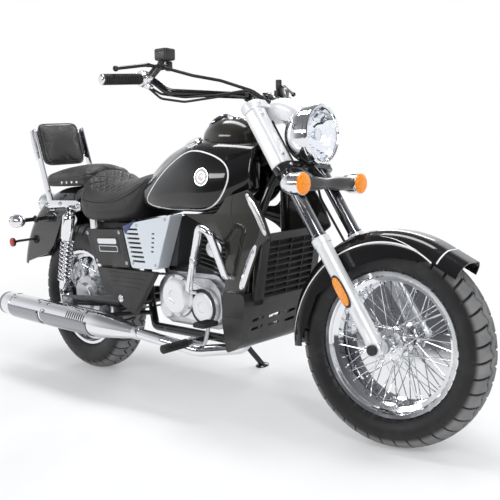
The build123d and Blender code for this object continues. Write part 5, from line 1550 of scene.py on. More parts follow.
def ribbon(tree, route, width, lift, closed=False, spread=None):
    """A thin band laid on a surface, along rays cast onto it."""
    hits = []
    for origin, direction in route:
        at, normal, _, _ = tree.ray_cast(origin, direction)
        if at is not None:
            hits.append((at, -normal if normal.dot(direction) > 0 else normal))
    rows = []
    count = len(hits)
    for k, (at, normal) in enumerate(hits):
        before = hits[(k - 1) % count][0] if closed or k else at
        after = hits[(k + 1) % count][0] if closed or k < count - 1 else at
        across = (after - before).normalized().cross(normal).normalized()
        half = width / 2 * (spread(k / max(count - 1, 1)) if spread else 1.0)
        rows.append([
            at + across * (half * side) + normal * (lift * rise)
            for side, rise in ((1, 0.2), (1, 1.0), (-1, 1.0), (-1, 0.2))
        ])
    return skin(rows, closed=True, loop=closed)


FRONT_FENDER = (333.0, 68.0, 46.0)      # crown radius, half-width, corner
RAY_STEPS = 90


def fender_rays(stops):
    """Rays onto the front fender through (angle, run, reach) stops.

    The reach is measured over the fender's corner, from its middle."""
    radius, half, corner = FRONT_FENDER
    flat = half - corner
    bend = corner * math.pi / 2
    rays = []
    for k in range(RAY_STEPS + 1):
        angle, run, reach = spline(stops, k / RAY_STEPS)
        side, reach = math.copysign(1, reach), abs(reach)
        t = min(max((reach - flat) / corner, 0.0), math.pi / 2)
        y = min(reach, flat) + corner * math.sin(t)
        r = radius - corner + corner * math.cos(t) - max(0.0, reach - flat - bend)
        out = polar(Vector(), angle, math.cos(t), side * math.sin(t))
        tangent = Vector((math.sin(math.radians(angle)), 0, -math.cos(math.radians(angle))))
        at = polar(FRONT_AXLE, angle, r, side * y) + tangent * run
        rays.append((at + out * 20, -out))
    return rays


FRONT_SKIRT = [(40, 318), (58, 292), (86, 258), (114, 244), (150, 262), (188, 300)]
front_rows = [(angle, 0.0, skirt_radius(FRONT_SKIRT, angle)) for angle in range(186, 62, -2)]
for k in range(13):          # the straight tip, ahead of the arch
    front_rows.append((62.0, 8.0 * k, 287.0 + 22.0 * k / 12))
front_shell = fender_shell(FRONT_AXLE, *FRONT_FENDER, front_rows)
gloss_black = lacquer("gloss_black_lacquer", (0.0055, 0.0055, 0.006))
piece("front_fender_shell", front_shell, "steering", gloss_black, ["front_fender"], angle=40)
fender_tree = tree_of(front_shell)
SIDE_STRIPE = [
    (184, 0, 60), (165, 0, 74), (140, 0, 82), (114, 0, 84), (92, 0, 82), (76, 0, 83), (66, 0, 88),
    (62, 16, 94),
]
CHEVRON = [(92, 0, 64), (84, 0, 70), (74, 0, 80), (68, 0, 86)]
CROSSING = [(62, 30, reach) for reach in (-88, -60, -30, 0, 30, 60, 88)]
stripe_shape = ribbon(fender_tree, fender_rays(CROSSING), 4.2, 0.5)
for side in (-1, 1):
    for stops, spread in ((SIDE_STRIPE, None), (CHEVRON, lambda f: 0.15 + 0.85 * f)):
        route = fender_rays([(angle, run, side * reach) for angle, run, reach in stops])
        stripe_shape += ribbon(fender_tree, route, 4.2, 0.5, spread=spread)
pin_white = lacquer("pinstripe_enamel", (0.80, 0.80, 0.79), 0.30, 0.02)
piece("front_fender_pinstripes", stripe_shape, "steering", pin_white, angle=50)
stays = Shape()
for side in (-1, 1):
    for s in (278, 312):
        stays += rod(leg_point(s, side * 63), leg_point(s, side * 96), 8, 20)
        stays += rod(leg_point(s, side * 68), leg_point(s, side * 71), 11, 20, 1)
piece("front_fender_stays", stays, "steering", frame_black)


# ---- Headlamp ------------------------------------------------------------
# A chromed steel bucket and rim, screwed to the lower yoke, round a faceted aluminised bowl with a
# shielded bulb and a bulging front glass. A silver moulded hood closes the gap up to the yokes.
def clear_glass():
    """Clear moulded glass, fluted a little across."""
    paint = Paint(
        "lamp_glass", base_color=(0.97, 0.98, 1.0), transmission_weight=1.0, ior=1.12,
        specular_ior_level=0.6
    )
    paint.set(roughness=paint.noise(30.0, 2.0).ramp(0.3, 0.7, 0.0, 0.02))
    return paint.bump((paint.along(head_at, bike_left) * 620.0).sine(), 0.05, 0.001).material


def reflector_material():
    """The lamp's bright bowl: faceted, so that its reflections break up."""
    paint = Paint("lamp_reflector", metallic=1.0, base_color=(0.90, 0.92, 0.95))
    paint.set(roughness=paint.noise(18.0, 2.0).ramp(0.3, 0.7, 0.05, 0.10))
    return paint.bump((paint.along(head_at, bike_left) * 300.0).sine(), 0.05, 0.001).material


def quarter_round(radius, length, at, steps):
    """Profile of a cup's closed end, from the axis out to its full radius."""
    turns = [math.radians(90 * k / steps) for k in range(steps + 1)]
    return [(at - length * math.cos(t), max(radius * math.sin(t), 0.4)) for t in turns]


def hood():
    """The silver hood over the lamp: a smooth cowl between the leg covers."""
    spine = [               # x ahead of the lamp, z above it, half-width
        (-165, 92, 40), (-160, 112, 58), (-130, 119, 61), (-104, 114.5, 61.5), (-72, 101, 58),
        (-46, 86, 46), (-41, 80, 30),
    ]
    rings = []
    for k in range(37):
        x, z, half = spline(spine, k / 36)
        ring = []
        for j in range(25):
            t = math.pi * j / 24
            y = half * math.copysign(abs(math.cos(t)) ** 0.6, math.cos(t))
            drop = 34 * (1 - abs(math.sin(t)) ** 0.7)
            ring.append(Vector((LAMP.x + x, y, LAMP.z + z - drop)))
        low = [Vector((p.x, p.y * 0.9, max(p.z - 34, LAMP.z + 44))) for p in reversed(ring)]
        rings.append(ring + low)
    return skin(rings)


bucket = quarter_round(92.6, 92.6, -24, 24) + [
    (-8, 92.6), (-6, 90.5), (0, 90.5), (1.0, 92.9), (6.0, 92.6), (9.0, 89.0), (9.5, 85.0), (6.5, 82.5),
    (2.0, 82.0), (-2.0, 82.4), (-6.0, 87.5),
] + quarter_round(88.4, 88.4, -24, 24)[::-1]
bowl_rings = []
for k in range(9):
    r = max(82.0 * (1 - k / 8), 9.0)
    ring = []
    for j in range(40):
        turn = 2 * math.pi * (j + 0.5 * (k % 2)) / 40
        depth = -66.0 + 0.0101 * r * r + (0.0 if k == 0 else 1.6 * (-1) ** (j + k))
        ring.append(LAMP + Vector((depth, r * math.cos(turn), r * math.sin(turn))))
    bowl_rings.append(ring)
bucket_shape = lathe(bucket, LAMP, (1, 0, 0), 96)
piece("headlamp_bucket", bucket_shape, "steering", chrome, ["headlamp_shell"], angle=24)
reflector = reflector_material()
piece("headlamp_bowl", skin(bowl_rings, caps=False), "steering", reflector, angle=4)
bulb_parts = lathe([(-62, 12), (-50, 11), (-48, 8), (-20, 8), (-14, 6), (-12, 0)], LAMP, (1, 0, 0), 32)
bulb_parts += lathe([(-26, 16), (-10, 19), (-6, 14), (-5, 0)], LAMP, (1, 0, 0), 32)
piece("headlamp_bulb_shield", bulb_parts, "steering", chrome)
lens = []
for k in range(19):
    r = 82.5 * k / 18
    lens.append((13.8 - 10.8 * (r / 82.5) ** 2, max(r, 0.05)))
back_of_lens = [(a - 2.6, r) for a, r in reversed(lens)]
glass = clear_glass()
glass_shape = lathe(lens + [(2.0, 82.3)] + back_of_lens, LAMP, (1, 0, 0), 96)
piece("headlamp_glass", glass_shape, "steering", glass, ["headlamp_lens"], angle=60)
piece("headlamp_hood", hood(), "steering", silver, ["nacelle"], angle=50)


# ---- Signals and reflectors ----------------------------------------------
# The front turn signals: two spun chrome cups with moulded amber lenses, screwed to the ends of a
# satin bar that tapers to its middle. An oval amber reflector in a black frame is glued to each leg.
LENS_RIBS = 1500.0


def lens_material(name, colour, painted_glow):
    """Coloured lamp plastic ribbed inside, with a painted glow though unlit, and facets of painted light and
    shade.
    """
    # The emission is a painted glow: the lens gives light though its lamp is off.
    paint = Paint(
        name, base_color=colour, transmission_weight=0.35, ior=1.49, emission_color=colour,
        emission_strength=painted_glow
    )
    across = paint.along(floor_at, bike_left)
    # Cells of paler and darker tint are painted light and shade, as if facets caught the light.
    facet_light_and_shade = paint.cells(190.0).ramp(0.1, 0.7)
    paint.set(base_color=paint.blend(facet_light_and_shade, colour, tuple(0.6 * c for c in colour)))
    paint.set(roughness=paint.noise(30.0, 2.0).ramp(0.3, 0.7, 0.08, 0.14))
    ribs = (across * LENS_RIBS).sine() + (paint.along(floor_at, bike_up) * LENS_RIBS).sine()
    return paint.bump(ribs, 0.35, 0.0006).material


def cup(radius, length, straight):
    """Profile of a bullet-shaped lamp cup, open ahead, with a grooved rim."""
    return quarter_round(radius, length - straight, -straight, 16) + [
        (-6, radius), (-5, radius - 1.2), (-2, radius - 1.2), (-1, radius), (1.6, radius - 0.4),
        (2.4, radius - 3)
    ]


def bulged(radius, depth):
    """Profile of a domed lens."""
    profile = [(0.0, radius)]
    for k in range(13):
        t = math.radians(90 * k / 12)
        profile.append((2.0 + (depth - 2.0) * math.sin(t), max(radius * math.cos(t) ** 0.8, 0.05)))
    return profile


BAR_HALF = 150
bar_profile = []
for k in range(41):
    y = -BAR_HALF + 2 * BAR_HALF * k / 40
    bar_profile.append((y, 22.6 - 6.0 * math.exp(-((y / 46.0) ** 2)) - 3.0 * (abs(y) / BAR_HALF) ** 4))
signal_bar = lathe(bar_profile, SIGNAL_BAR, (0, 1, 0), 48)
piece("signal_bar", signal_bar, "steering", satin_black)
cups, ambers = Shape(), Shape()
for side in (-1, 1):
    at = SIGNAL_BAR + Vector((24, side * (BAR_HALF + 9), 0))
    cups += lathe(cup(34.0, 78.0, 18.0), at, (1, 0, 0), 56)
    ambers += lathe(bulged(32.6, 15.6), at, (1, 0, 0), 56)
piece("front_signal_cups", cups, "steering", chrome, ["front_signals"], angle=30)
plates = Shape()
for side in (-1, 1):
    mark = leg_point(188, side * (LEG_Y + 26), -4)
    out = Vector((0, side, 0))
    for size, depth, target in ((1.0, 0.0, "plate"), (0.86, 3.0, "amber")):
        ring_low, ring_high = [], []
        for j in range(40):
            t = 2 * math.pi * j / 40
            c, n = math.cos(t), math.sin(t)
            at = mark + UP_LEG * (52 * size * math.copysign(abs(c) ** 0.7, c)) + AHEAD * (
                14.5 * size * math.copysign(abs(n) ** 0.8, n)
            )
            ring_low.append(at + out * (-7.0 + depth))
            ring_high.append(at + out * (0.5 + depth))
        if target == "plate":
            plates += skin([ring_low, ring_high])
        else:
            ambers += skin([ring_low, ring_high])
piece("reflector_frames", plates, "steering", plastic, bevel=1.2)
# The amber lenses get a painted glow.
amber = lens_material("amber_lens", (1.0, 0.33, 0.012), painted_glow=0.30)
piece("amber_lens_plastic", ambers, "steering", amber, ["amber_lenses"], angle=48)


# ---- Handlebar -----------------------------------------------------------
# A wide pulled-back bar of bent steel tube, enamelled black, with ribbed rubber grips pushed on and
# bright end caps. Cast switch housings, ball-ended levers and the brake fluid cup are clamped to it;
# cables in rubber sheaths and the brake hose run down from them to the fork.
def block(centre, size, turn=None):
    """A box about its centre, turned by a matrix."""
    corners = []
    for sx, sy, sz in (
        (-1, -1, -1), (1, -1, -1), (1, 1, -1), (-1, 1, -1), (-1, -1, 1), (1, -1, 1), (1, 1, 1), (-1, 1, 1)
    ):
        corner = Vector((sx * size[0] / 2, sy * size[1] / 2, sz * size[2] / 2))
        corners.append(Vector(centre) + (turn @ corner if turn else corner))
    faces = [(3, 2, 1, 0), (4, 5, 6, 7), (0, 1, 5, 4), (1, 2, 6, 5), (2, 3, 7, 6), (3, 0, 4, 7)]
    return Shape(corners, faces)


CUP_RIM = smooth_outline([(-25, -23), (25, -23), (25, 23), (-25, 23)], 9, 5)


def cup_ring(middle, z, grow):
    """The rim of the brake fluid cup at a height over its middle, grown by a share."""
    return [middle + Vector((x * grow, y * grow, z)) for x, y in CUP_RIM]


HALF_BAR = [(838, 478, 1080), (882, 322, 1093), (935, 305, 1050), (1043, 76, 1050)]
bar_knots = []
for side in (-1, 1):
    half_bar = [on_side(point, side) for point in HALF_BAR]
    bar_knots += half_bar if side < 0 else list(reversed(half_bar))
piece(
    "handlebar_tube", tube(eased(bar_knots, [35, 35, 60, 60, 35, 35], 9), 11.0, 28), "steering",
    gloss_black, ["handlebar"]
)
grip_shape, ends, housings, levers, bright, throttle = Shape(), Shape(), Shape(), Shape(), Shape(), Shape()
for side in (-1, 1):
    end = on_side(HALF_BAR[0], side)
    run = (on_side(HALF_BAR[1], side) - end).normalized()
    profile = [(2.0, 13.0), (3.0, 16.4)]
    for k in range(14):
        low = 7.0 + 7.6 * k
        profile += [(low, 16.4), (low + 0.9, 14.6), (low + 2.4, 14.6), (low + 3.3, 16.4)]
    profile += [(116, 16.4), (118, 16.45), (121.5, 16.45), (122, 13)]
    grip_shape += lathe(profile, end, run, 44)
    ends += lathe(
        [(-7, 0), (-7, 9.5), (-5.5, 13.5), (-3, 16.0), (0.5, 16.4), (2.5, 15.5), (2.5, 10)], end, run, 44
    )
    inner = end + run * 122
    perch = inner + run * 25
    pivot = Vector((perch.x + 20, perch.y - side * 32, perch.z + 36))
    ball = Vector((861, side * 445, 1113))
    knee = ball + (pivot - ball) * 0.72 + Vector((4, 0, 8))
    drum = lathe(
        [(0, 19), (1.5, 24), (11, 25.4), (12.2, 24.0), (13.4, 25.4), (24, 24.4), (26, 20)], inner, run, 40
    )
    if side < 0:
        throttle += drum + lathe([(26, 18), (30, 17), (40, 15), (42, 12)], inner, run, 36)
        low = inner + run * 12 + Vector((6, 0, -16))
        throttle += lathe(
            [(0, 9), (3, 10.5), (17, 10), (20, 6.5), (27, 6), (28, 4)], low, (0.5, 0.75, -0.35), 24
        )
    else:
        housings += drum
        box_turn = about(Vector(), run, (1, 0, 0)).to_3x3()
        housings += block(inner + run * 19 + Vector((4, 0, 2)), (46, 44, 34), box_turn)
        for k, (x, z) in enumerate(((-22, 12), (-24, 0), (-22, -12))):
            bright += rod(
                inner + run * 19 + Vector((x, 0, z + 2)), inner + run * 19 + Vector((x - 6, 0, z + 2)),
                (5.0, 4.0, 5.0)[k], 16, 1.0
            )
    housings += rod(perch - Vector((0, 0, 6)), pivot + Vector((0, 0, 2)), 12.5, 28, 2.0)
    for k, (along, rise, size) in enumerate(((6, 25, 5.0), (15, 25.5, 3.8))):
        at = inner + run * along
        bright += lathe(
            [(0, size), (3.2, size), (4.4, size * 0.7), (4.6, 0)], at + Vector((-18, 0, 14)),
            (-0.8, 0, 0.6), 16
        )
    blade = eased([ball, knee, pivot], 60, 12)
    widths = [5.2 + 1.4 * math.sin(math.pi * k / (len(blade) - 1)) for k in range(len(blade))]
    levers += tube(blade, widths, 18)
    levers += lathe(
        [(-9, 0.3), (-8.2, 3.8), (-6, 6.8), (-3, 8.5), (0, 9), (3, 8.5), (6, 6.8), (8.2, 3.8), (9, 0.3)],
        ball, (0, 1, 0), 32
    )
    boss = pivot + Vector((18, -side * 26, 4))
    housings += rod(pivot, boss, 9.6, 24)
    housings += lathe(
        [
            (-14, 9), (-12.5, 10.9), (12.5, 10.9), (14, 9.5), (14, 4.3), (-3.8, 4.25), (-3.8, 0)
        ], boss, (0, 0, 1), 32
    )
    bright += lathe([(0, 6.0), (2.6, 6.0), (4, 4.6), (4, 0)], pivot + Vector((0, 0, 12)), (0, 0, 1), 6)
    if side < 0:
        cup_at = Vector((pivot.x + 42, pivot.y - 15, pivot.z + 16))
        housings += rod(pivot, cup_at + Vector((-8, 0, 4)), 9.6, 24)
        cup_sides = ((-2, 0.86), (0, 0.96), (3, 0.99), (22, 1.0), (23, 1.0))
        housings += skin([cup_ring(cup_at, z, grow) for z, grow in cup_sides])
        housings += skin([cup_ring(cup_at, z, grow) for z, grow in ((23.4, 1.0), (29, 1.0), (31.4, 0.93))])
        for x, y in ((-18, -16), (18, 16)):
            bright += lathe(
                [(0, 3.2), (1.4, 3.0), (1.6, 1.2), (0.4, 1.0), (0.4, 0)], cup_at + Vector((x, y, 31.0)),
                (0, 0, 1), 14
            )
        bright += lathe(
            [(0, 8.6), (1.0, 8.4), (1.2, 6.6), (0.4, 6.2), (0.4, 0)], cup_at + Vector((-25.0, 0, 12)),
            (-1, 0, 0), 28
        )
piece("grip_ribs", grip_shape, "steering", rubber, ["grips"], angle=30)
piece(
    "control_housings", housings, "steering", satin_black, ["hand_controls"], bevel=0.7,
    angle=36
)
piece("throttle_housing", throttle, "steering", polished, angle=34)
piece("grip_end_caps", ends, "steering", polished, angle=36)
piece("brake_and_clutch_levers", levers, "steering", gloss_black, angle=50)
piece("control_screws", bright, "steering", bolt_steel, angle=36)
wires = Shape()
for side in (-1, 1):
    route = [
        (912, side * 300, 1127), (940, side * 274, 1116), (977, side * 240, 1102), (1023, side * 164, 1090),
        (1085, side * 84, 1060), (1134, side * 44, 1018)
    ]
    wires += tube(eased(route, [30, 40, 60, 60], 10), 4.9, 16)
for turn, dip in ((0.0, 0.0), (9.0, 14.0)):
    route = [
        (884, -338, 1070 - dip * 0.3), (912, -312, 1046 - dip), (962, -262, 1036 - dip),
        (1020, -180, 1044 - dip * 0.4),
        (1082, -100 + turn, 1062), (1128, -52 + turn, 1020)
    ]
    wires += tube(eased(route, [30, 50, 60, 50], 10), 3.6, 14)
hose = [
    leg_point(586, 70, -12), leg_point(520, 80, -38), leg_point(302, 84, -36),
    polar(FRONT_AXLE, 148, 200, 86), polar(FRONT_AXLE, 148, 158, 86),
]
wires += tube(eased(hose, [60, 60, 20], 8), 4.0, 16)
cable_rubber = rubber_material("cable_sheath", (0.010, 0.010, 0.011), (0.020, 0.020, 0.021), 0.38)
piece("cable_sheaths", wires, "steering", cable_rubber, ["cables"])


# ---- Fuel tank -----------------------------------------------------------
# The fuel tank, seam-welded from two pressed steel halves and sprayed gloss black, slipped over the
# backbone and bolted at its rear. Each side has a pale painted loop and a glued enamel badge that is
# left blank.
def bow(a, mid, b, steps):
    """Points on the arc through three (y, z) points, without the last."""
    a, mid, b = Vector(a), Vector(mid), Vector(b)
    d = 2 * (a.x * (mid.y - b.y) + mid.x * (b.y - a.y) + b.x * (a.y - mid.y))
    if abs(d) < 1e-6:
        return [a.lerp(b, k / steps) for k in range(steps)]
    ux = (
        a.length_squared * (mid.y - b.y) + mid.length_squared * (b.y - a.y) + b.length_squared * (a.y - mid.y)
    ) / d
    uy = (
        a.length_squared * (b.x - mid.x) + mid.length_squared * (a.x - b.x) + b.length_squared * (mid.x - a.x)
    ) / d
    c = Vector((ux, uy))
    t0 = math.atan2(a.y - c.y, a.x - c.x)
    t1 = math.atan2(mid.y - c.y, mid.x - c.x)
    t2 = math.atan2(b.y - c.y, b.x - c.x)
    way = (t1 - t0) % (2 * math.pi)
    full = (t2 - t0) % (2 * math.pi)
    if way > full:
        full -= 2 * math.pi
    radius = (a - c).length
    return [
        c + Vector((math.cos(t0 + full * k / steps), math.sin(t0 + full * k / steps))) * radius
        for k in range(steps)
    ]


BELLY = 0.9      # half-width of a body's flat underside, as a share of its own


def half_section(half, low, top, shoulder, steps):
    """(y, z) from the belly's corner round the left side to the middle of the top."""
    height = top - low
    z_shoulder, y_shoulder = low + shoulder * height, 0.66 * half
    side = bow((BELLY * half, low), (half, low + 0.45 * shoulder * height), (y_shoulder, z_shoulder), steps)
    crown = bow((y_shoulder, z_shoulder), (0, top), (-y_shoulder, z_shoulder), 2 * steps)[: steps + 1]
    return side + crown


def eased_ring(points, turns):
    """An open run of points with its corners softened, by a number of turns."""
    for _ in range(turns):
        points = [points[0]] + [
            (points[k - 1] + points[k] * 2 + points[k + 1]) / 4 for k in range(1, len(points) - 1)
        ] + [points[-1]]
    return points


def body_rows(stations, rows, steps):
    """Closed rings of points for a lofted body, as x and a list of (y, z)."""
    made = []
    for k in range(rows + 1):
        f = k / rows
        x, half, low, top, shoulder = spline(stations, f)
        start = [Vector((BELLY * half * j / 8, low)) for j in range(8)]
        run = eased_ring(start + half_section(half, low, top, shoulder, steps), 7)
        ring = run + [Vector((-p.x, p.y)) for p in reversed(run[1:-1])]
        made.append((x, ring))
    return made


TUNNEL = [(500, 750), (948, 874), (1100, 925)]


def tunnel_top(x):
    """The height of the tunnel's roof at an x."""
    for (x0, z0), (x1, z1) in zip(TUNNEL, TUNNEL[1:]):
        if x <= x1:
            return z0 + (z1 - z0) * (x - x0) / (x1 - x0)
    return TUNNEL[-1][1]


TANK = [    # x, half-width, bottom, top, shoulder share
    (546, 121.6, 698, 844, 0.66),
    (650, 142.9, 688, 900, 0.74),
    (780, 152.0, 686, 932, 0.86),
    (890, 150.5, 686, 934, 0.88),
    (985, 127.7, 704, 922, 0.88),
    (1066, 83.6, 756, 902, 0.86),
]


def tank_shape():
    """The lofted tank, drawn in at both ends, with a tunnel under it for the backbone."""
    rings = []
    made = body_rows(TANK, 96, 22)
    first_x, last_x = made[0][0], made[-1][0]
    for x, ring in made:
        near = min((x - first_x) / 16.0, (last_x - x) / 16.0, 1.0)
        shrink = 1 - 0.10 * (1 - math.sqrt(max(0.0, 1 - (1 - near) ** 2)))
        centre = sum(ring, Vector((0, 0))) / len(ring)
        rim = []
        for p in ring:
            q = centre + (p - centre) * shrink
            z = q.y
            if abs(q.x) < 36 and q.y < centre.y:
                z = min(max(q.y, tunnel_top(x)), ring[len(ring) // 2].y - 12)
            rim.append(Vector((x, q.x, z)))
        rings.append(rim)
    return skin(rings)


FAR = 400.0


def side_route(points, side, closed, steps):
    """Rays from one side through a smooth (x, z) curve."""
    rays = []
    for k in range(steps if closed else steps + 1):
        x, z = spline(points, k / steps, closed)
        rays.append((Vector((x, side * FAR, z)), Vector((0, -side, 0))))
    return rays


tank_body = tank_shape()
piece("fuel_tank_body", tank_body, "frame", gloss_black, ["fuel_tank"], angle=42)
tank_tree = tree_of(tank_body)
TANK_LOOP = [
    (592, 722), (700, 700), (810, 697), (905, 700), (968, 732), (1003, 796), (985, 846), (912, 880),
    (812, 890), (716, 846), (640, 780)
]
stripes = Shape()
for side in (-1, 1):
    stripes += ribbon(tank_tree, side_route(TANK_LOOP, side, True, 260), 5.2, 0.5, True)
piece("tank_pinstripes", stripes, "frame", pin_white, angle=50)
badge_rims, badge_bands, badge_discs = Shape(), Shape(), Shape()
for side in (-1, 1):
    at, normal, _, _ = tank_tree.ray_cast(Vector((905, side * FAR, 806)), Vector((0, -side, 0)))
    base = at - normal * 1.6
    badge_rims += lathe(
        [(0, 30), (2.6, 30), (3.8, 28.6), (3.8, 27.6), (2.6, 26.6), (0.5, 26.6)], base, normal, 64
    )
    badge_rims += lathe([(1.0, 16.8), (3.8, 16.4), (3.8, 15.2), (1.0, 14.8)], base, normal, 56)
    badge_bands += lathe([(1.0, 27.2), (2.6, 27.0), (2.6, 15.6), (1.0, 15.4)], base, normal, 64)
    badge_discs += lathe([(1.0, 15.6), (2.8, 15.4), (3.6, 10.0), (4.0, 5.0), (4.1, 0.2)], base, normal, 48)
piece("tank_badge_rims", badge_rims, "frame", chrome, angle=30)
badge_grey = lacquer("badge_enamel", (0.11, 0.11, 0.115), 0.30, 0.02)
piece("tank_badge_bands", badge_bands, "frame", badge_grey, angle=30)
badge_rose = lacquer("badge_disc_enamel", (0.72, 0.62, 0.62), 0.30, 0.02)
piece("tank_badge_discs", badge_discs, "frame", badge_rose, angle=30)


# ---- Gauge pod, console strip and filler cap -----------------------------
# A moulded pod lacquered dark, screwed on top of the tank, holds the one round gauge under domed
# glass. A chromed pressed strip runs back from it to the seat, and the knurled chrome filler cap
# screws into the tank beside them.
def dial_material():
    """A dark dial face with a faint grain, under a coat of varnish."""
    paint = Paint("dial_face", roughness=0.4, coat_weight=0.6)
    specks = paint.noise(200.0, 2.0).ramp(0.4, 0.6)
    return paint.set(base_color=paint.blend(specks, (0.012, 0.012, 0.013), (0.020, 0.020, 0.022))).material


def pod_shape():
    """A half dome, longer than it is wide, with a short skirt."""
    rings = []
    for k in range(33):
        t = math.pi * (0.02 + 0.96 * k / 32)
        x = 905 + 115.5 * math.cos(t)
        radius = max(72 * math.sin(t), 2.0)
        ring = []
        for j in range(41):
            u = math.pi * j / 40
            y, z = radius * math.cos(u), 926 + radius * math.sin(u)
            ring.append(Vector((x, y, z)))
        ring.append(Vector((x, -radius, 902)))
        ring.append(Vector((x, radius, 902)))
        rings.append(ring)
    return skin(rings)


def top_strip(tree, knots, lift):
    """A band laid down the top of a body, wide as its knots say."""
    rows, steps = [], 60
    for k in range(steps + 1):
        x, half = spline(knots, k / steps)
        row = []
        for j in range(15):
            y = half * (j / 7 - 1)
            at, normal, _, _ = tree.ray_cast(Vector((x, y, 1300)), Vector((0, 0, -1)))
            if at is None:
                continue
            if normal.z < 0:
                normal = -normal
            edge = 1 - abs(j / 7 - 1) ** 6
            row.append(at + normal * (0.4 + lift * edge))
        if len(row) == 15:
            rows.append(row)
    return skin(rows, closed=False)


pod_object = mesh_object("gauge_pod_shell", pod_shape(), BIKE)
DIAL_AT = Vector((858, 0, 977))
DIAL_UP = Vector((-0.62, 0, 0.785)).normalized()
cut(pod_object, mesh_object("dial_cutter", lathe([(-2, 43), (60, 44)], DIAL_AT, DIAL_UP, 64), BIKE))
shade(pod_object, 40)
keep(pod_object, "frame", olive_black, ["gauge_pod"])
gauge_ring = lathe(
    [(-3, 43.4), (2.0, 44.5), (5.5, 44.0), (6.5, 41.5), (4.5, 39.0), (-2.5, 38.5)], DIAL_AT, DIAL_UP, 72,
    loop=True
)
piece("gauge_rim", gauge_ring, "frame", dark_chrome, angle=34)
dial = dial_material()
dial_shape = lathe([(-8, 40), (-3.4, 40), (-3.2, 0.2)], DIAL_AT, DIAL_UP, 64)
piece("gauge_dial", dial_shape, "frame", dial)
dial_x = Vector((DIAL_UP.z, 0, -DIAL_UP.x))
dial_face = BIKE @ about(DIAL_AT - DIAL_UP * 2.7, DIAL_UP, dial_x)
for name, size, half, count in (("gauge_long_marks", 6.5, 0.7, 11), ("gauge_short_marks", 3.2, 0.4, 41)):
    first_turn = Matrix.Rotation(math.radians(-45), 4, "Z")
    tick = block((0, 36.5 - size / 2, 0), (2 * half, size, 0.4)).moved(first_turn)
    made = turned_copies(name, tick, count, dial_face, pin_white, turn=270.0 / (count - 1))
    keep(made, "frame", pin_white)
needle_at = DIAL_AT + DIAL_UP * -1.4
tip = needle_at + (dial_x * 0.7 + Vector((0, 0.7, 0))) * 30
piece("gauge_needle", tube([needle_at, tip], [1.4, 0.4], 8), "frame", pin_white)
dial_glass = lathe(
    [(0.6, 41.5), (2.2, 38), (3.4, 26), (4.0, 12), (4.2, 0.2), (3.4, 0.2), (2.4, 26), (0.0, 41.5)], DIAL_AT,
    DIAL_UP, 64
)
piece("gauge_glass", dial_glass, "frame", glass, angle=60)
filler = lathe(
    [(-6, 30), (4, 30), (7, 28.5), (8, 25), (8, 16), (9.5, 14.5), (10, 0.2)], (938, 0, 992),
    (0.35, 0, 0.94), 48
)
piece("console_knob", filler, "frame", polished, angle=34)
strip = top_strip(tank_tree, [(575, 12), (600, 23), (660, 27), (740, 31), (812, 40)], 2.6)
piece("console_strip", strip, "frame", chrome, angle=50)
cap_at, cap_normal, _, _ = tank_tree.ray_cast(Vector((800, -74, 1200)), Vector((0, 0, -1)))
cap_shape = lathe(
    [(-3, 31), (2.5, 31), (4, 29.5), (9, 29), (11, 26.5), (11.6, 12), (11.6, 0.2)], cap_at, cap_normal, 56
)
knurl = rod((28.8, 0, 3), (28.8, 0, 9.2), 1.7, 8)
on_cap = BIKE @ about(cap_at, cap_normal, (1, 0, 0))
keep(turned_copies("filler_cap_knurls", knurl, 18, on_cap, chrome), "frame", chrome)
piece("filler_cap", cap_shape, "frame", chrome, angle=32)


# ---- Seats ---------------------------------------------------------------
# Two seats of moulded foam on a pressed base, bolted to the rails, covered in black vinyl that is
# stapled underneath. The rider's has diamond quilting and a welted skirt seam, the pillion's has four
# domed chrome studs a side.
def subdivided(made):
    """One round of Catmull-Clark, applied."""
    modifier = made.modifiers.new("round", "SUBSURF")
    modifier.levels = modifier.render_levels = 1
    return applied(made)


def leather_material(name, colour, pale, pebble=620.0):
    """Upholstery vinyl: pebbled grain, soft folds and a low sheen."""
    paint = Paint(name, specular_ior_level=0.42, sheen_weight=0.06, sheen_roughness=0.5)
    folds = paint.noise(7.0, 3.0).ramp(0.35, 0.75)
    paint.set(base_color=paint.blend(folds, colour, pale))
    grains = paint.cells(pebble)
    paint.set(roughness=(grains * 0.18 + 0.36) + folds * 0.05)
    return paint.bump(grains.ramp(0.0, 0.75) + paint.noise(60.0, 3.0) * 0.35, 0.38, 0.0005).material


def cushion(stations, rows, end_round):
    """A lofted body whose two ends are drawn in like a stuffed cushion's."""
    rings = []
    made = body_rows(stations, rows, 20)
    first_x, last_x = made[0][0], made[-1][0]
    for x, ring in made:
        near = min(abs(x - first_x) / end_round, abs(last_x - x) / end_round, 1.0)
        puff = math.sqrt(max(0.0, 1 - (1 - near) ** 2))
        low = min(p.y for p in ring)
        rim = []
        for p in ring:
            q = Vector((p.x * (0.84 + 0.16 * puff), low + (p.y - low) * (0.80 + 0.20 * puff)))
            rim.append(Vector((x, q.x, q.y)))
        rings.append(rim)
    return skin(rings)


FRAMES = 20


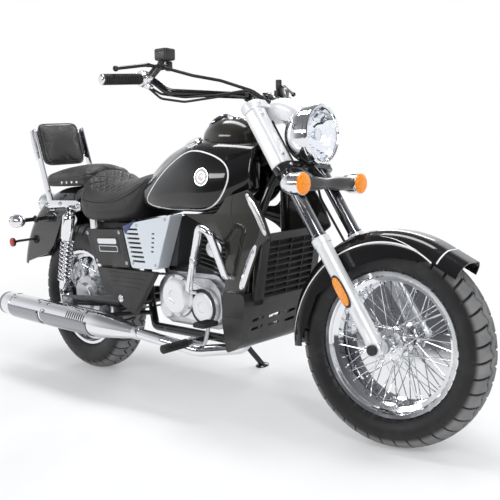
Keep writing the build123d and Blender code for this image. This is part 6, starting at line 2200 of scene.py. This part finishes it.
def stuffed(name, shape, swell, rest, voxel=0.005):
    """Foam under a cover: the form is remeshed, blown up a little as cloth and held where it rests."""
    made = mesh_object(name, shape, BIKE)
    remesh = made.modifiers.new("even", "REMESH")
    remesh.mode, remesh.voxel_size = "VOXEL", voxel
    applied(made)
    to_bike = BIKE.inverted()
    start = [v.co.copy() for v in made.data.vertices]
    for v in made.data.vertices:
        v.co -= v.normal * (0.35 * swell * MM)
    held = made.vertex_groups.new(name="held")
    held.add([v.index for v in made.data.vertices if rest(to_bike @ v.co)], 1.0, "REPLACE")
    cloth = made.modifiers.new("stuffing", "CLOTH")
    cloth.settings.use_pressure = True
    cloth.settings.uniform_pressure_force = 4.0
    cloth.settings.effector_weights.gravity = 0.0
    cloth.settings.vertex_group_mass = "held"
    cloth.settings.quality = 4
    cloth.point_cache.frame_end = FRAMES
    for k in range(1, FRAMES + 1):
        bpy.context.scene.frame_set(k)
    graph = bpy.context.evaluated_depsgraph_get()
    blown = made.evaluated_get(graph).data
    goals = [v.co.copy() for v in blown.vertices]
    made.modifiers.clear()
    for v, before, after in zip(made.data.vertices, start, goals):
        step = after - before
        limit = swell * MM
        v.co = before + (step if step.length < limit else step.normalized() * limit)
    made.vertex_groups.clear()
    bpy.context.scene.frame_set(1)
    return subdivided(made)


def sewn(made, depth_at):
    """Moves the cover in along its normals where its seams and quilting pull it down."""
    to_bike = BIKE.inverted()
    normals = [v.normal.copy() for v in made.data.vertices]
    for v, normal in zip(made.data.vertices, normals):
        at = to_bike @ v.co
        v.co -= normal * (depth_at(at, to_bike.to_3x3().normalized() @ normal) * MM)
    return made


def skin_of(made):
    """The finished mesh as a shape in the bike's frame."""
    to_bike = BIKE.inverted()
    return Shape(
        [to_bike @ v.co for v in made.data.vertices], [tuple(p.vertices) for p in made.data.polygons]
    )


def finish_cushion(made, material, node):
    """Shades a cushion, keeps it as a piece, and returns its form for what is laid on it."""
    shade(made, 70)
    keep(made, "frame", material, [node])
    return skin_of(made)


def groove(value, pitch, width):
    """1 on the lines a pitch apart, falling to 0 a width away."""
    off = abs((value / pitch + 0.5) % 1.0 - 0.5) * pitch
    return math.exp(-((off / width) ** 2))


SEAT_SEAM = [(196, 736), (280, 726), (352, 722), (430, 730), (500, 758), (548, 800)]


def seat_seam_z(x):
    """The height of the seam round the seat's skirt."""
    return spline(SEAT_SEAM, (x - 196) / 352.0)[1]


def seat_seams(at, normal):
    """Diamond quilting on the seat's dished top, and the seam round its skirt."""
    top = clamped((at.z - 742 + 0.10 * (at.x - 300)) / 10.0) * clamped(normal.z * 3.0)
    zone = clamped((430 - at.x) / 14.0) * clamped((at.x - 200) / 10.0) * clamped((132 - abs(at.y)) / 10.0)
    climb = at.x + 0.35 * max(0.0, at.z - 790)
    quilt = max(groove(climb + at.y, 38.0, 3.0), groove(climb - at.y, 38.0, 3.0))
    skirt = math.exp(-(((at.z - seat_seam_z(at.x)) / 2.4) ** 2)) * clamped((abs(at.y) - 60) / 20.0)
    return 4.2 * quilt * top * zone + 2.2 * skirt


def pillion_seams(at, normal):
    """The seam round the pillion pad's edge."""
    edge = math.exp(-(((at.z - 812 + 0.10 * (60 - at.x)) / 2.2) ** 2)) * clamped((abs(at.y) - 60) / 20.0)
    return 2.0 * edge


def piping(tree, route, radius, lift):
    """A round bead laid along rays cast onto a surface."""
    points = []
    for origin, direction in route:
        at, normal, _, _ = tree.ray_cast(origin, direction)
        if at is not None:
            if normal.dot(direction) > 0:
                normal = -normal
            points.append(at + normal * lift)
    return tube(points, radius, 8)


SEAT = [    # x, half-width, bottom, top, shoulder share
    (556, 97.9, 753, 840, 0.80),
    (500, 149.5, 665, 816, 0.86),
    (400, 170.9, 645, 792, 0.88),
    (290, 178.0, 643, 790, 0.88),
    (215, 169.1, 651, 830, 0.86),
    (180, 149.5, 687, 860, 0.84),
]
PILLION = [
    (180, 118, 776, 864, 0.8),
    (20, 118, 776, 856, 0.8),
    (-120, 108, 776, 842, 0.8),
    (-186, 84, 780, 818, 0.8),
]
rider_object = stuffed("rider_seat_cover", cushion(SEAT, 120, 26), 8.0, lambda at: at.z < 690 or at.x > 548)
sewn(rider_object, seat_seams)
seat_leather = leather_material("seat_vinyl", (0.020, 0.019, 0.019), (0.038, 0.036, 0.035))
rider = finish_cushion(rider_object, seat_leather, "rider_seat")
pillion_object = stuffed("pillion_seat_cover", cushion(PILLION, 70, 30), 7.0, lambda at: at.z < 782)
sewn(pillion_object, pillion_seams)
pillion = finish_cushion(pillion_object, seat_leather, "pillion_seat")
rider_tree, pillion_tree = tree_of(rider), tree_of(pillion)
beads = Shape()
for side in (-1, 1):
    beads += piping(rider_tree, side_route(SEAT_SEAM, side, False, 90), 2.6, 0.3)
    beads += piping(
        pillion_tree,
        side_route([(170, 812), (60, 808), (-60, 802), (-150, 796), (-178, 794)], side, False, 70), 2.6, 0.2
    )
piece("seat_piping", beads, "frame", seat_leather, angle=60)
studs = Shape()
for side in (-1, 1):
    for k in range(4):
        x = 112 - 38 * k
        at, normal, _, _ = pillion_tree.ray_cast(Vector((x, side * 300, 797)), Vector((0, -side, 0)))
        if at is not None:
            if normal.y * side < 0:
                normal = -normal
            studs += lathe([(-1, 6.4), (0.6, 6.4), (2.4, 5.2), (3.6, 3.0), (4.0, 0.2)], at, normal, 24)
piece("seat_studs", studs, "frame", chrome, angle=50)


# ---- Backrest ------------------------------------------------------------
# The pillion's backrest: a foam pad covered in paler vinyl and piped round its edge, on a chromed
# plate and two flat steel straps bolted to the rails, with cap nuts on the back.
pad_base = Vector((-122, 0, 874))
PAD_LEAN = math.radians(13.5)
pad_up = Vector((-math.sin(PAD_LEAN), 0, math.cos(PAD_LEAN)))
pad_back = Vector((-math.cos(PAD_LEAN), 0, -math.sin(PAD_LEAN)))


def pad_at(up, back, y=0.0):
    """A point up the leaning pad, behind its front plane and across it."""
    return pad_base + pad_up * up + pad_back * back + Vector((0, y, 0))


SQUARENESS = 8


def squircle(t, half_y, half_up):
    """A point (y, up) on a round-cornered square, at an angle."""
    c, s = math.cos(t), math.sin(t)
    norm = (abs(c) ** SQUARENESS + abs(s) ** SQUARENESS) ** (1 / SQUARENESS)
    return half_y * c / norm, half_up * s / norm


PAD_HALF_Y, PAD_HALF_UP = 95.5, 89.5


def pad_shape():
    """A grid on each face, squeezed into a round-cornered square and domed towards its middle."""
    front, back = [], []
    across, along = 40, 36
    for k in range(along + 1):
        f_row, b_row = [], []
        for j in range(across + 1):
            su, sv = 2 * j / across - 1, 2 * k / along - 1
            edge = max(abs(su), abs(sv))
            norm = (abs(su) ** SQUARENESS + abs(sv) ** SQUARENESS) ** (1 / SQUARENESS)
            scale = edge / norm if norm > 0 else 1.0
            y, up = PAD_HALF_Y * su * scale, 90 + PAD_HALF_UP * sv * scale
            puff = max(0.0, 1 - edge ** 4) ** 0.5
            f_row.append(pad_at(up, 20 - 19.5 * puff, y))
            b_row.append(pad_at(up, 20 + 25.0 * min(1.0, puff * 3), y))
        front.append(f_row)
        back.append(b_row)
    return skin(front, closed=False) + skin([list(reversed(r)) for r in back], closed=False)


def pad_seams(at, normal):
    """A shallow channel inside the pad's edge, on its front face."""
    up, across = (at - pad_base).dot(pad_up) - 90, at.y
    reach = abs(across / PAD_HALF_Y) ** SQUARENESS + abs(up / PAD_HALF_UP) ** SQUARENESS
    reach **= 1 / SQUARENESS
    return 1.8 * math.exp(-(((reach - 0.86) / 0.022) ** 2)) * clamped(-normal.dot(pad_back) * 3)


pad_object = stuffed(
    "backrest_cushion", pad_shape(), 6.0, lambda at: (at - pad_base).dot(pad_back) > 42, 0.004
)
sewn(pad_object, pad_seams)
pad_leather = leather_material("pad_vinyl", (0.034, 0.033, 0.034), (0.052, 0.051, 0.051), 760.0)
finish_cushion(pad_object, pad_leather, "backrest_pad")
pad_edge = [squircle(2 * math.pi * k / 120, 95.0, 89.0) for k in range(121)]
edge_bead = [pad_at(90 + up, 20, y) for y, up in pad_edge]
piece("backrest_piping", tube(edge_bead, 2.8, 8, caps=False), "frame", pad_leather)
bar_shape = Shape()
for side in (-1, 1):
    corner_a, corner_b = pad_at(158, 38), pad_at(158, 6)
    outline = smooth_outline(
        [(-62, 681), (-104, 681), (corner_a.x, corner_a.z), (corner_b.x, corner_b.z)], [8, 8, 14, 14], 5
    )
    bar_shape += slab(outline, side * 114.0, side * 120.0)
    ear = [pad_at(up, back) for up, back in ((30, 10), (158, 10), (158, 49), (30, 49))]
    bar_shape += slab([(p.x, p.z) for p in ear], side * 114.0, side * 120.0)
plate_edge = [squircle(2 * math.pi * k / 72, 120, 64) for k in range(72)]
bar_shape += skin([[pad_at(94 + up, 46.2 + d, y) for y, up in plate_edge] for d in (0, 5.7)])
piece("sissy_bar_chrome", bar_shape, "frame", chrome, ["sissy_bar"], bevel=1.2)
nuts = Shape()
for up, y in ((60, -60), (60, 60), (128, 0)):
    nuts += lathe([(0, 9), (1.6, 9), (1.6, 7), (5, 7), (8.5, 5), (10, 0.2)], pad_at(up, 40, y), -pad_back, 18)
for side in (-1, 1):
    for x, z in ((-78, 693), (-86, 760)):
        cap_nut = [(0, 10), (1.5, 10), (1.5, 7.6), (6, 7.4), (9, 5), (10, 0.3)]
        nuts += lathe(cap_nut, (x, side * 120, z), (0, side, 0), 20)
piece("backrest_bolts", nuts, "frame", bolt_steel, angle=30)


# ---- Rear fender and rails -----------------------------------------------
# The broad rear mudguard, pressed from steel sheet and sprayed gloss black. It is bolted between two
# flat chromed rails, which also hold the shock absorbers and the seat.
REAR_SKIRT = [(60, 330), (100, 330), (126, 250), (141, 262), (163, 404), (180, 420)]
FENDER_CENTRE, FENDER_R = Vector((0, 0, 325)), 450.0
rear_rows = [(angle, 0.0, skirt_radius(REAR_SKIRT, angle)) for angle in range(164, 83, -1)]
rear_fender = fender_shell(FENDER_CENTRE, FENDER_R, 90.0, 50.0, rear_rows)
piece("rear_fender_shell", rear_fender, "frame", gloss_black, ["rear_fender"], angle=40)
RAIL_PLATE = [
    (-98, 706), (-70, 726), (150, 726), (172, 716), (172, 690), (140, 680), (90, 680), (60, 700), (-70, 694),
]
rails = Shape()
for side in (-1, 1):
    rails += slab(smooth_outline(RAIL_PLATE, 10, 5), side * 132.0, side * 144.0)
piece("fender_rail_chrome", rails, "frame", chrome, ["fender_rails"], bevel=2.4, segments=3)
rail_bolts = Shape()
for side in (-1, 1):
    for x, z, size in ((-78, 708, 7.5), (24, 713, 6.0), (120, 693, 10.5), (152, 706, 6.0)):
        dome = [(0, size + 3), (1.4, size + 3), (1.4, size), (5, size), (8, size * 0.6), (9, 0.3)]
        rail_bolts += lathe(dome, (x, side * 144, z), (0, side, 0), 24)
piece("fender_rail_bolts", rail_bolts, "frame", bolt_steel, angle=30)


# ---- Rear lamps ----------------------------------------------------------
# A round tail lamp in a chrome shell, bolted to the mudguard, two bullet signals on enamelled stalks,
# and two red reflectors on thin bent arms, all with moulded red lenses that snap in.
TAIL_Z = 700
tail_x = -math.sqrt(FENDER_R ** 2 - (TAIL_Z - FENDER_CENTRE.z) ** 2)
TAIL = Vector((tail_x - 70, 0, TAIL_Z))
reds, black_arms = Shape(), Shape()
lamps = lathe([
    (-78, 30), (-70, 40), (-40, 45.6), (-8, 45.8), (-6, 44.4), (-3, 44.4), (-2, 45.8), (1.5, 45.4), (3, 43)
], TAIL, (-1, 0, 0), 64)
reds += lathe(bulged(43.0, 15.4), TAIL, (-1, 0, 0), 64)
for side in (-1, 1):
    at = Vector((-300, side * 176, 638))
    lamps += lathe(cup(30.0, 66.0, 14.0), at, (-1, 0, 0), 48)
    reds += lathe(bulged(28.6, 9.8), at, (-1, 0, 0), 48)
    black_arms += rod((at.x + 20, side * 90, at.z), (at.x + 20, side * 164, at.z), 9, 24)
    black_arms += lathe([(0, 17), (4, 16), (12, 10), (14, 9)], (at.x + 20, side * 89, at.z), (0, side, 0), 28)
    mark = Vector((-392, side * 142, 538))
    bend = [
        (mark.x + 50, side * 88, mark.z + 8), (mark.x + 16, side * 128, mark.z + 4),
        (mark.x, side * 143, mark.z),
    ]
    black_arms += tube(eased(bend, 20), 5.6, 16)
    mark.y += side * 4
    black_arms += lathe([(-3, 19), (4, 20), (5, 20), (6, 18.5)], mark, (0, side, 0), 40)
    reds += lathe([(5.4, 18.4), (9.0, 18.2), (9.8, 15.0), (9.9, 0.2)], mark, (0, side, 0), 40)
piece("rear_lamp_chrome", lamps, "frame", chrome, ["rear_lamps"], angle=30)
piece("rear_lamp_stalks", black_arms, "frame", frame_black)
# The red lenses get a fainter painted glow.
red_lens = lens_material("red_lens", (0.70, 0.012, 0.012), painted_glow=0.12)
piece("red_lens_plastic", reds, "frame", red_lens, ["red_lenses"], angle=46)


# ---- Side covers ---------------------------------------------------------
# Three moulded covers a side, pushed into grommets and held by bright screws. The upper one is satin
# black with a blank plate in a tray, the middle one silver with louvres cut through to a black backing
# plate, and the lower one is ribbed and has a key lock.
def rim_about(outline, corner):
    """A rounded outline, and the mean x and z of its points."""
    rim = smooth_outline(outline, corner, 6)
    return rim, sum(x for x, _ in rim) / len(rim), sum(z for _, z in rim) / len(rim)


def pressed(outline, side, y_out, y_in, corner):
    """A cover with an eased rim and a slightly crowned face."""
    rim, cx, cz = rim_about(outline, corner)
    rings = []
    for y, share in (
        (y_in, 1.0), (y_out - 5.0, 1.0), (y_out - 2.4, 0.996), (y_out - 0.6, 0.985), (y_out, 0.965),
        (y_out, 0.93),
    ):
        rings.append([Vector((cx + (x - cx) * share, side * y, cz + (z - cz) * share)) for x, z in rim])
    return skin(rings)


def seam(outline, side, y_out, corner, share):
    """A thin raised line that follows a cover's edge."""
    width, depth = 2.0, 0.7
    rim, cx, cz = rim_about(outline, corner)
    rows = []
    for x, z in rim:
        out = Vector((x - cx, 0, z - cz))
        base = Vector((cx, side * y_out, cz)) + out * share
        edge, rise = base - out.normalized() * width, Vector((0, side * depth, 0))
        rows.append([base, base + rise, edge + rise, edge])
    return skin(rows, loop=True)


UPPER = [(231, 617), (468, 624), (503, 482), (280, 486)]
LOUVRE = [(474, 630), (545, 651), (756, 681), (660, 485), (510, 482)]
LOWER = [(285, 474), (652, 474), (505, 306), (318, 384)]
covers_dark, covers_silver, cover_bolts, seams = Shape(), Shape(), Shape(), Shape()
for side in (-1, 1):
    covers_dark += pressed(UPPER, side, 167.6, 110, 16)
    seams += seam(UPPER, side, 167.4, 16, 0.86)
    covers_silver += pressed(LOUVRE, side, 166.0, 110, 12)
    for spots, y, head in (
        (((246, 604), (452, 612), (486, 500), (296, 500)), 167.2,
         [(0, 7), (2, 7), (3.2, 5.4), (3.2, 3), (1.2, 2.8), (1.2, 0)]),
        (((560, 640), (724, 664), (654, 500), (522, 500)), 165.8,
         [(0, 6), (1.6, 6), (2.6, 4.6), (2.6, 2.6), (1.0, 2.4), (1.0, 0)]),
    ):
        for x, z in spots:
            cover_bolts += lathe(head, (x, side * y, z), (0, side, 0), 18)
piece("side_cover_upper", covers_dark, "frame", satin_black, ["side_covers"], angle=34)
piece("side_cover_seams", seams, "frame", satin_black)
long_slot = smooth_outline([(521.3, 506), (595.3, 506), (595.3, 513.5), (521.3, 513.5)], 3.7, 4)
short_slot = smooth_outline([(634, 546), (649, 546), (649, 552), (634, 552)], 2.8, 4)
louvres = mesh_object("side_cover_louvred", covers_silver, BIKE)
for side in (-1, 1):
    for slot, count, step in ((long_slot, 8, (-4.62, 0, 16.5)), (short_slot, 5, (3, 0, 16))):
        cut(louvres, stepped_copies("slot_cutters", slab(slot, side * 156, side * 175), count, step))
shade(louvres, 34)
silver_panel = metal(
    "silver_panel", (0.74, 0.79, 0.84), 0.30, 0.06, grain=0.05, grain_scale=2400.0, shine=0.55
)
keep(louvres, "frame", silver_panel)
backing = Shape()
for side in (-1, 1):
    backing += slab([(486, 496), (500, 640), (690, 664), (640, 496)], side * 152, side * 157)
piece("louvre_backing", backing, "frame", core_black)
lower = pressed(LOWER, -1, 166.5, 146, 12) + pressed(LOWER, 1, 166.5, 146, 12)
piece("side_cover_lower", lower, "frame", plastic, angle=34)
ribs = Shape()
for side in (-1, 1):
    for k in range(4):
        x0, x1, z0 = 352 + 10 * k, 604 - 20 * k, 462 - 17 * k
        rib = smooth_outline([(x0, z0 - 4.5), (x1, z0 - 4.5), (x1, z0), (x0, z0)], 2, 3)
        rings = [
            [Vector((x, side * 166.3, z)) for x, z in rib],
            [Vector((x0 + 2 + (x - x0) * 0.985, side * 168.0, z - 0.2)) for x, z in rib],
        ]
        ribs += skin(rings)
piece("lower_cover_ribs", ribs, "frame", plastic)
lock = Shape()
for side in (-1, 1):
    lock += lathe(
        [(0, 15), (2.2, 15), (3.6, 13), (3.6, 9.6), (2.0, 9.0), (2.0, 2.6), (3.0, 2.2), (3.0, 0.2)],
        (430, side * 165.6, 362), (0, side, 0), 40
    )
piece("cover_locks", lock, "frame", bolt_steel, angle=30)
piece("cover_bolts", cover_bolts, "frame", bolt_steel, angle=30)
blank, plate_trays = Shape(), Shape()
for side in (-1, 1):
    tray = smooth_outline([(296, 590), (440, 596), (452, 532), (310, 528)], 8, 5)
    plate_trays += slab(tray, side * 167.0, side * 168.6)
    plate = smooth_outline([(308, 584), (430, 588), (433, 568), (312, 565)], 8, 5)
    blank += slab(plate, side * 168.4, side * 169.6)
    tray_rim = smooth_outline([(316, 558), (435, 561), (440, 539), (320, 535)], 5, 5)
    centre_x, centre_z = 378, 548
    inner_rim = [(centre_x + (x - centre_x) * 0.95, centre_z + (z - centre_z) * 0.78) for x, z in tray_rim]
    rows = [
        [Vector((x, side * y, z)) for (x, z), y in ((out, 168.4), (out, 169.8), (inn, 169.8), (inn, 168.4))]
        for out, inn in zip(tray_rim, inner_rim)
    ]
    blank += skin(rows, loop=True)
piece("cover_plate_trays", plate_trays, "frame", plastic, bevel=0.6)
piece("cover_blank_plates", blank, "frame", polished, angle=30)
wedge = Shape()
for side in (-1, 1):
    wedge += slab(smooth_outline([(474, 634), (552, 656), (488, 606)], 4, 3), side * 160.0, side * 166.8)
blue_panel = lacquer("blue_enamel", (0.012, 0.035, 0.16), 0.28)
piece("cover_blue_wedges", wedge, "frame", blue_panel, bevel=0.8)


# ---- Guard bars and foot controls ----------------------------------------
# Chromed tubular guards, bent in one run and bolted to the frame at lugs, with a black horn under a
# silver cap on the right one. The footrests and both pedals are forged steel, pinned on, with ribbed
# rubber pressed over them.
GUARD = [
    (822, 120, 414), (838, 176, 430), (985, 238, 655), (1030, 238, 640), (1020, 172, 488), (1034, 84, 476)
]
guards, lugs = Shape(), Shape()
for side in (-1, 1):
    points = [on_side(point, side) for point in GUARD]
    guards += tube(eased(points, [20, 26, 26, 26], 10), 12.4, 32)
    lugs += lathe([(0, 17), (4, 17), (5, 13)], (822, side * 122, 414), (0.3, side, 0.28), 28)
    low, high = points[1], points[2]
    lugs += lathe([(-8, 12.6), (-7, 13.8), (7, 13.8), (8, 12.6)], low.lerp(high, 0.5), high - low, 32)
piece("guard_bar_chrome", guards, "frame", chrome, ["crash_bars"])
piece("guard_bar_clamps", lugs, "frame", bolt_steel)
horn_at, horn_way = Vector((972, -150, 577)), Vector((0.30, -0.95, 0.0)).normalized()
horn = lathe(
    [(0, 24), (4, 27), (10, 31), (13, 31.4), (15, 30), (15.4, 27)], horn_at + horn_way * 14, horn_way, 56
)
horn_cap = lathe(
    [(0, 28), (3, 28), (6, 24), (9, 16), (10.5, 8), (11, 0.2)], horn_at + horn_way * 28, horn_way, 56
)
horn_stay = rod(horn_at - horn_way * 4, horn_at + horn_way * 16, 9, 20, 1.0)
piece("horn_body", horn + horn_stay, "frame", frame_black, angle=30)
piece("horn_cap", horn_cap, "frame", silver, angle=40)
pegs, pedals = Shape(), Shape()
for side in (-1, 1):
    foot = Vector((870, side * 226, 264))
    profile = [(0, 12), (2, 14.6)]
    for k in range(10):
        low = 6 + 9.4 * k
        profile += [(low, 14.8), (low + 1.0, 12.6), (low + 3.4, 12.6), (low + 4.4, 14.8)]
    profile += [(101, 14.8), (103.5, 13), (104, 9)]
    pegs += lathe(profile, foot, (0, side, 0), 36)
    pedals += lathe(
        [(-8, 13), (-6, 15.8), (8, 15.8), (9, 13)], Vector((870, side * 205, 264)), (0, side, 0), 32
    )
    arm_end = (985, side * (225 if side < 0 else 215), 335)
    pedals += tube(
        eased([(870, side * 205, 264), (935, side * 205, 262), arm_end], 30, 10), [7.0] * 12 + [6.6], 20
    )
pad_x, pad_y = 977, -231
pad_rim = smooth_outline([(949, -265), (1005, -265), (1005, -197), (949, -197)], 9, 5)
pegs += skin([
    [Vector((pad_x + (x - pad_x) * grow, pad_y + (y - pad_y) * grow, z)) for x, y in pad_rim]
    for z, grow in ((334, 0.95), (336, 1.0), (346, 1.0), (348, 0.95))
])
for k in range(6):
    x = 957 + 8 * k
    pegs += tube([Vector((x, -258, 348)), Vector((x, -204, 348))], 1.8, 8)
shift = [(0, 8), (1.5, 10.8)]
for k in range(5):
    shift += [(6 + 9 * k, 10.8), (7 + 9 * k, 9.4), (10 + 9 * k, 9.4), (11 + 9 * k, 10.8)]
shift += [(52.5, 10.8), (54, 8)]
pegs += lathe(shift, (985, 208, 335), (0, 1, 0), 32)
piece("peg_rubbers", pegs, "frame", rubber, ["foot_controls"], angle=30)
piece("pedal_arms", pedals, "frame", steel, angle=50)


# ---- Side stand ----------------------------------------------------------
# The side stand: a forged steel leg with a pressed foot plate, enamelled black, that swings on a
# pivot bolt under the left frame tube.
FOOT_X, FOOT_Y = 702.0, 285.0
leg_lean = math.radians(8.0)
stand_foot = Vector((FOOT_X, FOOT_Y, 38.57))
head_foot = STAND_PIVOT + stand_turn * 1.0
head_mid = head_foot + stand_turn * 7.0
stand_down = (stand_foot - STAND_PIVOT).normalized()
floor_up = Vector((0, -math.sin(leg_lean), math.cos(leg_lean)))
stand = lathe([(0, 14.5), (1.2, 15.9), (12.8, 15.9), (14, 14.5)], head_foot, stand_turn, 40)
top = head_mid + stand_down * 14
low_end = stand_foot + floor_up * 7
spine = [top, head_mid + stand_down * 40, head_mid.lerp(low_end, 0.6), low_end]
stand += tube(
    [Vector(spline([tuple(p) for p in spine], k / 24)) for k in range(25)],
    [9.5 + 1.5 * min(1, k / 4) for k in range(25)], 24
)
stand += lathe([(0.2, 24), (1.2, 26.6), (4, 26.6), (7, 22), (9, 14)], stand_foot, floor_up, 40)
piece("side_stand_forging", stand, "side_stand", frame_black, ["side_stand"], angle=40)


# ---- Camera, floor and light ---------------------------------------------
# A camera ahead of the bike and to its right, a pale studio floor that fades to white, and broad soft
# lamps above, ahead, aside and behind at a plain level. What is seen or mirrored past the floor is
# set apart from the light on the bike.
def area_light(name, at, toward, width, height, power):
    """A rectangular white lamp that faces a point."""
    data = bpy.data.lights.new(name, "AREA")
    data.shape = "RECTANGLE"
    data.size, data.size_y = width, height
    data.energy = power
    made = bpy.data.objects.new(name, data)
    bpy.context.scene.collection.objects.link(made)
    direction = (Vector(toward) - Vector(at)).normalized()
    facing = direction.to_track_quat("-Z", "Y").to_matrix().to_4x4()
    made.matrix_world = Matrix.Translation(Vector(at)) @ facing
    return made


def floor_material():
    """Pale studio floor: it keeps the shadow close by and fades to the backdrop's white."""
    paint = Paint("floor_concrete", specular_ior_level=0.2)
    wander = paint.noise(1.3, 4.0).ramp(0.3, 0.7)
    paint.set(
        base_color=paint.blend(wander, (0.78, 0.78, 0.79), (0.84, 0.84, 0.84)),
        roughness=wander.ramp(0.0, 1.0, 0.62, 0.75)
    )
    paint.bump(paint.noise(160.0, 4.0), 0.05, 0.0006)
    x, y = paint.along((0, 0, 0), (1, 0, 0)), paint.along((0, 0, 0), (0, 1, 0))
    away = (x * x + y * y) ** 0.5
    seen = paint.node("ShaderNodeLightPath", output="Is Camera Ray").most(
        paint.node("ShaderNodeLightPath", output="Is Glossy Ray")
    )
    white = paint.node("ShaderNodeEmission", None, {"Color": (1.0, 1.0, 1.0), "Strength": 1.0})
    plain = Wire(paint, paint.shader.outputs[0])
    return paint.finish(paint.node(
        "ShaderNodeMixShader", None, {0: seen * away.ramp(0.9, 3.2, 0.25, 1.0), 1: plain, 2: white}
    )).material


world = bpy.data.worlds.new("sky")


class Sky(Paint):
    """The world's own node tree, read by direction."""

    def __init__(self, world):
        self.start(world)
        self.place = self.node("ShaderNodeTexCoord", output="Generated")


camera = bpy.data.objects.new("camera", bpy.data.cameras.new("camera"))
bpy.context.scene.collection.objects.link(camera)
camera.data.sensor_width = 36.0
camera.data.lens = 57.23
eye = Vector((2869.24, -1860.40, 888.69))
yaw, pitch, roll = 0.77334, 0.12686, -0.060619
look = Vector((-math.cos(yaw) * math.cos(pitch), math.sin(yaw) * math.cos(pitch), -math.sin(pitch)))
flat_right = look.cross(Vector((0, 0, 1))).normalized()
flat_up = flat_right.cross(look)
right_hand = flat_right * math.cos(roll) + flat_up * math.sin(roll)
upward = flat_up * math.cos(roll) - flat_right * math.sin(roll)
turn_only = BIKE.to_3x3().normalized()
right_hand, upward, back = ((turn_only @ v).normalized() for v in (right_hand, upward, -look))
camera.matrix_world = Matrix.Translation(BIKE @ eye) @ turned_to(right_hand, upward, back)
bpy.context.scene.camera = camera
area_light("strip_above", (-0.1, 0.35, 3.1), (-0.1, 0.0, 0.4), 2.8, 0.7, 62.0)
area_light("strip_ahead", (3.1, -1.5, 2.3), (0.2, 0, 0.5), 0.55, 2.0, 42.0)
area_light("strip_aside", (-1.2, -3.5, 2.4), (-0.1, 0, 0.5), 2.4, 0.5, 36.0)
area_light("panel_behind", (-1.4, 3.4, 2.0), (0, 0, 0.6), 2.2, 1.0, 40.0)
FLOOR_HALF = 40
floor_points = [(x * FLOOR_HALF, y * FLOOR_HALF, 0) for x, y in ((-1, -1), (1, -1), (1, 1), (-1, 1))]
floor = mesh_object("floor", Shape(floor_points, [(0, 1, 2, 3)]), Matrix.Identity(4))
floor.data.materials.append(floor_material())
bpy.context.scene.world = world
sky = Sky(world)
beyond = sky.along((0, 0, 0), tuple(Vector((-back.x, -back.y, 0)).normalized()))
rise = sky.along((0, 0, 0), (0, 0, 1))
room = sky.blend(beyond.ramp(-0.45, 0.35), (0.10, 0.10, 0.11), (0.90, 0.91, 0.93))
room = sky.blend(rise.ramp(0.30, 0.75), room, (0.22, 0.22, 0.23))
lit = sky.node("ShaderNodeBackground", None, {"Color": (0.55, 0.56, 0.58), "Strength": 1.0})
mirrored = sky.node("ShaderNodeBackground", None, {"Color": room, "Strength": 1.0})
white = sky.node("ShaderNodeBackground", None, {"Color": (1.0, 1.0, 1.0), "Strength": 1.0})
glossy = sky.node(
    "ShaderNodeMixShader", None,
    {0: sky.node("ShaderNodeLightPath", output="Is Glossy Ray"), 1: lit, 2: mirrored}
)
clear = sky.node("ShaderNodeLightPath", output="Is Camera Ray").most(
    sky.node("ShaderNodeLightPath", output="Is Transmission Ray")
)
sky.finish(sky.node("ShaderNodeMixShader", None, {0: clear, 1: glossy, 2: white}), "ShaderNodeOutputWorld")
bpy.context.scene.view_settings.view_transform = "Standard"
